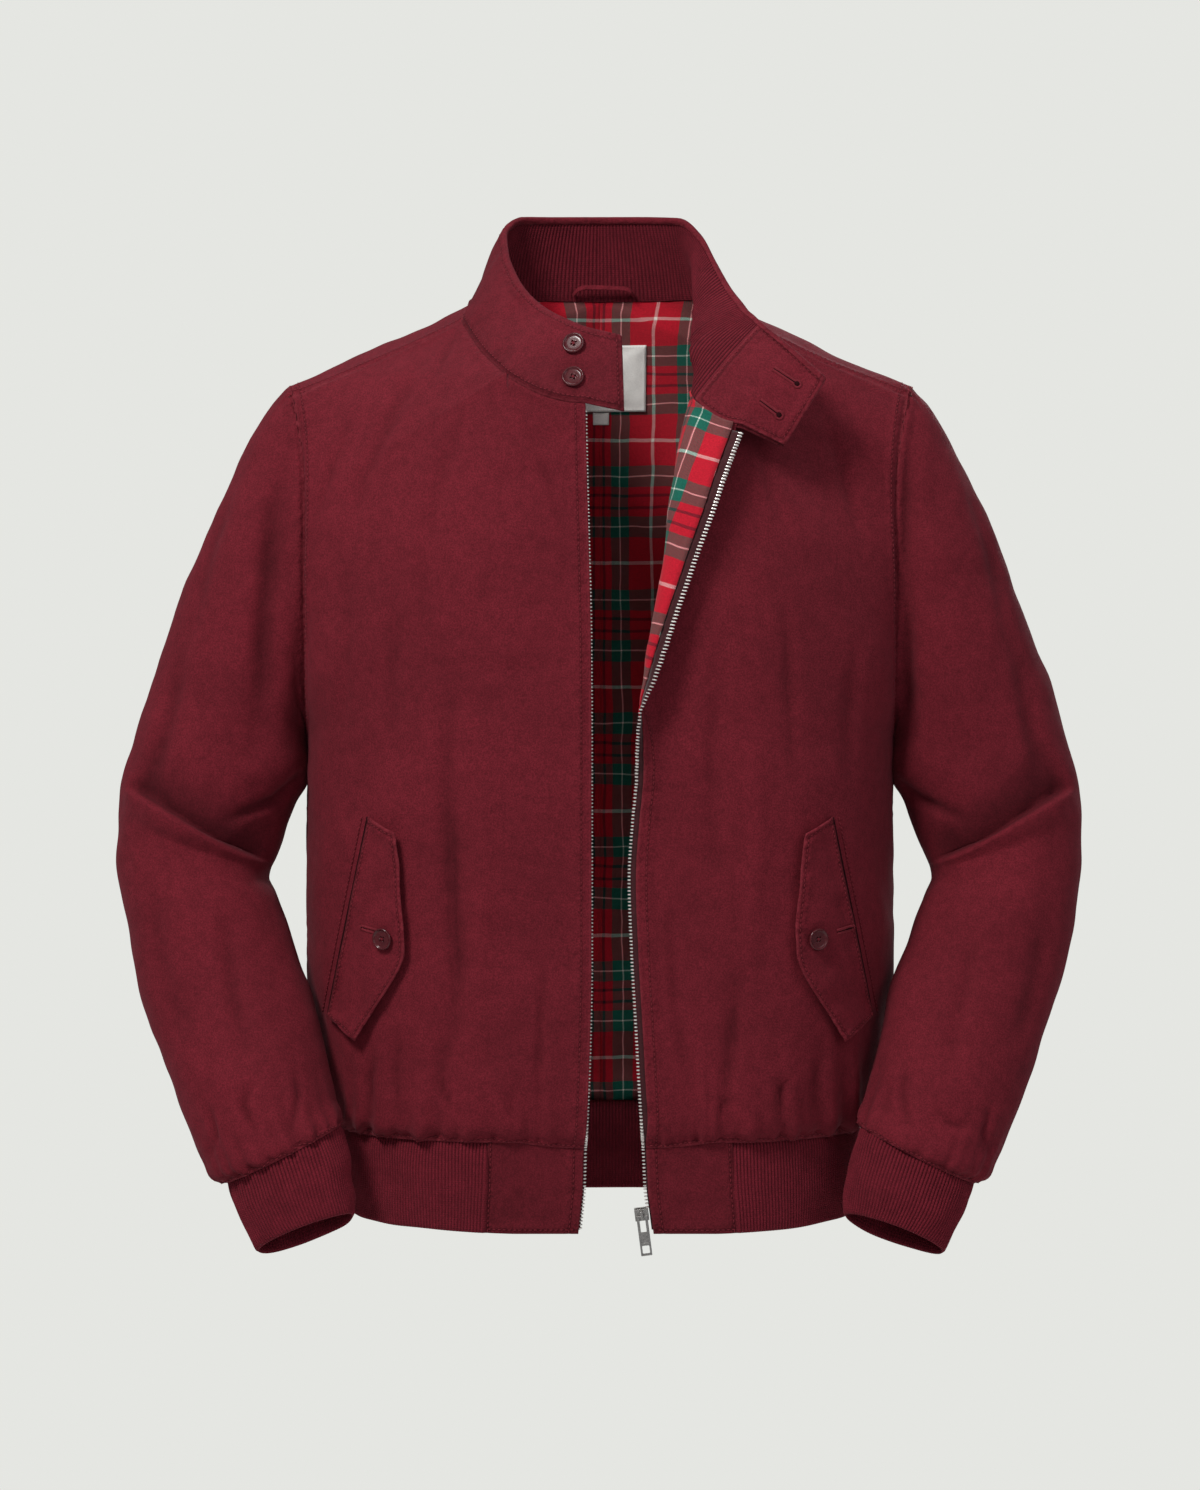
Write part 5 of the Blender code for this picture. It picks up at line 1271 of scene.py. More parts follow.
def tree_of(thing):
    """A tree of a piece's faces, to cast rays at."""
    mesh = thing.data
    points = [v.co.copy() for v in mesh.vertices]
    return BVHTree.FromPolygons(points, [tuple(p.vertices) for p in mesh.polygons])


def cast(tree, x, z):
    """(point, normal) where a line straight back from the front at x, z first meets a mesh."""
    point, normal, _, _ = tree.ray_cast(Vector((x, -1.0, z)), Vector((0, 1, 0)))
    return (None, None) if point is None else (np.array(point), np.array(normal))


def stand_for(piece, node):
    """Hides the CAD part that a piece replaces."""
    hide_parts(node)


def declare(piece, node):
    """Hides the CAD part that a piece of cloth replaces."""
    stand_for(piece, node)


def thinned(sheet, relief, rows, columns, outside, split=None):
    """A sheet on some of the rows and columns of another, with its normals, pattern and relief."""
    part = Sheet(sheet.p[rows][:, columns], False, outside, 0, 0, split)
    part.n = sheet.n[rows][:, columns]
    part.uv = sheet.uv[rows][:, columns]
    low = np.pad(relief, 1, mode="edge")
    low = np.min([low[a: a + relief.shape[0], b: b + relief.shape[1]] for a in range(3) for b in range(3)], axis=0)
    return part, low[rows][:, columns]


def every_other(count, keep):
    """Every other index, and the last one and those to keep."""
    return sorted(set(range(0, count, 2)) | set(keep) | {count - 1})


# Distances of the rows of stitches from the zip edge, the armholes, the hem seam and the back's neck seam.
ZIP_SEWN = 0.0074
ARMHOLE_SEWN = 0.0058
HEM_SEWN = 0.0026
NECK_SEWN = 0.0050


def front_pieces(sheets, side_, looks, done):
    """A front's shell and its lining."""
    left = side_ == "left"
    sheet = sheets[f"front_{side_}"]
    lead, row = len(STRIP_SHARES), np.arange(len(sheet.p))[:, None]
    neck, pit = len(LOW) + FRONT_UP.index(NECK_V), len(LOW) - 1
    seam = np.minimum(np.where(row <= neck, NOT_SEWN, sheet.first), np.minimum(sheet.last, sheet.high))
    relief = panel_relief(sheet, FRONT_LEFT_FOLDS if left else FRONT_RIGHT_FOLDS, 11 if left else 17, -1, seam)
    done[f"front_{side_}"] = sheet.p + sheet.n * relief[..., None]
    sewn = nearest(np.where(row <= neck, sheet.first - ZIP_SEWN, NOT_SEWN),
                   np.where(row >= pit, sheet.last - ARMHOLE_SEWN, NOT_SEWN), sheet.low - HEM_SEWN)
    shell = wall(f"front_{side_}_cloth", sheet, relief, 0.0, SHELL, looks["twill"], sewn=sewn)
    rows = every_other(len(sheet.p), (neck,))
    columns = [LINED_FROM] + [c for c in every_other(sheet.p.shape[1], (lead,)) if c > LINED_FROM]
    lined, flat = thinned(sheet, relief, rows, columns, constant((0, -1, 0)))
    strip = (sheet.u[:, lead] - sheet.u[:, 0])[np.minimum(np.arange(len(sheet.p)), neck)]
    lined.uv = np.stack([sheet.u - sheet.u[:, lead][:, None] + strip[:, None], sheet.v], axis=-1)[rows][:, columns]
    lined.uv = charted(lined.uv, *(LAPEL_CHART if left else (0.0, 0.0)))
    flat = flat - ZIP_SINK * (1 - smooth(lined.first, 0.006, 0.012))
    lining = wall(f"lining_front_{side_}_cloth", lined, flat, SHELL + LAYER_GAP, LINING, looks["check"])
    declare(shell, f"front_{side_}")
    declare(lining, f"lining_front_{side_}")


# The column of a front at which its lining begins, and how much further in it lies there, under the zip's tape.
LINED_FROM = 2
ZIP_SINK = 0.0006
# Where a thick pale stripe of the tartan runs, across and up the cloth, in metres.
LAPEL_CHART = (0.0, 0.5036)
BACK_CHART = (0.0446, 0.4184)


def charted(uv, across_, up):
    """The pattern moved so that the stripe at THICK runs there."""
    return uv + np.array([THICK * SETT_SIZE[0] - across_, THICK * SETT_SIZE[1] - up])


def back_pieces(sheets, looks, done):
    """The back's shell and its lining, whose slack hangs above the hem. Returns the lining."""
    sheet = sheets["back"]
    relief = panel_relief(sheet, BACK_FOLDS, 23, 1, np.minimum(np.minimum(sheet.first, sheet.last), sheet.high))
    done["back"] = sheet.p + sheet.n * relief[..., None]
    half = sheet.p.shape[1] // 2
    neck = len(LOW) + BACK_UP.index(BACK_NECK_V)
    arm = np.arange(len(sheet.p))[:, None] >= len(LOW) - 1
    sewn = nearest(np.where(arm, sheet.first - ARMHOLE_SEWN, NOT_SEWN),
                   np.where(arm, sheet.last - ARMHOLE_SEWN, NOT_SEWN), sheet.low - HEM_SEWN, sheet.high - NECK_SEWN)
    shell = wall("back_cloth", sheet, relief, 0.0, SHELL, looks["twill"], sewn=sewn)
    rows = every_other(len(sheet.p), (neck,))
    columns = every_other(sheet.p.shape[1], (half - 1, half))
    u = np.nan_to_num(sheet.u)
    uneven = 0.9 + 0.35 * ripples(u, 37, (0.030, 0.065))
    slack = 0.0068 * uneven * bell(sheet.low, 0.030, 0.017) * smooth(sheet.low, 0.0, 0.016)
    slack += 0.0013 * ripples(u, 31, (0.030, 0.070)) * np.exp(-sheet.low / 0.05) * smooth(sheet.low, 0, 0.02)
    slack = np.maximum(slack, 0)
    split = (columns.index(half - 1), rows.index(neck))
    lined, flat = thinned(sheet, relief - slack, rows, columns, constant((0, 1, 0)), split)
    height = np.nan_to_num(sheet.p[:, half, 2])
    lined.uv = lined.uv.copy()
    lined.uv[..., 1] = np.interp(np.nan_to_num(lined.p[..., 2]), height[: neck + 1], sheet.v[: neck + 1, half])
    gap = np.nan_to_num(sheet.p[:, half, 0])[rows][:, None]
    middle, at = columns.index(half), lined.u
    lined.uv[..., 0] = np.where(np.arange(len(columns)) >= middle, at - at[:, middle][:, None] + gap,
                                at - at[:, middle - 1][:, None] - gap)
    lined.uv = charted(lined.uv, *BACK_CHART)
    lining = wall("lining_back_cloth", lined, flat, SHELL + LAYER_GAP, LINING, looks["check"])
    declare(shell, "back")
    declare(lining, "lining_back")
    return lining


def rib_pieces(name, knit, seed, uneven, draw, looks):
    """A ribbed knit, drawn in at its seam and rounded at its free edge; `uneven` is its waves' (lengths, height)."""
    profile = np.broadcast_to(rib_profile(knit.p.shape[1]), knit.here.shape)
    soft = waves(np.nan_to_num(knit.p), seed, *uneven)
    relief = profile * RIDGE * (0.35 + 0.65 * smooth(knit.high, 0.0, 0.0025)) - 0.0005 + soft
    relief = relief - draw * (1 - smooth(knit.low, 0.003, 0.013))
    made = wall(f"{name}_knit", knit, relief, 0.0, RIB, looks["rib"], 0.0011, knit.high, shade=rib_painted_shade(profile, knit.low))
    declare(made, name)


def sleeve_pieces(sheets, side_, looks, done):
    """A sleeve and its cuff."""
    left = side_ == "left"
    mirror = 1 if left else -1
    sheet = sheets[f"sleeve_{side_}"]
    relief = sleeve_relief(sheet, SLEEVE_LEFT_FOLDS if left else SLEEVE_RIGHT_FOLDS, 41 if left else 47, mirror)
    done[f"sleeve_{side_}"] = sheet.p + sheet.n * relief[..., None]
    shell = wall(f"sleeve_{side_}_cloth", sheet, relief, 0.0, SHELL, looks["twill"], sewn=sheet.high - HEM_SEWN)
    declare(shell, f"sleeve_{side_}")
    rib_pieces(f"cuff_{side_}", sheets[f"cuff_{side_}"], 53 + mirror, ((0.02, 0.05), 0.0006), 0.0010, looks)


# The even painted shade of the woven bands, as for cloth lying under the body's slack, and their stitches' distances
# from the joint with the rib, the zip and the band's foot.
BAND_PAINTED_SHADE = -3.1
BAND_SEWN = (0.0028, 0.0070, 0.0032)


# The mean of the ribs' profile.
RIB_MEAN = 0.62


def rib_painted_shade(profile, away):
    """Painted shade for the knit's ribs: dark between them, with the most contrast and a darker tone at their seam,
    where they are drawn together, and evener away from it.
    """
    kept = 1.0 - 0.55 * smooth(away, 0.008, 0.036)
    return profile * kept + RIB_MEAN * (1 - kept) - 0.10 * (1 - smooth(away, 0.0, 0.010))


def hem_pieces(sheets, looks, done, thread):
    """The hem's two woven bands and its ribbed knit."""
    beside_rib, beside_zip, above_foot = BAND_SEWN
    for side_ in ("right", "left"):
        band = sheets[f"hem_band_{side_}"]
        p = np.nan_to_num(band.p)
        relief = waves(p, 61 if side_ == "left" else 67, (0.018, 0.05), 0.00035) * smooth(band.edge, 0, 0.006)
        done[f"hem_band_{side_}"] = band.p + band.n * relief[..., None]
        sewn = nearest(band.last - beside_rib, band.first - beside_zip, band.high - above_foot)
        relief = relief - 0.0004 * bell(sewn, 0.0, 0.0012) - 0.0009 * bell(band.last, 0.0, 0.0016)
        # Painted shade: the band is evenly darker, on top of the painted shade of its hollows and of the grooves by its
        # stitches.
        made = wall(f"hem_band_{side_}_cloth", band, relief, 0.0, BAND, looks["twill"], 0.0010, sewn=sewn,
                    shade=BAND_PAINTED_SHADE + relief * 1000)
        declare(made, f"hem_band_{side_}")
        outer = done[f"hem_band_{side_}"]
        rows = range(2, len(outer))
        thread.across(band, outer, rows, beside_rib, False)
        thread.across(band, outer, rows, beside_zip, True)
        thread.along(band, outer, range(3, outer.shape[1] - 2), above_foot, False)
    rib_pieces("hem_rib", sheets["hem_rib"], 71, ((0.03, 0.07), 0.0007), 0.0016, looks)


# ---------------------------------------------------------------- collar

# The radius of the collar's curled top edge and its steps in half turns, the leg beyond it, the share of its height at
# which it starts, the station of its ends, and how deep its inner layer lies.
CURL = 0.0024
CURL_TURNS = (0.12, 0.25, 0.38, 0.5, 0.62, 0.75, 0.88, 1.0)
BINDING_LEG = 0.0030
COLLAR_LOW = 0.967
COLLAR_FAR = 2 * COLLAR_PAST - 1
FACING_DEPTH = 0.0026

# Spacing of the columns of the collar's outer cloth, and its knit's ribs'.
OUTER_PITCH = 0.0034
COLLAR_RIB = 0.0028

# Distances of the collar's stitches from its edges, from its ends and facings' edges, and from its neck seam, and of
# the extra row beside the inner edge of a facing.
EDGE_SEWN = 0.0034
END_SEWN = 0.0036
SEAM_SEWN = 0.0026
INNER_SEWN = 0.0020


def collar_rows(c, seam):
    """The collar's outer face from a tuck below its seam up and over its top edge."""
    body = collar_grid(c, seam, [w * COLLAR_LOW for w in COLLAR_W])
    tuck = seam + (body[0] - body[2]) * 0.9
    return np.concatenate([tuck[None], body])


def curled(sheet, grid):
    """The grid with its top row carried over towards the inside and a little way down."""
    top, out = grid[-1], sheet.n[-1]
    up = unit(grid[-1] - grid[-2])
    up = unit(up - out * (up * out).sum(axis=1, keepdims=True))
    middle = top - out * CURL
    rows = [middle + (out * math.cos(a * math.pi) + up * math.sin(a * math.pi)) * CURL for a in CURL_TURNS]
    rows.append(rows[-1] - up * BINDING_LEG)
    return np.concatenate([grid, np.array(rows)])


# How much painted shade darkens the collar just above its neck seam, in the shade's own steps.
COLLAR_PAINTED_SHADE = 3.4


def collar_pieces(looks, done, thread):
    """The collar's outer cloth, its knit and its facings."""
    c, seam = collar_between(-COLLAR_FAR, COLLAR_FAR, OUTER_PITCH)
    grid = collar_rows(c, seam)
    flat = Sheet(grid, False, neck_middle)
    main = len(grid)
    sheet = Sheet(curled(flat, grid), False, neck_middle)
    p = np.nan_to_num(sheet.p)
    if sheet.turned != flat.turned:
        sheet.turned, sheet.n = flat.turned, -sheet.n
    side_in = np.minimum(sheet.u, sheet.u[:, -1:] - sheet.u)
    calm = smooth(side_in, 0, 0.006)
    body = smooth(sheet.v, 0.001, 0.010) * smooth(-(sheet.v - sheet.v[main - 1]), -0.004, 0.006) * calm
    relief = (waves(p, 81, (0.030, 0.080), 0.0007) + waves(p, 82, (0.012, 0.026), 0.00018)) * body
    pucker = ripples(sheet.u, 83, (0.006, 0.014))
    top = sheet.v[main - 1] - sheet.v
    relief += pucker * 0.00032 * bell(top, 0.0030, 0.0040) * calm
    relief += ripples(sheet.u, 84, (0.007, 0.016)) * 0.0005 * bell(sheet.v, 0.006, 0.0045) * calm
    relief -= 0.00045 * bell(top, EDGE_SEWN, 0.0011)
    relief -= 0.0009 * bell(sheet.v, sheet.v[1], 0.0016)
    done["collar"] = (sheet.p + sheet.n * relief[..., None], c)
    sewn = nearest(top - EDGE_SEWN, sheet.v - sheet.v[1] - SEAM_SEWN, side_in - END_SEWN)
    # Painted shade: the collar darkens just above its neck seam, on top of the painted shade of its hollows.
    shaded = relief * 1000 - COLLAR_PAINTED_SHADE * bell(sheet.v, 0.0, 0.040)
    outer = wall("collar_outer_cloth", sheet, relief, 0.0, SHELL, looks["twill"], 0.0005, side_in, sewn, shaded)
    lines, whole = done["collar"][0][:main], range(2, len(c) - 2)
    flat.n = sheet.n[:main]
    thread.along(flat, lines, whole, EDGE_SEWN, False)
    thread.along(flat, lines, whole, SEAM_SEWN + flat.v[1].mean(), True)
    for first in (True, False):
        thread.across(flat, lines, range(3, main - 2), END_SEWN, first)
    declare(outer, "collar_outer")
    collar_inside(looks, flat.turned, thread)


# How far the knit's outer face lies inside the collar's.
KNIT_TOP = 0.00125


def collar_inside(looks, turned, thread):
    """The knit inside the collar and the twill facing at each of its ends."""
    c, seam = collar_between(-COLLAR_JOINT, COLLAR_JOINT, COLLAR_RIB)
    at, points = [], []
    for a, b, p, q in zip(c, c[1:], seam, seam[1:]):
        for k in range(RIB_COLUMNS):
            at.append(a + (b - a) * k / RIB_COLUMNS)
            points.append(p + (q - p) * k / RIB_COLUMNS)
    at, points = np.array(at + [c[-1]]), np.array(points + [seam[-1]])
    knit = Sheet(collar_grid(at, points, [w * (COLLAR_LOW - 0.004) for w in COLLAR_W]), False, neck_middle)
    profile = np.broadcast_to(rib_profile(len(at)), knit.here.shape)
    # Painted light and shade on the collar's knit: dark between its ribs, with the contrast strongest towards its open
    # left end, where the light falls, and the whole a little darker.
    kept = 0.45 + 0.55 * smooth(at, 0.35, 0.60)
    inner = wall_inside("collar_rib_knit", knit, -profile * RIDGE * smooth(knit.low, 0.0, 0.004), KNIT_TOP,
                        FACING_DEPTH - 0.0005, looks["rib"], profile * kept + RIB_MEAN * (1 - kept) - 0.15)
    declare(inner, "collar_rib")
    lapped = COLLAR_JOINT - 0.004
    for side_, low_c, high_c, wide in (("right", -COLLAR_FAR, -lapped, 0.060), ("left", lapped, COLLAR_FAR, 0.078)):
        c, seam = collar_between(low_c, high_c, OUTER_PITCH / 2)
        tab = Sheet(collar_grid(c, seam, [w * (COLLAR_LOW - 0.001) for w in COLLAR_W]), False, neck_middle)
        if tab.turned != turned:
            tab.turned, tab.n = turned, -tab.n
        relief = waves(np.nan_to_num(tab.p), 93, (0.010, 0.030), 0.00022) * smooth(tab.edge, 0, 0.004)
        relief += 0.0004 * bell(tab.edge, END_SEWN, 0.0011)
        relief -= 0.0003 * ripples(tab.u + tab.v, 95, (0.006, 0.013)) * bell(tab.edge, END_SEWN, 0.0030)
        made = wall_inside(f"collar_facing_{side_}_cloth", tab, relief, KNIT_TOP - 0.0001, FACING_DEPTH + 0.0003,
                           looks["twill"], 0.0, tab.edge - END_SEWN)
        declare(made, f"collar_facing_{side_}")
        far = tab.p + tab.n * (relief - KNIT_TOP + 0.0001 - FACING_DEPTH - 0.0003)[..., None]
        tab.n = -tab.n
        rows, columns = range(3, len(far) - 3), range(3, far.shape[1] - 3)
        thread.along(tab, far, columns, END_SEWN, True)
        thread.along(tab, far, columns, END_SEWN, False)
        thread.across(tab, far, rows, END_SEWN, side_ != "left")
        thread.across(tab, far, rows, INNER_SEWN, side_ == "left")


# ---------------------------------------------------------------- pocket flaps and buttons

# A flap's rows and columns apart from those beside its edges, the distance of its stitches from its seam, and that of
# the stitches that hold its pocket.
FLAP_Q = 72
FLAP_W = 30
FLAP_SEWN = 0.0022
POCKET_SEWN = 0.0052


def evened(grid):
    """A grid of numbers, each one the mean of its four neighbours."""
    near = np.pad(grid, 1, mode="edge")
    return (near[:-2, 1:-1] + near[2:, 1:-1] + near[1:-1, :-2] + near[1:-1, 2:]) / 4


def flap_pieces(side_, looks, trees, thread, body_thread):
    """A pocket flap with the stitches beside it, and dark strips of painted shade for its mouth and for the stitches'
    ditch. Returns a tree of its faces.
    """
    mirror = 1 if side_ == "left" else -1
    q = np.linspace(0, 1, FLAP_Q)
    q = np.sort(np.concatenate([q, [0.004, 0.008, 0.992, 0.996]]))
    w = np.concatenate([[0, 0.012, 0.03], np.linspace(0.06, 0.94, FLAP_W), [0.965, 0.983, 0.993, 1.0]])
    sewn_x, sewn_z, free_x, free_z = (follow(FLAP, q)[:, k][:, None] for k in range(4))
    x = mirror * (sewn_x + (free_x - sewn_x) * w)
    z = sewn_z + (free_z - sewn_z) * w
    front = trees[f"front_{side_}"]
    hits = np.array([[cast(front, x[i, j], z[i, j])[0] for j in range(len(w))] for i in range(len(q))])
    eased = hits[..., 1].copy()
    for _ in range(60):
        eased = np.minimum(evened(eased), hits[..., 1] - 0.0001)
    grid = np.stack([x, eased, z], axis=-1)
    sheet = Sheet(grid, False, constant((0, -1, 0)))
    lift = FLAP_LIFT[0] * 0.5 + (FLAP_LIFT[1] - FLAP_LIFT[0]) * np.sin(w * math.pi / 2)
    lift = np.broadcast_to(lift, sheet.here.shape) + FLAP_WALL
    from_end = np.minimum(sheet.v, sheet.v[-1:] - sheet.v)
    ends = smooth(from_end, 0, 0.010)
    relief = lift + waves(sheet.p, 101 + mirror, (0.02, 0.05), 0.0005) * (0.4 + 0.6 * ends)
    inset = np.minimum(from_end, sheet.u[:, -1:] - sheet.u)
    relief = relief - 0.00045 * bell(inset, EDGE_SEWN, 0.0011)
    relief = relief + 0.00025 * ripples(sheet.v, 103, (0.006, 0.013)) * bell(inset, 0.0025, 0.003)
    # Painted shade: a dark line along the flap's sewn edge, where its fold would lie in shadow.
    made = wall(f"pocket_flap_{side_}_cloth", sheet, relief, 0.0, FLAP_WALL, looks["twill"], 0.0009, inset,
                nearest(inset - EDGE_SEWN, sheet.first - FLAP_SEWN), -8.0 * bell(sheet.first, 0.0, 0.0012))
    declare(made, f"pocket_flap_{side_}")
    outer = sheet.p + sheet.n * relief[..., None]
    rows, columns = sheet.here.shape
    inner_rows = [r for r in range(rows) if EDGE_SEWN < sheet.v[r, -4] < sheet.v[-1, -4] - EDGE_SEWN]
    thread.across(sheet, outer, inner_rows, EDGE_SEWN, False)
    inner_columns = [k for k in range(1, columns) if sheet.u[0, k] < sheet.u[0, -1] - 0.0030]
    thread.along(sheet, outer, inner_columns, EDGE_SEWN, True)
    thread.along(sheet, outer, inner_columns, EDGE_SEWN, False)
    thread.across(sheet, outer, range(2, rows - 2), FLAP_SEWN, True)
    beside = [cast(front, x[i, 0] + mirror * POCKET_SEWN, z[i, 0]) for i in range(0, rows, 2)]
    body_thread.run(line_of(*zip(*(hit for hit in beside if hit[0] is not None))), radius=0.00046, lift=0.00022)
    edge = (front, x[1:-1, 0], z[1:-1, 0])
    # Two dark strips of painted shade on the body: the shadow in the pocket's mouth along the flap's sewn edge, and the
    # shadow in the ditch beside the row of stitches that holds the pocket.
    ribbon_piece(f"pocket_slit_shadow_{side_}", *edge, (-0.0005 * mirror, 0.0017 * mirror), 0.0006, looks["dark"])
    ribbon_piece(f"pocket_topstitch_shade_{side_}", *edge, (0.0046 * mirror, 0.0058 * mirror), 0.0001, looks["ditch"])
    return tree_of(made)


def ribbon_piece(name, tree, x, z, offsets, lift, shader):
    """A narrow dark strip of painted shade on the cloth beside a line of places: the shadow in a pocket's mouth or in
    the ditch of a row of stitches.
    """
    rows = []
    for a, b in zip(x, z):
        near, far = (cast(tree, a + off, b)[0] for off in offsets)
        rows.append([near + (0, 0.0004, 0), near - (0, lift, 0), far - (0, lift * 0.6, 0), far + (0, 0.0004, 0)])
    last = 4 * (len(rows) - 1)
    faces = [(i + k, i + (k + 1) % 4, i + 4 + (k + 1) % 4, i + 4 + k) for i in range(0, last, 4) for k in range(4)]
    faces += [(3, 2, 1, 0), (last, last + 1, last + 2, last + 3)]
    link(name, mesh_from(name, np.array(rows).reshape(-1, 3), faces), shader)


# A button's profile as (radius, height from its back), its facets, and its holes' distance from its middle and radius.
BUTTON_TURN = (
    (0.0000, 0.0000), (0.0054, 0.0000), (0.0070, 0.0003), (0.0077, 0.0008), (0.0080, 0.0014), (0.00800, 0.0020),
    (0.0078, 0.0024), (0.0075, 0.0027), (0.0072, 0.00282), (0.0069, 0.00272), (0.0066, 0.0024), (0.0063, 0.0020),
    (0.0059, 0.00172), (0.0053, 0.00160), (0.0040, 0.0016), (0.0030, 0.0016), (0.0022, 0.0016), (0.0000, 0.0016),
)
BUTTON_AROUND = 48
HOLE_AT, HOLE = 0.00150, 0.00085
HOLE_AROUND = 12


def button_mesh(name):
    """A four-hole button turned about -Y, with its back at the origin."""
    profile = BUTTON_TURN[1:-1]
    angles = np.arange(BUTTON_AROUND) * 2 * math.pi / BUTTON_AROUND
    points = [(r * math.cos(a), -d, r * math.sin(a)) for r, d in profile for a in angles] + [(0, 0, 0)]
    n = BUTTON_AROUND
    last = (len(profile) - 1) * n
    faces = [(i + k, i + (k + 1) % n, i + n + (k + 1) % n, i + n + k) for i in range(0, last, n) for k in range(n)]
    faces += [(len(points) - 1, (k + 1) % n, k, -1) for k in range(n)]
    holes_face(points, faces, last, n, -profile[-1][1])
    return mesh_from(name, points, faces)


def holes_face(points, faces, last, n, y):
    """Closes the button's face, inside its last ring, with four wells, one in each quarter."""
    centre = len(points)
    points.append((0, y, 0))
    for q in range(4):
        middle = math.pi / 4 + q * math.pi / 2
        cx, cz = HOLE_AT * math.cos(middle), HOLE_AT * math.sin(middle)
        ring = []
        for depth, size in ((0, 1.0), (0.0003, 0.86), (0.0014, 0.80)):
            ring.append([])
            for k in range(HOLE_AROUND):
                a = middle + math.pi + (k + 0.5) * 2 * math.pi / HOLE_AROUND
                ring[-1].append(len(points))
                points.append((cx + HOLE * size * math.cos(a), y + depth, cz + HOLE * size * math.sin(a)))
        for low, high in zip(ring, ring[1:]):
            for k in range(HOLE_AROUND):
                faces.append((low[k], low[(k + 1) % HOLE_AROUND], high[(k + 1) % HOLE_AROUND], high[k]))
        faces += [(ring[-1][k], ring[-1][(k + 1) % HOLE_AROUND], len(points), -1) for k in range(HOLE_AROUND)]
        points.append((cx, y + 0.0014, cz))
        faces += bridge(points, [centre, *(last + (q * n // 4 + k) % n for k in range(n // 4 + 1))], ring[0])


def bridge(points, border, ring):
    """Triangles between a closed border and a ring of points inside it, both turning the same way."""
    def angle(k, about):
        return math.atan2(points[k][2] - about[1], points[k][0] - about[0]) % (2 * math.pi)
    about = np.mean([[points[k][0], points[k][2]] for k in ring], axis=0)
    out = sorted(border, key=lambda k: angle(k, about))
    inner = sorted(ring, key=lambda k: angle(k, about))
    i = j = 0
    made = []
    total_out, total_in = len(out), len(inner)
    while i < total_out or j < total_in:
        a_next = angle(out[(i + 1) % total_out], about) + (2 * math.pi if i + 1 >= total_out else 0)
        b_next = angle(inner[(j + 1) % total_in], about) + (2 * math.pi if j + 1 >= total_in else 0)
        if j >= total_in or (i < total_out and a_next <= b_next):
            made.append((out[i % total_out], out[(i + 1) % total_out], inner[j % total_in], -1))
            i += 1
        else:
            made.append((out[i % total_out], inner[(j + 1) % total_in], inner[j % total_in], -1))
            j += 1
    return made


# How high a button's threads lie above its back.
BUTTON_FACE = 0.0017


def turn_of(right, out):
    """The turn that brings +X to `right` and -Y to `out`."""
    out = unit(np.asarray(out, float))
    right = unit(np.asarray(right, float) - out * np.dot(right, out))
    return np.array([right, -out, np.cross(right, -out)]).T


def placed(turn, origin):
    """The matrix of a turn and a place."""
    matrix = Matrix(turn.tolist()).to_4x4()
    matrix.translation = Vector(origin)
    return matrix


def add_button(node, origin, right, out, looks, thread):
    """A button and the crossed threads in its holes."""
    name = f"{node}_plastic"
    mesh = button_mesh(name)
    turn = turn_of(right, out)
    mesh.transform(placed(turn, origin))
    stand_for(link(name, mesh, looks["button"]), node)
    out = unit(np.asarray(out, float))
    for sign in (1, -1):
        way = unit(turn[:, 0] + turn[:, 2] * sign)
        beside = unit(np.cross(way, out))
        for off in (-0.00020, 0.0, 0.00020):
            thread.stitch(origin + out * BUTTON_FACE + beside * off, way, out, HOLE_AT * 2.0, 0.00017)


# ---------------------------------------------------------------- zip, labels, hanger loop

# The teeth: their pitch, their outline as (beyond the edge, out of the cloth), their half length, the place of their
# narrower tip and its share of that, how far their middles lie beyond the cloth's edge, how much wider the left row's
# are on the lapel, and the z at which that row ends at the foot of the hem.
TOOTH_PITCH = 0.0026
TOOTH = ((-0.0012, -0.0008), (-0.0010, -0.0011), (-0.0006, -0.0012), (0.0003, -0.0012), (0.0008, -0.0009),
         (0.0011, -0.0005), (0.0011, 0.0005), (0.0008, 0.0009), (0.0003, 0.0012), (-0.0006, 0.0012),
         (-0.0010, 0.0011), (-0.0012, 0.0008))
TOOTH_HALF = 0.00043
TOOTH_TIP = (0.0006, 0.62)
TOOTH_AWAY = {"right": 0.0012, "left": 0.0022}
WIDER_ABOVE = 0.5
HEM_STOP = -0.6505


def zip_rows(sheets, done, side_):
    """(edge, inside, away, out, out_inside, under) down a front's edge on the finished cloth, from the neck down: the
    points of the edge and of a line inside it, the ways outwards along the cloth and out of it at the edge and out of
    it inside, and how deep the tape lies under its face."""
    sheet, outer = sheets[f"front_{side_}"], done[f"front_{side_}"]
    band, band_outer = sheets[f"hem_band_{side_}"], done[f"hem_band_{side_}"]
    v = np.array(LOW + FRONT_UP)
    rows = [r for r in range(len(v)) if v[r] <= NECK_V - ZIP_TOP * 0.06][::-1]
    found = [(outer[r, 0] + unit(outer[r, 0] - outer[r, 3]) * tape_shown(side_ == "left", v[r]), outer[r, 3],
              sheet.n[r, 0], sheet.n[r, 3]) for r in rows]
    under = [np.interp(v[r], (0.0, 0.025), (BAND + LAYER_GAP, SHELL + LAYER_GAP / 2)) for r in rows]
    for k in [k for k, h in enumerate(HEM_H) if 0 < h <= 0.97]:
        found.append((band_outer[k, 0], band_outer[k, 3], band.n[k, 0], band.n[k, 3]))
        under.append(BAND + LAYER_GAP)
    edge, inside, out, out_inside = (np.array(a) for a in zip(*found))
    under = np.array(under)[:, None]
    away = unit(edge - inside)
    inside = edge - away * TAPE_COVER
    away = unit(away - out * np.sum(away * out, axis=1, keepdims=True))
    return edge, inside, away, unit(out), unit(out_inside), under


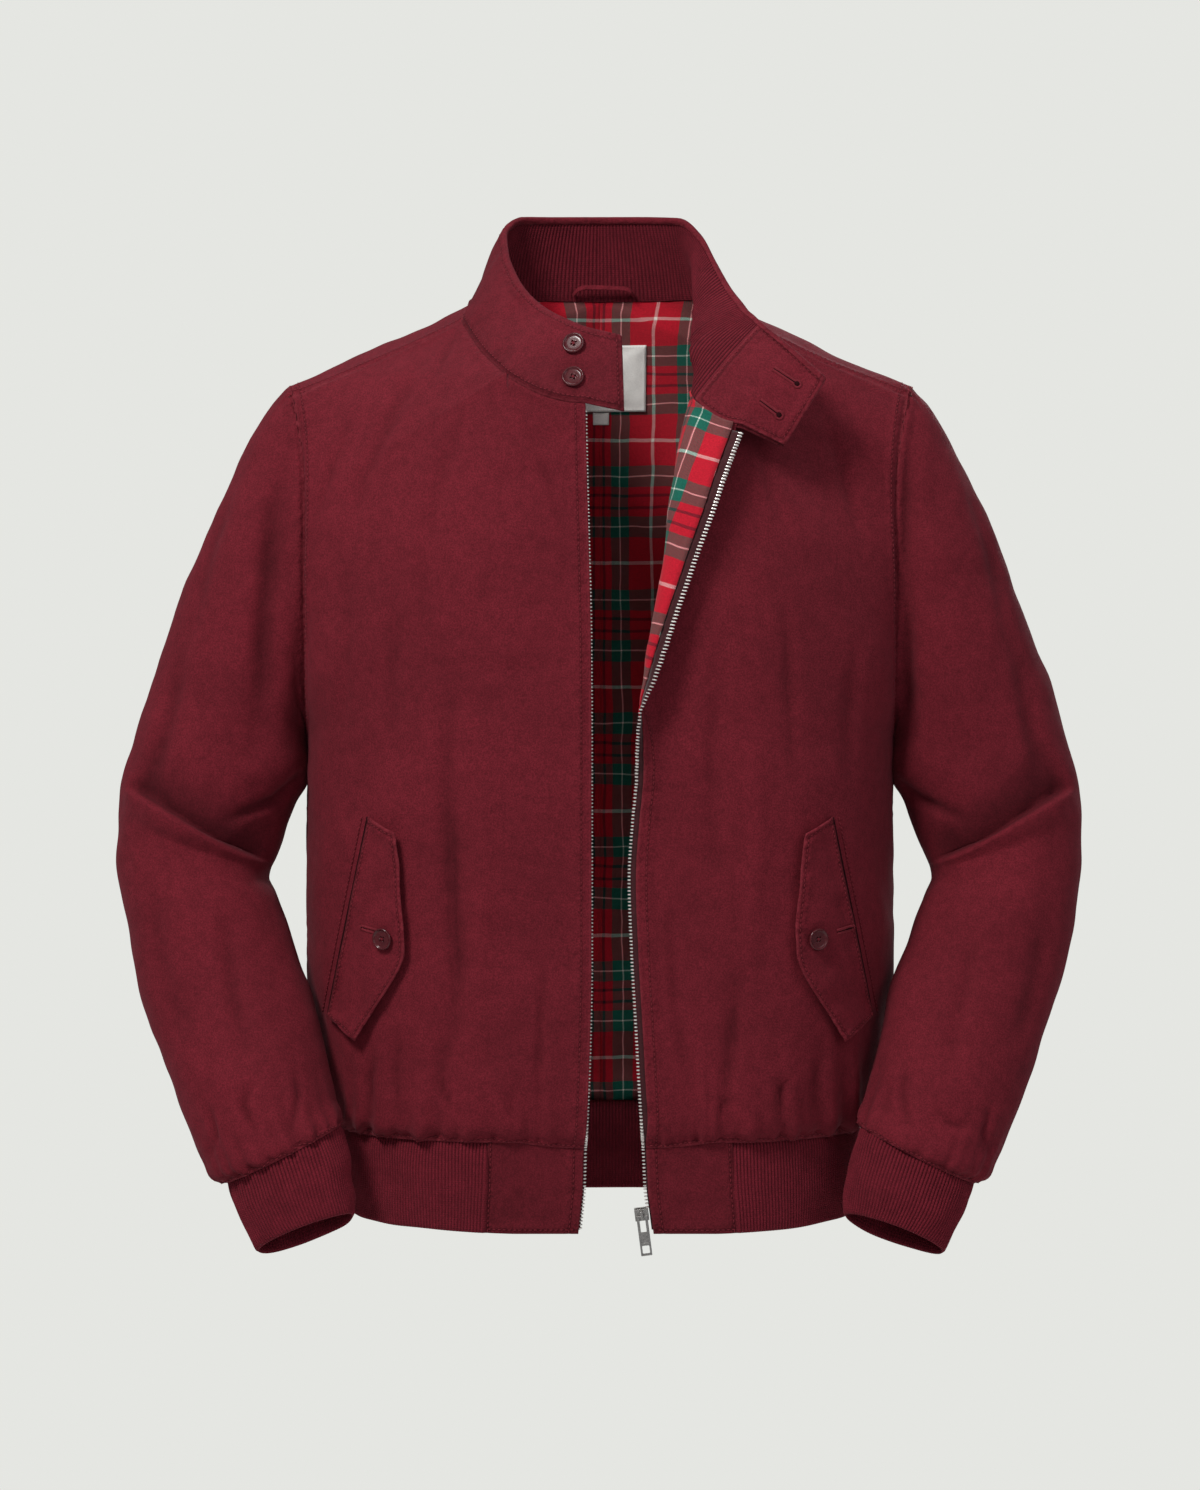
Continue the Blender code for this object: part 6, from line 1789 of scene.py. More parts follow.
def zip_pieces(sheets, done, side_, looks):
    """A half of the zip. Returns the middle line of its chain's bar and the way out of the cloth there."""
    edge, inside, away, out, out_inside, under = zip_rows(sheets, done, side_)
    columns = [inside - out_inside * (under + 0.0001), inside * 0.5 + edge * 0.5 - out * (under + 0.0001)]
    columns += [edge - out * under, *(edge + away * TAPE_REACH * share - out * under for share in (0.6, 1.0))]
    grid = np.stack(columns, axis=1)[::-1]
    tape = Sheet(grid, False, constant((0, -1, 0)))
    lean = np.stack([out_inside, out, out, out, out], axis=1)[::-1]
    flip = np.sign((tape.n * lean).sum(axis=-1, keepdims=True))
    tape.n = tape.n * np.where(flip == 0, 1, flip)
    q = np.nan_to_num(tape.p).reshape(-1, 3)[tape.index]
    face = np.cross(q[:, 2] - q[:, 0], q[:, 3] - q[:, 1])
    tape.turned = float((face * lean.reshape(-1, 3)[tape.index[:, 0]]).sum()) < 0
    made = wall(f"zip_tape_{side_}_woven", tape, np.zeros(tape.here.shape), 0.0, TAPE_WALL, looks["tape"])
    declare(made, f"zip_tape_{side_}")
    level = out * (under + TAPE_WALL / 2)
    teeth(side_, edge + away * TOOTH_AWAY[side_] - level, away, out, looks)
    return edge + away * (TAPE_REACH + CHAIN_OFF + CHAIN_SIZE[0] / 2) - level, out


def teeth(side_, centres, away, out, looks):
    """A row of teeth. Each is a prism, narrower at its tip."""
    gone = lengths_to(centres)
    stop = gone[-1] if side_ == "right" else np.interp(-HEM_STOP, -centres[:, 2], gone)
    at = np.arange(TOOTH_PITCH / 2 + (TOOTH_PITCH / 2 if side_ == "right" else 0), stop, TOOTH_PITCH)
    middle, a, o = (read_at(at, gone, rows) for rows in (centres, away, out))
    a, o = unit(a), unit(o)
    o = unit(o - a * (a * o).sum(axis=1, keepdims=True))
    t = np.cross(a, o)
    points, faces = [], []
    n = len(TOOTH)
    wide = 1.0 + (WIDER_ABOVE * smooth(middle[:, 2], -0.32, -0.26) if side_ == "left" else 0.0 * at)
    for i in range(len(at)):
        base = len(points)
        for end in (-1, 1):
            for x, y in TOOTH:
                half = TOOTH_HALF * (1.0 if x < TOOTH_TIP[0] else TOOTH_TIP[1])
                points.append(middle[i] + a[i] * x * wide[i] + o[i] * y + t[i] * half * end)
        for k in range(n):
            faces.append((base + k, base + (k + 1) % n, base + n + (k + 1) % n, base + n + k))
        for k in range(1, n // 2):
            faces.append((base + k, base + k - 1, base + n - k, base + n - k - 1))
            faces.append((base + n + k - 1, base + n + k, base + 2 * n - k - 1, base + 2 * n - k))
    name = f"zip_chain_{side_}_teeth"
    mesh = mesh_from(name, points, faces, np.zeros(len(faces), bool))
    stand_for(link(name, mesh, looks["nickel"]), f"zip_chain_{side_}")


def solid_mesh(name, size, centre, bevel):
    """A rounded block."""
    made = bmesh.new()
    bmesh.ops.create_cube(made, size=1.0)
    for v in made.verts:
        v.co = Vector([v.co[k] * size[k] + centre[k] for k in range(3)])
    if bevel:
        bmesh.ops.bevel(made, geom=list(made.edges), offset=bevel, segments=3, affect="EDGES", profile=0.6)
    mesh = bpy.data.meshes.new(name)
    made.to_mesh(mesh)
    made.free()
    return mesh


def joined(name, blocks, matrix, shader, body, cuts=()):
    """Rounded blocks, less the cuts, as one mesh placed by a matrix."""
    base = bpy.data.objects.new(name, solid_mesh(name, *blocks[0]))
    bpy.context.scene.collection.objects.link(base)
    helpers = []
    for k, (operation, block) in enumerate([("UNION", b) for b in blocks[1:]] + [("DIFFERENCE", c) for c in cuts]):
        helper = bpy.data.objects.new(f"{name}_{k}", solid_mesh(f"{name}_{k}", *block))
        bpy.context.scene.collection.objects.link(helper)
        step = base.modifiers.new(f"step_{k}", "BOOLEAN")
        step.operation, step.solver, step.object = operation, "EXACT", helper
        helpers.append(helper)
    bpy.context.view_layer.update()
    mesh = bpy.data.meshes.new_from_object(base.evaluated_get(bpy.context.evaluated_depsgraph_get()))
    for thing in (base, *helpers):
        bpy.data.objects.remove(thing, do_unlink=True)
    mesh.name = name
    mesh.transform(matrix)
    mesh.materials.clear()
    mesh.polygons.foreach_set("use_smooth", np.ones(len(mesh.polygons), bool))
    made = link(name, mesh, shader, body)
    smoothing = made.modifiers.new("weight", "WEIGHTED_NORMAL")
    smoothing.keep_sharp = True
    mesh.set_sharp_from_angle(angle=math.radians(38))
    return made


# The thickness of the slider's two plates, and how far in front of its CAD box's middle it sits.
SLIDER_PLATE = 0.0011
SLIDER_AHEAD = 0.0010


def slider_pieces(centres, out, looks):
    """The slider, turned along the chain, and its pull."""
    level = follow(HEM, SLIDER_H)[1]
    order = np.argsort(centres[:, 2])
    z = centres[order, 2]
    up = unit(read_at(level + 0.006, z, centres[order]) - read_at(level - 0.006, z, centres[order]))
    right = unit(np.cross(unit(read_at(level, z, out[order])), up))
    right = right if right[0] > 0 else -right
    front = np.cross(right, up)
    low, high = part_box("zip_slider")
    middle = (np.array(low) + np.array(high)) / 2
    matrix = placed(turn_of(right, front), middle - front * SLIDER_AHEAD)
    wide, deep, tall = SLIDER_SIZE
    plate = SLIDER_PLATE
    blocks = [
        ((wide, plate, tall), (0, -deep / 2 + plate / 2, 0), 0.0004),
        ((wide, plate, tall), (0, deep / 2 - plate / 2, 0), 0.0004),
        ((SLIDER_WEB * 1.6, deep, tall * 0.5), (0, 0, tall * 0.22), 0.0002),
        *(((0.0009, deep * 0.8, tall * 0.8), (sign * (wide / 2 - 0.00045), -deep * 0.1, -0.0004), 0.0002)
          for sign in (-1, 1)),
        ((0.0022, 0.0034, 0.0068), (0, -deep / 2 - 0.0014, 0), 0.0006),
    ]
    cuts = [((0.0050, 0.0021, 0.0040), (0, -deep / 2 - 0.0010, 0.0), 0.0003)]
    body = joined("zip_slider_metal", blocks, matrix, looks["steel"], BODY, cuts)
    stand_for(body, "zip_slider")
    pull_piece(looks)


def pull_piece(looks):
    """The pull, hung on its joint."""
    joint = frame["joints"][0]
    pivot = np.array(joint["pos_m"])
    wide, deep, tall = PULL_SIZE
    axis = -unit(np.array(joint["axis"]))
    up = unit(np.array([0.0, 0.0, 1.0]) - axis * axis[2])
    matrix = placed(turn_of(axis, np.cross(axis, up)), pivot)
    top = PULL_BAR / 2
    foot = top - tall + PULL_FOOT + PULL_WINDOW[1] / 2
    blocks = [((wide, deep, tall), (0, 0, top - tall / 2), 0.0006)]
    cuts = [
        ((PULL_SLOT[0], deep * 3, PULL_SLOT[1]), (0, 0, -top - PULL_SLOT[1] / 2), 0.0007),
        ((PULL_WINDOW[0], deep * 3, PULL_WINDOW[1]), (0, 0, foot), 0.0008),
        ((wide * 0.62, deep, 0.0072), (0, -deep * 0.86, foot + PULL_WINDOW[1] / 2 + 0.0054), 0.0003),
    ]
    tab = joined("pull_tab_metal", blocks, matrix, looks["steel"], "pull_tab", cuts)
    stand_for(tab, "pull_tab")


# How far a label's outer face stands off the lining, and the pitch, length and radius of the labels' stitches.
LABEL_LIFT = 0.0011
LABEL_STITCH = (0.0022, 0.0018, 0.00017)
TAB_STITCH = (0.0020, 0.0016, 0.00016)


def label_pieces(lining_tree, looks, thread):
    """The blank neck label and the tab below it, laid on the lining."""
    for name, (x0, x1, top, bottom), (across_, up) in (
            ("neck_label", (-LABEL_HALF, LABEL_HALF, LABEL_TOP, LABEL_BOTTOM), (36, 28)),
            ("size_label", SIZE_TAB, (14, 12))):
        xs, zs = np.linspace(x0, x1, across_), np.linspace(bottom, top, up)
        hits = [[lining_tree.ray_cast(Vector((x, -0.02, z)), Vector((0, 1, 0)))[0] for x in xs] for z in zs]
        grid = np.array([[(x, (hit.y if hit else 0.09) - LABEL_LIFT, z) for x, hit in zip(xs, row)]
                         for z, row in zip(zs, hits)])
        for _ in range(8):
            grid[..., 1] = np.minimum(evened(grid[..., 1]), grid[..., 1])
        sheet = Sheet(grid, False, constant((0, -1, 0)))
        bulge = 0.0009 * smooth(sheet.edge, 0.0, 0.010)
        bulge = bulge + waves(grid, 131, (0.015, 0.05), 0.0003) * smooth(sheet.edge, 0, 0.006)
        made = wall(f"{name}_woven", sheet, bulge, 0.0, LABEL_WALL, looks["label"])
        declare(made, name)
        outer = sheet.p + sheet.n * bulge[..., None]
        if name == "neck_label":
            for first in (True, False):
                thread.across(sheet, outer, range(1, len(zs) - 1), 0.0016, first, *LABEL_STITCH)
                thread.along(sheet, outer, range(1, len(xs) - 1), 0.0016, first, *LABEL_STITCH)
        else:
            thread.along(sheet, outer, range(1, len(xs) - 1), 0.0012, False, *TAB_STITCH)


def loop_piece(looks):
    """The hanger loop, a folded strip of the cloth."""
    q = np.linspace(0, 1, 60)
    places = follow(LOOP, q)
    along = unit(np.gradient(places, axis=0))
    thick = unit(np.cross(along, np.array([0.0, 0.35, 1.0])))
    wide = unit(np.cross(thick, along))
    section = []
    for k in range(20):
        a = 2 * math.pi * k / 20
        x = math.copysign(abs(math.cos(a)) ** 0.45, math.cos(a)) * LOOP_SIZE[0] / 2
        y = math.copysign(abs(math.sin(a)) ** 0.6, math.sin(a)) * LOOP_SIZE[1] / 2
        section.append((x * 0.78, y * 0.72))
    grid = np.array([[p + w * x + t * y for x, y in section] for p, w, t in zip(places, wide, thick)])

    def away(points):
        near = np.argmin(np.linalg.norm(points[:, None] - places[None], axis=2), axis=1)
        return points - places[near]
    quads, uv = facets(Sheet(grid, True, away))
    mesh = mesh_from("hanger_loop_cloth", grid.reshape(-1, 3), quads, None, uv,
                     (("edge", np.full(grid[..., 0].size, 0.004)), ("sewn", np.full(grid[..., 0].size, NOT_SEWN))))
    stand_for(link("hanger_loop_cloth", mesh, looks["twill"]), "hanger_loop")


# ---------------------------------------------------------------- materials

# Colours, linear.
TWILL = (0.150, 0.0118, 0.0205)
KNIT = (0.128, 0.0100, 0.0180)
THREAD = (0.175, 0.0140, 0.0235)
WORN = (0.240, 0.030, 0.042)
PLASTIC = (0.066, 0.0072, 0.0104)
PALER_PLASTIC = (0.084, 0.0105, 0.0140)
TAPE = (0.046, 0.0046, 0.0075)
NICKEL = (0.960, 0.930, 0.880)
STEEL = (0.400, 0.385, 0.365)
SATIN = (0.980, 0.970, 0.930)
RED = (0.500, 0.0090, 0.0250)
GREEN = (0.0060, 0.1150, 0.0800)
PALE = (0.820, 0.760, 0.680)
DARK = (0.0400, 0.0090, 0.0160)
# Painted shade: the colour that stands for the shadow deep in slots.
PAINTED_SLOT_SHADE = (0.018, 0.0022, 0.0035)

# The tartan's stripes up the warp, in mm: two broad red blocks round a pale line, then narrow green, white and dark
# ones.
SETT = ((18.6, RED), (2.3, PALE), (18.6, RED), (7.4, GREEN), (1.2, PALE), (7.4, GREEN), (5.5, RED), (2.2, DARK),
        (6.8, RED), (2.2, DARK), (5.5, RED), (7.4, GREEN), (1.2, PALE), (7.4, GREEN))
# The sett's size across and up, as shares of what its widths say, and where the middle of its first pale line is.
SETT_SIZE = (0.980, 1.016)
THICK = 0.01975


class Nodes:
    """Short calls for building a material's nodes."""

    def __init__(self, name):
        self.material = bpy.data.materials.new(name)
        self.material.use_nodes = True
        self.tree = self.material.node_tree
        self.shader = self.tree.nodes["Principled BSDF"]

    def put(self, socket, value):
        """Links an output to a socket, or sets its constant; a colour may leave out its alpha."""
        if isinstance(value, bpy.types.NodeSocket):
            self.tree.links.new(value, socket)
        elif value is not None:
            socket.default_value = (*value, 1.0) if socket.type == "RGBA" and len(value) == 3 else value

    def node(self, kind, inputs=(), **settings):
        made = self.tree.nodes.new(kind)
        for key, value in settings.items():
            setattr(made, key, value)
        for key, value in dict(inputs).items():
            self.put(made.inputs[key], value)
        return made

    def set(self, **values):
        for key, value in values.items():
            self.put(self.shader.inputs[key.replace("_", " ")], value)

    def math(self, operation, a, b=None):
        return self.node("ShaderNodeMath", {0: a, 1: b}, operation=operation).outputs[0]

    def range(self, value, low, high, to_low=0.0, to_high=1.0):
        """A soft step from one value to another."""
        return self.node("ShaderNodeMapRange", {"Value": value, "From Min": low, "From Max": high, "To Min": to_low,
                                                "To Max": to_high}, interpolation_type="SMOOTHSTEP").outputs[0]

    def mix(self, kind, factor, a, b):
        return self.node("ShaderNodeMix", {0: factor, 6: a, 7: b}, data_type="RGBA", blend_type=kind).outputs[2]

    def shaded(self, colour, value, amount=1.0):
        """A colour times a value."""
        grey = self.node("ShaderNodeCombineColor", {"Red": value, "Green": value, "Blue": value}).outputs[0]
        return self.mix("MULTIPLY", amount, colour, grey)

    def noise(self, vector, scale, detail=2.0, rough=0.5):
        return self.node("ShaderNodeTexNoise", {"Vector": vector, "Scale": scale, "Detail": detail,
                                                "Roughness": rough}).outputs[0]

    def where(self):
        return self.node("ShaderNodeTexCoord").outputs["Object"]

    def cloth(self):
        """(across, up) of the cloth's own pattern, in metres."""
        cloth = self.node("ShaderNodeUVMap", uv_map="cloth").outputs[0]
        return self.node("ShaderNodeSeparateXYZ", {"Vector": cloth}).outputs[:2]

    def given(self, name):
        """A number that the mesh carries at each of its points."""
        return self.node("ShaderNodeAttribute", attribute_name=name).outputs["Fac"]

    def bump(self, height, strength, distance, before=None):
        return self.node("ShaderNodeBump", {"Height": height, "Strength": strength, "Distance": distance,
                                            "Normal": before}).outputs[0]

    def sine(self, value, period):
        """A wave between 0 and 1."""
        wave = self.math("SINE", self.math("MULTIPLY", value, 2 * math.pi / period))
        return self.math("ADD", self.math("MULTIPLY", wave, 0.5), 0.5)


def mottled(n, colour, where, fine=900.0, amount=1.0):
    """A colour with the uneven depth of garment-dyed cotton: broad clouds, small patches and fine specks."""
    broad = n.range(n.noise(where, 14.0, 2.0), 0.3, 0.7, 1 - 0.07 * amount, 1 + 0.07 * amount)
    patches = n.range(n.noise(where, 120.0, 3.0, 0.6), 0.3, 0.7, 1 - 0.09 * amount, 1 + 0.09 * amount)
    specks = n.range(n.noise(where, fine, 2.0, 0.7), 0.30, 0.70, 1 - 0.26 * amount, 1 + 0.26 * amount)
    total = n.math("MULTIPLY", n.math("MULTIPLY", broad, patches), specks)
    return n.shaded(colour, total)


def twill_look():
    """The dyed cotton twill: its ridges, painted shade in its hollows and along the grooves of its stitched seams, worn
    edges, and puckers beside the stitches.
    """
    n = Nodes("twill_cloth")
    where, (across_, up) = n.where(), n.cloth()
    slope = n.math("ADD", across_, n.math("MULTIPLY", up, 0.85))
    jitter = n.math("MULTIPLY", n.noise(where, 700.0), 0.0005)
    ridge = n.sine(n.math("ADD", slope, jitter), 0.00105)
    edge = n.given("edge")
    stitched = n.math("ABSOLUTE", n.given("sewn"))
    groove = n.range(stitched, 0.0, 0.0015, 1.0, 0.0)
    worn = n.range(edge, 0.0004, 0.0026, 1.0, 0.0)
    worn = n.math("MULTIPLY", worn, n.range(n.noise(where, 260.0, 3.0), 0.34, 0.60))
    base = mottled(n, TWILL, where)
    base = n.mix("MIX", n.math("MULTIPLY", worn, 0.50), base, WORN)
    # Painted shade: the colour darkens where the "relief" attribute is low, in the hollows of folds and seams and where
    # pieces carry extra shade in it. It is a touch lighter where the attribute is high, and darkens more in the grooves
    # along rows of stitches.
    deep = n.range(n.given("relief"), -7.0, 0.1, 0.56, 1.02)
    deep = n.math("MULTIPLY", deep, n.range(groove, 0.0, 1.0, 1.0, 0.62))
    base = n.shaded(n.shaded(base, deep), ridge, 0.25)
    pucker_mask = n.math("MAXIMUM", n.range(edge, 0.002, 0.012, 0.8, 0.0), n.range(stitched, 0.0, 0.008, 1.0, 0.0))
    pucker = n.noise(where, 190.0, 2.0, 0.5)
    fuzz = n.noise(where, 1600.0, 3.0, 0.7)
    soft = n.noise(where, 55.0, 3.0, 0.55)
    bump = n.bump(soft, 0.26, 0.0030)
    bump = n.bump(n.math("MULTIPLY", pucker, pucker_mask), 0.75, 0.0030, bump)
    bump = n.bump(groove, -0.8, 0.0007, bump)
    bump = n.bump(ridge, 0.35, 0.00018, bump)
    bump = n.bump(fuzz, 0.45, 0.00035, bump)
    n.set(Base_Color=base, Roughness=0.86, Sheen_Weight=0.07, Sheen_Roughness=0.5, Sheen_Tint=(0.80, 0.30, 0.36),
          Specular_IOR_Level=0.12, Normal=bump)
    return n.material


def knit_look():
    """The ribbed knit, with painted shade between its ridges."""
    n = Nodes("rib_knit")
    where = n.where()
    loops = n.sine(n.cloth()[1], 0.00155)
    # Painted shade: the knit's colour darkens between its ridges by the "relief" attribute, which carries the ribs'
    # profile with its painted shade.
    valley = n.range(n.given("relief"), 0.0, 0.85, 0.40, 1.10)
    base = n.shaded(mottled(n, KNIT, where, 1100.0), valley)
    fuzz = n.noise(where, 1500.0, 3.0, 0.7)
    bump = n.bump(loops, 0.55, 0.00030)
    bump = n.bump(fuzz, 0.5, 0.00035, bump)
    n.set(Base_Color=base, Roughness=0.9, Sheen_Weight=0.07, Sheen_Roughness=0.6, Sheen_Tint=(0.75, 0.30, 0.36),
          Specular_IOR_Level=0.10, Normal=bump)
    return n.material


def stripe(n, value, size):
    """The sett's colour at a distance in metres across it, as its square root so that crossing stripes mix as seen."""
    whole = sum(width for width, _ in SETT) * 0.001 * size
    at = n.math("FRACT", n.math("DIVIDE", value, whole))
    ramp = n.node("ShaderNodeValToRGB", {"Fac": at})
    colours = ramp.color_ramp
    colours.interpolation = "CONSTANT"
    gone = 0.0
    for k, (width, colour) in enumerate(SETT):
        stop = colours.elements[k] if k < 2 else colours.elements.new(gone)
        stop.position = gone
        stop.color = (*colour, 1.0)
        gone += width / sum(w for w, _ in SETT)
    return n.node("ShaderNodeGamma", {"Color": ramp.outputs[0], "Gamma": 0.5}).outputs[0]


def check_look():
    """The tartan: the sett up and across, crossed by a twill."""
    n = Nodes("tartan_lining")
    where, (across_, up) = n.where(), n.cloth()
    drift = n.math("MULTIPLY", n.math("SUBTRACT", n.noise(where, 30.0), 0.5), 0.004)
    warp = stripe(n, n.math("ADD", across_, drift), SETT_SIZE[0])
    weft = stripe(n, n.math("ADD", up, drift), SETT_SIZE[1])
    diagonal = n.sine(n.math("ADD", across_, up), 0.0014)
    over = n.range(diagonal, 0.25, 0.75, 0.32, 0.68)
    both = n.node("ShaderNodeGamma", {"Color": n.mix("MIX", over, warp, weft), "Gamma": 2.0}).outputs[0]
    blur = n.range(n.noise(where, 1100.0, 3.0, 0.7), 0.25, 0.75, 0.78, 1.22)
    base = n.shaded(both, blur)
    fuzz = n.noise(where, 1300.0, 3.0, 0.75)
    soft = n.noise(where, 60.0, 3.0, 0.5)
    bump = n.bump(soft, 0.30, 0.0025)
    bump = n.bump(diagonal, 0.25, 0.00018, bump)
    bump = n.bump(fuzz, 0.5, 0.0004, bump)
    n.set(Base_Color=base, Roughness=0.92, Sheen_Weight=0.12, Sheen_Roughness=0.6, Sheen_Tint=(0.95, 0.75, 0.72),
          Specular_IOR_Level=0.10, Normal=bump)
    return n.material


def thread_look():
    """Matt sewing thread a little lighter than the cloth."""
    n = Nodes("stitch_thread")
    base = mottled(n, THREAD, n.where(), 1400.0, 0.6)
    n.set(Base_Color=base, Roughness=0.72, Specular_IOR_Level=0.22,
          Normal=n.bump(n.noise(n.where(), 2600.0), 0.3, 0.0001))
    return n.material


def button_look():
    """Swirled dark plastic, polished and a little scuffed."""
    n = Nodes("button_plastic")
    where = n.where()
    swirl = n.node("ShaderNodeTexNoise", {"Vector": where, "Scale": 170.0, "Detail": 3.0, "Distortion": 2.2}).outputs[0]
    base = n.mix("MIX", n.range(swirl, 0.35, 0.65), PLASTIC, PALER_PLASTIC)
    scuff = n.range(n.noise(where, 900.0, 4.0, 0.7), 0.45, 0.75, 0.24, 0.34)
    n.set(Base_Color=base, Roughness=scuff, Coat_Weight=0.16, Coat_Roughness=0.10, Specular_IOR_Level=0.28,
          Normal=n.bump(n.noise(where, 500.0, 3.0), 0.02, 0.0004))
    return n.material


def tape_look():
    """The zip tape's herringbone."""
    n = Nodes("zip_tape_weave")
    where, (across_, up) = n.where(), n.cloth()
    zig = n.math("PINGPONG", across_, 0.0012)
    weave = n.sine(n.math("ADD", up, zig), 0.0011)
    base = mottled(n, TAPE, where, 1200.0)
    bump = n.bump(weave, 0.6, 0.0002)
    n.set(Base_Color=base, Roughness=0.78, Sheen_Weight=0.2, Sheen_Roughness=0.5, Specular_IOR_Level=0.25, Normal=bump)
    return n.material


def metal_look(name, colour, metallic):
    """Worn metal, uneven in tone and in polish."""
    n = Nodes(name)
    where = n.where()
    tone = n.range(n.noise(where, 420.0, 4.0, 0.6), 0.3, 0.7, 0.86, 1.04)
    base = n.shaded(colour, tone)
    rough = n.range(n.noise(where, 900.0, 3.0, 0.6), 0.3, 0.7, 0.24, 0.42)
    n.set(Base_Color=base, Metallic=metallic, Roughness=rough, Specular_IOR_Level=0.6,
          Normal=n.bump(n.noise(where, 1400.0, 3.0), 0.12, 0.0003))
    return n.material


def label_look():
    """Woven satin, darker at its folded edge."""
    n = Nodes("label_satin")
    warp, weft = (n.sine(value, 0.0006) for value in n.cloth())
    base = mottled(n, SATIN, n.where(), 1500.0, 0.3)
    base = n.shaded(base, n.range(n.given("edge"), 0.0006, 0.0014, 0.82, 1.0))
    bump = n.bump(n.math("MULTIPLY", weft, warp), 0.4, 0.0001)
    n.set(Base_Color=base, Roughness=0.55, Sheen_Weight=0.25, Sheen_Roughness=0.4, Specular_IOR_Level=0.35, Normal=bump)
    return n.material


def ditch_shade_look():
    """Painted shade: the cloth's colour darkened, for a strip that stands for the shadow in the line that stitches draw
    in.
    """
    n = Nodes("topstitch_ditch_shade")
    n.set(Base_Color=mottled(n, tuple(0.66 * c for c in TWILL), n.where()), Roughness=0.9, Specular_IOR_Level=0.1,
          Normal=n.bump(n.noise(n.where(), 1600.0, 3.0, 0.7), 0.4, 0.0003))
    return n.material


def slot_shade_look():
    """Painted shade: near-black cloth, for strips and plugs that stand for the shadow deep in a slot."""
    n = Nodes("slot_shadow")
    n.set(Base_Color=mottled(n, PAINTED_SLOT_SHADE, n.where(), 1200.0), Roughness=0.95, Specular_IOR_Level=0.1)
    return n.material


# ---------------------------------------------------------------- camera and light

# The camera that the photo was found to have, the size of its picture in pixels, and its focal length in them.
CAMERA_AT = (0.0, -3.2, -0.206)
CAMERA_TO = (0.0, 0.0, -0.3213)
CAMERA_LENS = 104.26631722845137
PHOTO_SIZE = (1200, 1490)
SENSOR = 36.0
FOCAL_PX = CAMERA_LENS / SENSOR * PHOTO_SIZE[1]


def camera_turn():
    """The camera's own axes as columns."""
    back = unit(np.array(CAMERA_AT) - np.array(CAMERA_TO))
    right = unit(np.cross([0.0, 0.0, 1.0], back))
    return np.array([right, np.cross(back, right), back]).T


def sight(px, py):
    """The direction in which the camera sees a place in the picture."""
    x, y = (px - PHOTO_SIZE[0] / 2) / FOCAL_PX, -(py - PHOTO_SIZE[1] / 2) / FOCAL_PX
    return unit(camera_turn() @ np.array([x, y, -1.0]))


def aimed(name, at, to, size, power, colour):
    """An area light that points at a place."""
    data = bpy.data.lights.new(name, "AREA")
    data.shape = "RECTANGLE"
    data.size, data.size_y = size
    data.energy = power
    data.color = colour
    made = bpy.data.objects.new(name, data)
    made.location = at
    made.rotation_euler = (Vector(to) - Vector(at)).to_track_quat("-Z", "Y").to_euler()
    bpy.context.scene.collection.objects.link(made)


# Each light's name, place, aim, size in metres, power in watts and colour.
LIGHTS = (
    ("key", (-1.45, -1.95, 1.85), (0, 0, -0.30), (0.80, 0.80), 77.0, (1.0, 0.985, 0.965)),
    ("fill", (2.2, -2.5, 1.0), (0, 0, -0.30), (1.8, 2.0), 20.0, (0.96, 0.98, 1.0)),
    ("front", (0.3, -3.0, 0.2), (0, 0, -0.30), (1.2, 1.2), 4.5, (1.0, 1.0, 1.0)),
    ("top", (0.2, 0.5, 2.4), (0, 0, -0.2), (1.4, 1.4), 16.0, (1.0, 1.0, 1.0)),
    ("back", (1.2, 2.6, 0.8), (0, 0, -0.30), (1.0, 1.0), 24.0, (1.0, 0.99, 0.97)),
)
AMBIENT = (0.93, 0.95, 1.0)
AMBIENT_STRENGTH = 0.25
BACKDROP = (0.784, 0.792, 0.761)
# The floor's radius and height, and its paint's two tones.
FLOOR = (2.6, -1.85)
FLOOR_PAINT = ((0.80, 0.80, 0.78), (0.84, 0.84, 0.82))


def studio():
    """The camera, the lights, the backdrop and the floor."""
    data = bpy.data.cameras.new("camera")
    data.lens = CAMERA_LENS
    data.clip_start, data.clip_end = 0.05, 60
    camera = bpy.data.objects.new("camera", data)
    camera.matrix_world = placed(camera_turn(), CAMERA_AT)
    bpy.context.scene.collection.objects.link(camera)
    bpy.context.scene.camera = camera
    for light in LIGHTS:
        aimed(*light)
    world = bpy.data.worlds.new("studio")
    world.use_nodes = True
    bpy.context.scene.world = world
    tree = world.node_tree
    tree.nodes.clear()
    seen = tree.nodes.new("ShaderNodeBackground")
    seen.inputs["Color"].default_value = (*BACKDROP, 1.0)
    ambient = tree.nodes.new("ShaderNodeBackground")
    ambient.inputs["Color"].default_value = (*AMBIENT, 1.0)
    ambient.inputs["Strength"].default_value = AMBIENT_STRENGTH
    path = tree.nodes.new("ShaderNodeLightPath")
    mix = tree.nodes.new("ShaderNodeMixShader")
    out = tree.nodes.new("ShaderNodeOutputWorld")
    tree.links.new(path.outputs["Is Camera Ray"], mix.inputs[0])
    tree.links.new(ambient.outputs[0], mix.inputs[1])
    tree.links.new(seen.outputs[0], mix.inputs[2])
    tree.links.new(mix.outputs[0], out.inputs["Surface"])
    bpy.context.scene.view_settings.view_transform = "Standard"
    bpy.context.scene.view_settings.look = "None"
    floor()


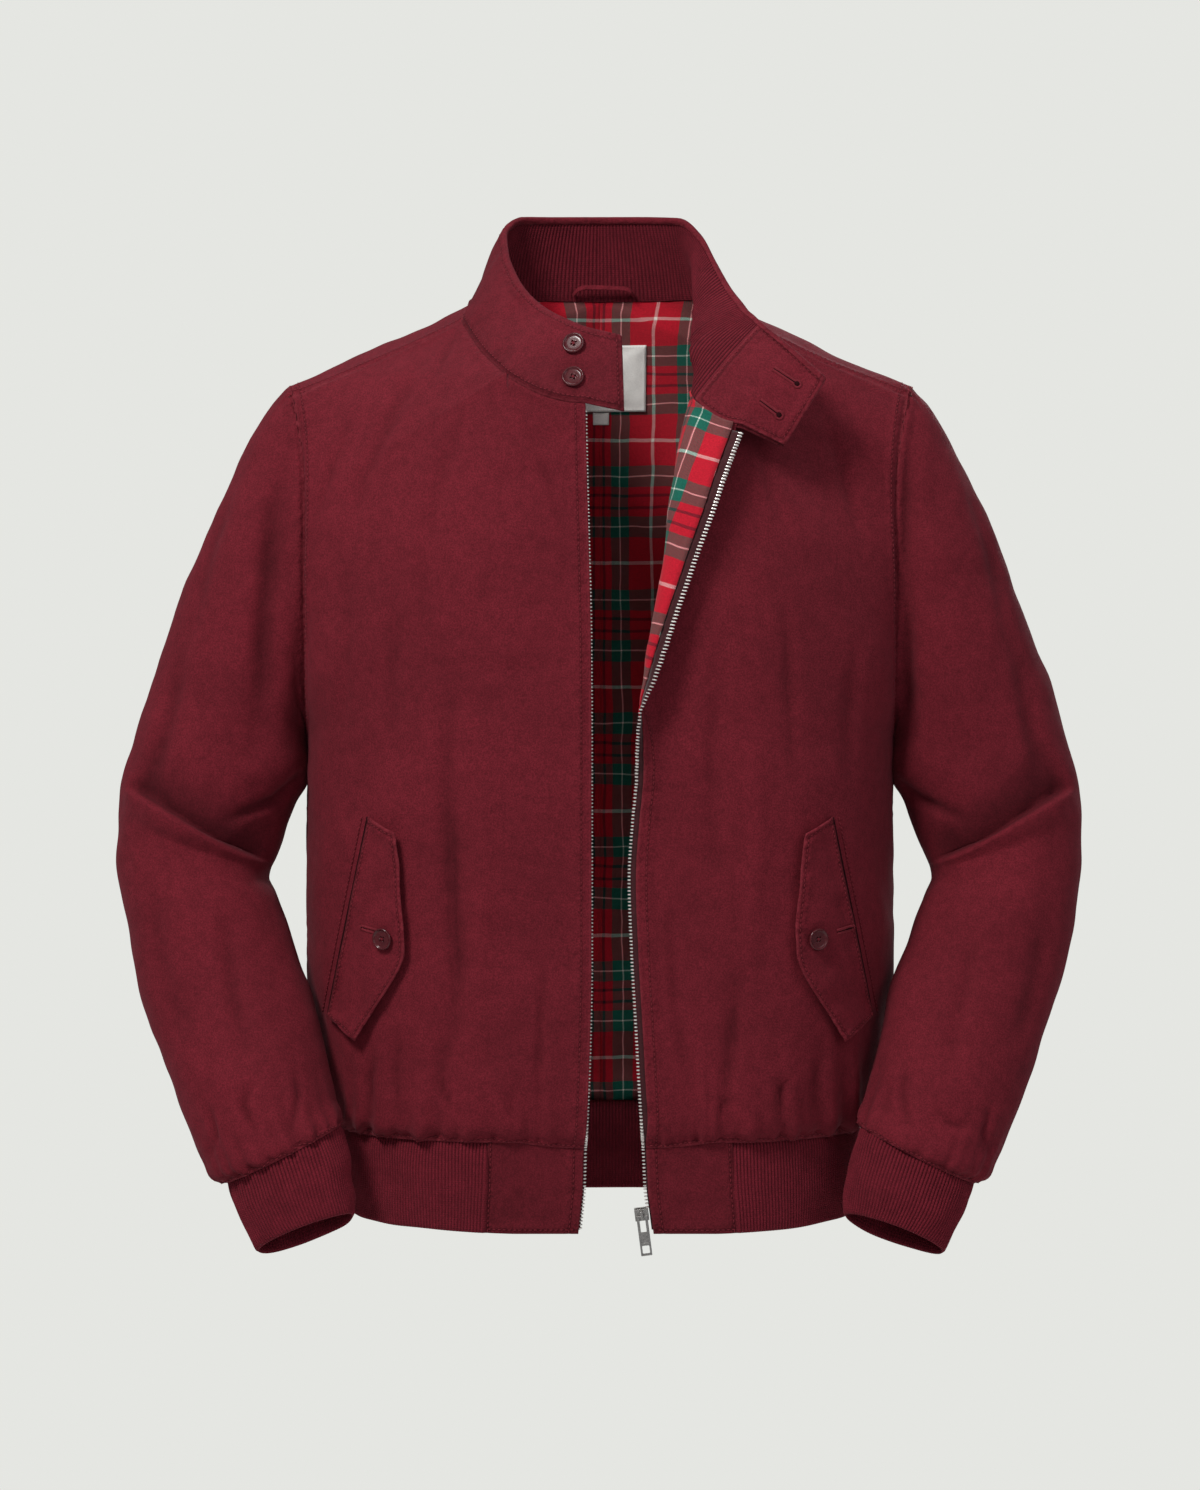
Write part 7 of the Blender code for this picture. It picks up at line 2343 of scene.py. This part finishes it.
def floor():
    """A plain pale floor well below the jacket, which hangs above it as on a stand."""
    sides = 96
    rim = [(FLOOR[0] * math.cos(a), FLOOR[0] * math.sin(a), FLOOR[1]) for a in np.arange(sides) * 2 * math.pi / sides]
    mesh = mesh_from("floor", [*rim, (0, 0, FLOOR[1])], [(k, (k + 1) % sides, sides, -1) for k in range(sides)])
    paint = Nodes("floor_paint")
    noise = paint.noise(paint.where(), 3.0)
    paint.set(Base_Color=paint.mix("MIX", noise, *FLOOR_PAINT), Roughness=0.9)
    away = paint.node("ShaderNodeVectorMath", {0: paint.where()}, operation="LENGTH").outputs["Value"]
    fade = paint.range(away, 2.0, math.hypot(*FLOOR), 0.55, 1.0)
    seen = paint.node("ShaderNodeLightPath").outputs["Is Camera Ray"]
    glow = paint.node("ShaderNodeEmission", {"Color": BACKDROP}).outputs[0]
    both = paint.node("ShaderNodeMixShader", {0: paint.math("MULTIPLY", seen, fade), 2: glow})
    paint.tree.links.new(paint.shader.outputs[0], both.inputs[1])
    paint.tree.links.new(both.outputs[0], paint.tree.nodes["Material Output"].inputs["Surface"])
    mesh.materials.append(paint.material)
    made = bpy.data.objects.new("floor", mesh)
    bpy.context.scene.collection.objects.link(made)


# ---------------------------------------------------------------- everything together


def body_seams(sheets, done, thread):
    """Topstitching along the body's and the sleeves' seams."""
    pit = len(LOW) - 1
    for side_ in ("right", "left"):
        sheet, outer = sheets[f"front_{side_}"], done[f"front_{side_}"]
        rows, columns = sheet.here.shape
        neck = len(LOW) + FRONT_UP.index(NECK_V)
        thread.across(sheet, outer, range(1, neck + 1), ZIP_SEWN, True)
        thread.across(sheet, outer, range(pit, rows), ARMHOLE_SEWN, False)
        thread.along(sheet, outer, range(2, columns), HEM_SEWN, True)
        sleeve, sleeve_outer = sheets[f"sleeve_{side_}"], done[f"sleeve_{side_}"]
        thread.along(sleeve, sleeve_outer, [*range(sleeve.p.shape[1]), 0], HEM_SEWN, False)
    sheet, outer = sheets["back"], done["back"]
    rows, columns = sheet.here.shape
    half = columns // 2
    for first in (True, False):
        thread.across(sheet, outer, range(pit, rows), ARMHOLE_SEWN, first)
    thread.along(sheet, outer, range(0, columns), HEM_SEWN, True)
    for part in (range(0, half), range(half, columns)):
        thread.along(sheet, outer, part, NECK_SEWN, False)


# Where the picture shows each buttonhole's ends, the piece it is cut in, and the radius of its eyelet.
BUTTONHOLES = (
    ("collar_facing_left_cloth", (774, 369), (797, 384), 0.0023),
    ("collar_facing_left_cloth", (760, 401), (779, 415), 0.0023),
    ("pocket_flap_right_cloth", (378, 932), (362, 927.5), 0.0008),
    ("pocket_flap_left_cloth", (837, 932), (853, 927.5), 0.0008),
)


SILK_PITCH = 0.00052


def buttonholes(looks, thread):
    """Buttonholes worked in silk, with dark plugs of painted shade in their slots and eyelets."""
    slots_points, slots_faces = [], []
    for piece, *places, eyelet in BUTTONHOLES:
        tree = tree_of(bpy.data.objects[piece])
        start, end = (tree.ray_cast(Vector(CAMERA_AT), Vector(sight(*place))) for place in places)
        a, b = np.array(start[0]), np.array(end[0])
        out = unit(np.array(start[1]) + np.array(end[1]))
        out = out if out @ (np.array(CAMERA_AT) - a) > 0 else -out
        way = unit(b - a)
        side_ = np.cross(out, way)
        length = np.linalg.norm(b - a)
        outline = [a + side_ * 0.0007 + way * t for t in np.linspace(0, length - 0.002, 24)]
        outline += [b + (way * -math.cos(t) + side_ * math.sin(t)) * eyelet for t in np.linspace(0.5, 5.78, 16)]
        outline += [a - side_ * 0.0007 + way * t for t in np.linspace(length - 0.002, 0, 24)]
        path = np.array([on_cloth(tree, p)[0] for p in outline])
        gone = lengths_to(path)
        for at in np.arange(0, gone[-1], SILK_PITCH):
            over = unit(np.cross(out, unit(read_at(at + 0.0004, gone, path) - read_at(at - 0.0004, gone, path))))
            thread.stitch(read_at(at, gone, path) + over * 0.0006 + out * 0.00030, over, out, 0.0023, 0.00036)
        corners = ((a - way * 0.0002, 1), (a - way * 0.0002, -1), (b - way * 0.001, -1), (b - way * 0.001, 1))
        # Dark plugs of painted shade that stand for the shadow in the slot and the eyelet.
        plug(slots_points, slots_faces, [p + side_ * sign * 0.0005 + out * 0.00045 for p, sign in corners], out)
        turns = np.arange(16) * math.pi / 8
        plug(slots_points, slots_faces,
             [b + (way * math.cos(t) + side_ * math.sin(t)) * eyelet * 0.90 + out * 0.00050 for t in turns], out)
    link("buttonhole_slot_shadows", mesh_from("buttonhole_slot_shadows", slots_points, slots_faces), looks["dark"])


def plug(points, faces, outline, out, depth=0.0008):
    """Adds a closed flat prism under an outline."""
    n, base = len(outline), len(points)
    points += [*outline, *(p - out * depth for p in outline)]
    middle = np.mean(outline, axis=0)
    points += [middle, middle - out * depth]
    for k in range(n):
        a, b = base + k, base + (k + 1) % n
        faces += [(a, b, b + n, a + n), (b, a, base + 2 * n, -1), (a + n, b + n, base + 2 * n + 1, -1)]


def on_cloth(tree, point):
    """(place, normal) of the nearest place on the cloth."""
    place, normal, _, _ = tree.find_nearest(Vector(point))
    return np.array(place), np.array(normal)


def seat_on(tree, x, z, reach=0.0062):
    """(point, outward normal) on which a button rests on a curved cloth."""
    middle = cast(tree, x, z)[0]
    ring = [cast(tree, x + reach * math.cos(a), z + reach * math.sin(a))[0] for a in np.arange(8) * math.pi / 4]
    out = unit(np.cross(ring[0] - ring[4], ring[2] - ring[6]))
    out = out if out[1] < 0 else -out
    return middle + out * max(0.0, *(float(np.dot(p - middle, out)) for p in ring)), out


def collar_buttons(done, looks, thread):
    """The collar's two buttons, where the CAD ones are, turned with its cloth."""
    outer, c = done["collar"]
    tree = tree_of(bpy.data.objects["collar_outer_cloth"])
    for name, station in COLLAR_BUTTONS:
        low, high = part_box(name)
        place, out = on_cloth(tree, (np.array(low) + np.array(high)) / 2)
        column = np.argmin(np.abs(-c - station))
        right = unit(outer[12, column] - outer[12, column + 1])
        right = right if right[0] > 0 else -right
        add_button(name, place + out * 0.0005, right, out, looks, thread)


def main():
    """The whole scene. The pieces are made in an order in which each one's neighbours are there before it."""
    looks = {"twill": twill_look(), "rib": knit_look(), "check": check_look(), "button": button_look(),
             "tape": tape_look(), "nickel": metal_look("antique_nickel", NICKEL, 0.55),
             "steel": metal_look("dull_nickel", STEEL, 0.85), "label": label_look(), "thread": thread_look(),
             "dark": slot_shade_look(), "ditch": ditch_shade_look()}
    sheets, done = build_sheets(), {}
    thread, trim, pale = Thread(7), Thread(8), Thread(9)
    for side_ in ("right", "left"):
        front_pieces(sheets, side_, looks, done)
        sleeve_pieces(sheets, side_, looks, done)
    lining_back = back_pieces(sheets, looks, done)
    hem_pieces(sheets, looks, done, thread)
    body_seams(sheets, done, thread)
    collar_pieces(looks, done, trim)
    trees = {f"front_{s}": tree_of(bpy.data.objects[f"front_{s}_cloth"]) for s in ("right", "left")}
    collar_buttons(done, looks, trim)
    for side_ in ("right", "left"):
        tree = flap_pieces(side_, looks, trees, trim, thread)
        mirror = 1 if side_ == "left" else -1
        point, out = seat_on(tree, mirror * FLAP_BUTTON[0], FLAP_BUTTON[1])
        add_button(f"pocket_button_{side_}", point + out * 0.0008, (1, 0, 0), out, looks, trim)
    zip_pieces(sheets, done, "right", looks)
    slider_pieces(*zip_pieces(sheets, done, "left", looks), looks)
    label_pieces(tree_of(lining_back), looks, pale)
    loop_piece(looks)
    buttonholes(looks, trim)
    thread.build("body_stitching", looks["thread"])
    trim.build("collar_and_flap_stitching", looks["thread"])
    pale.build("label_stitching", looks["label"])
    studio()


main()
bpy.context.view_layer.update()
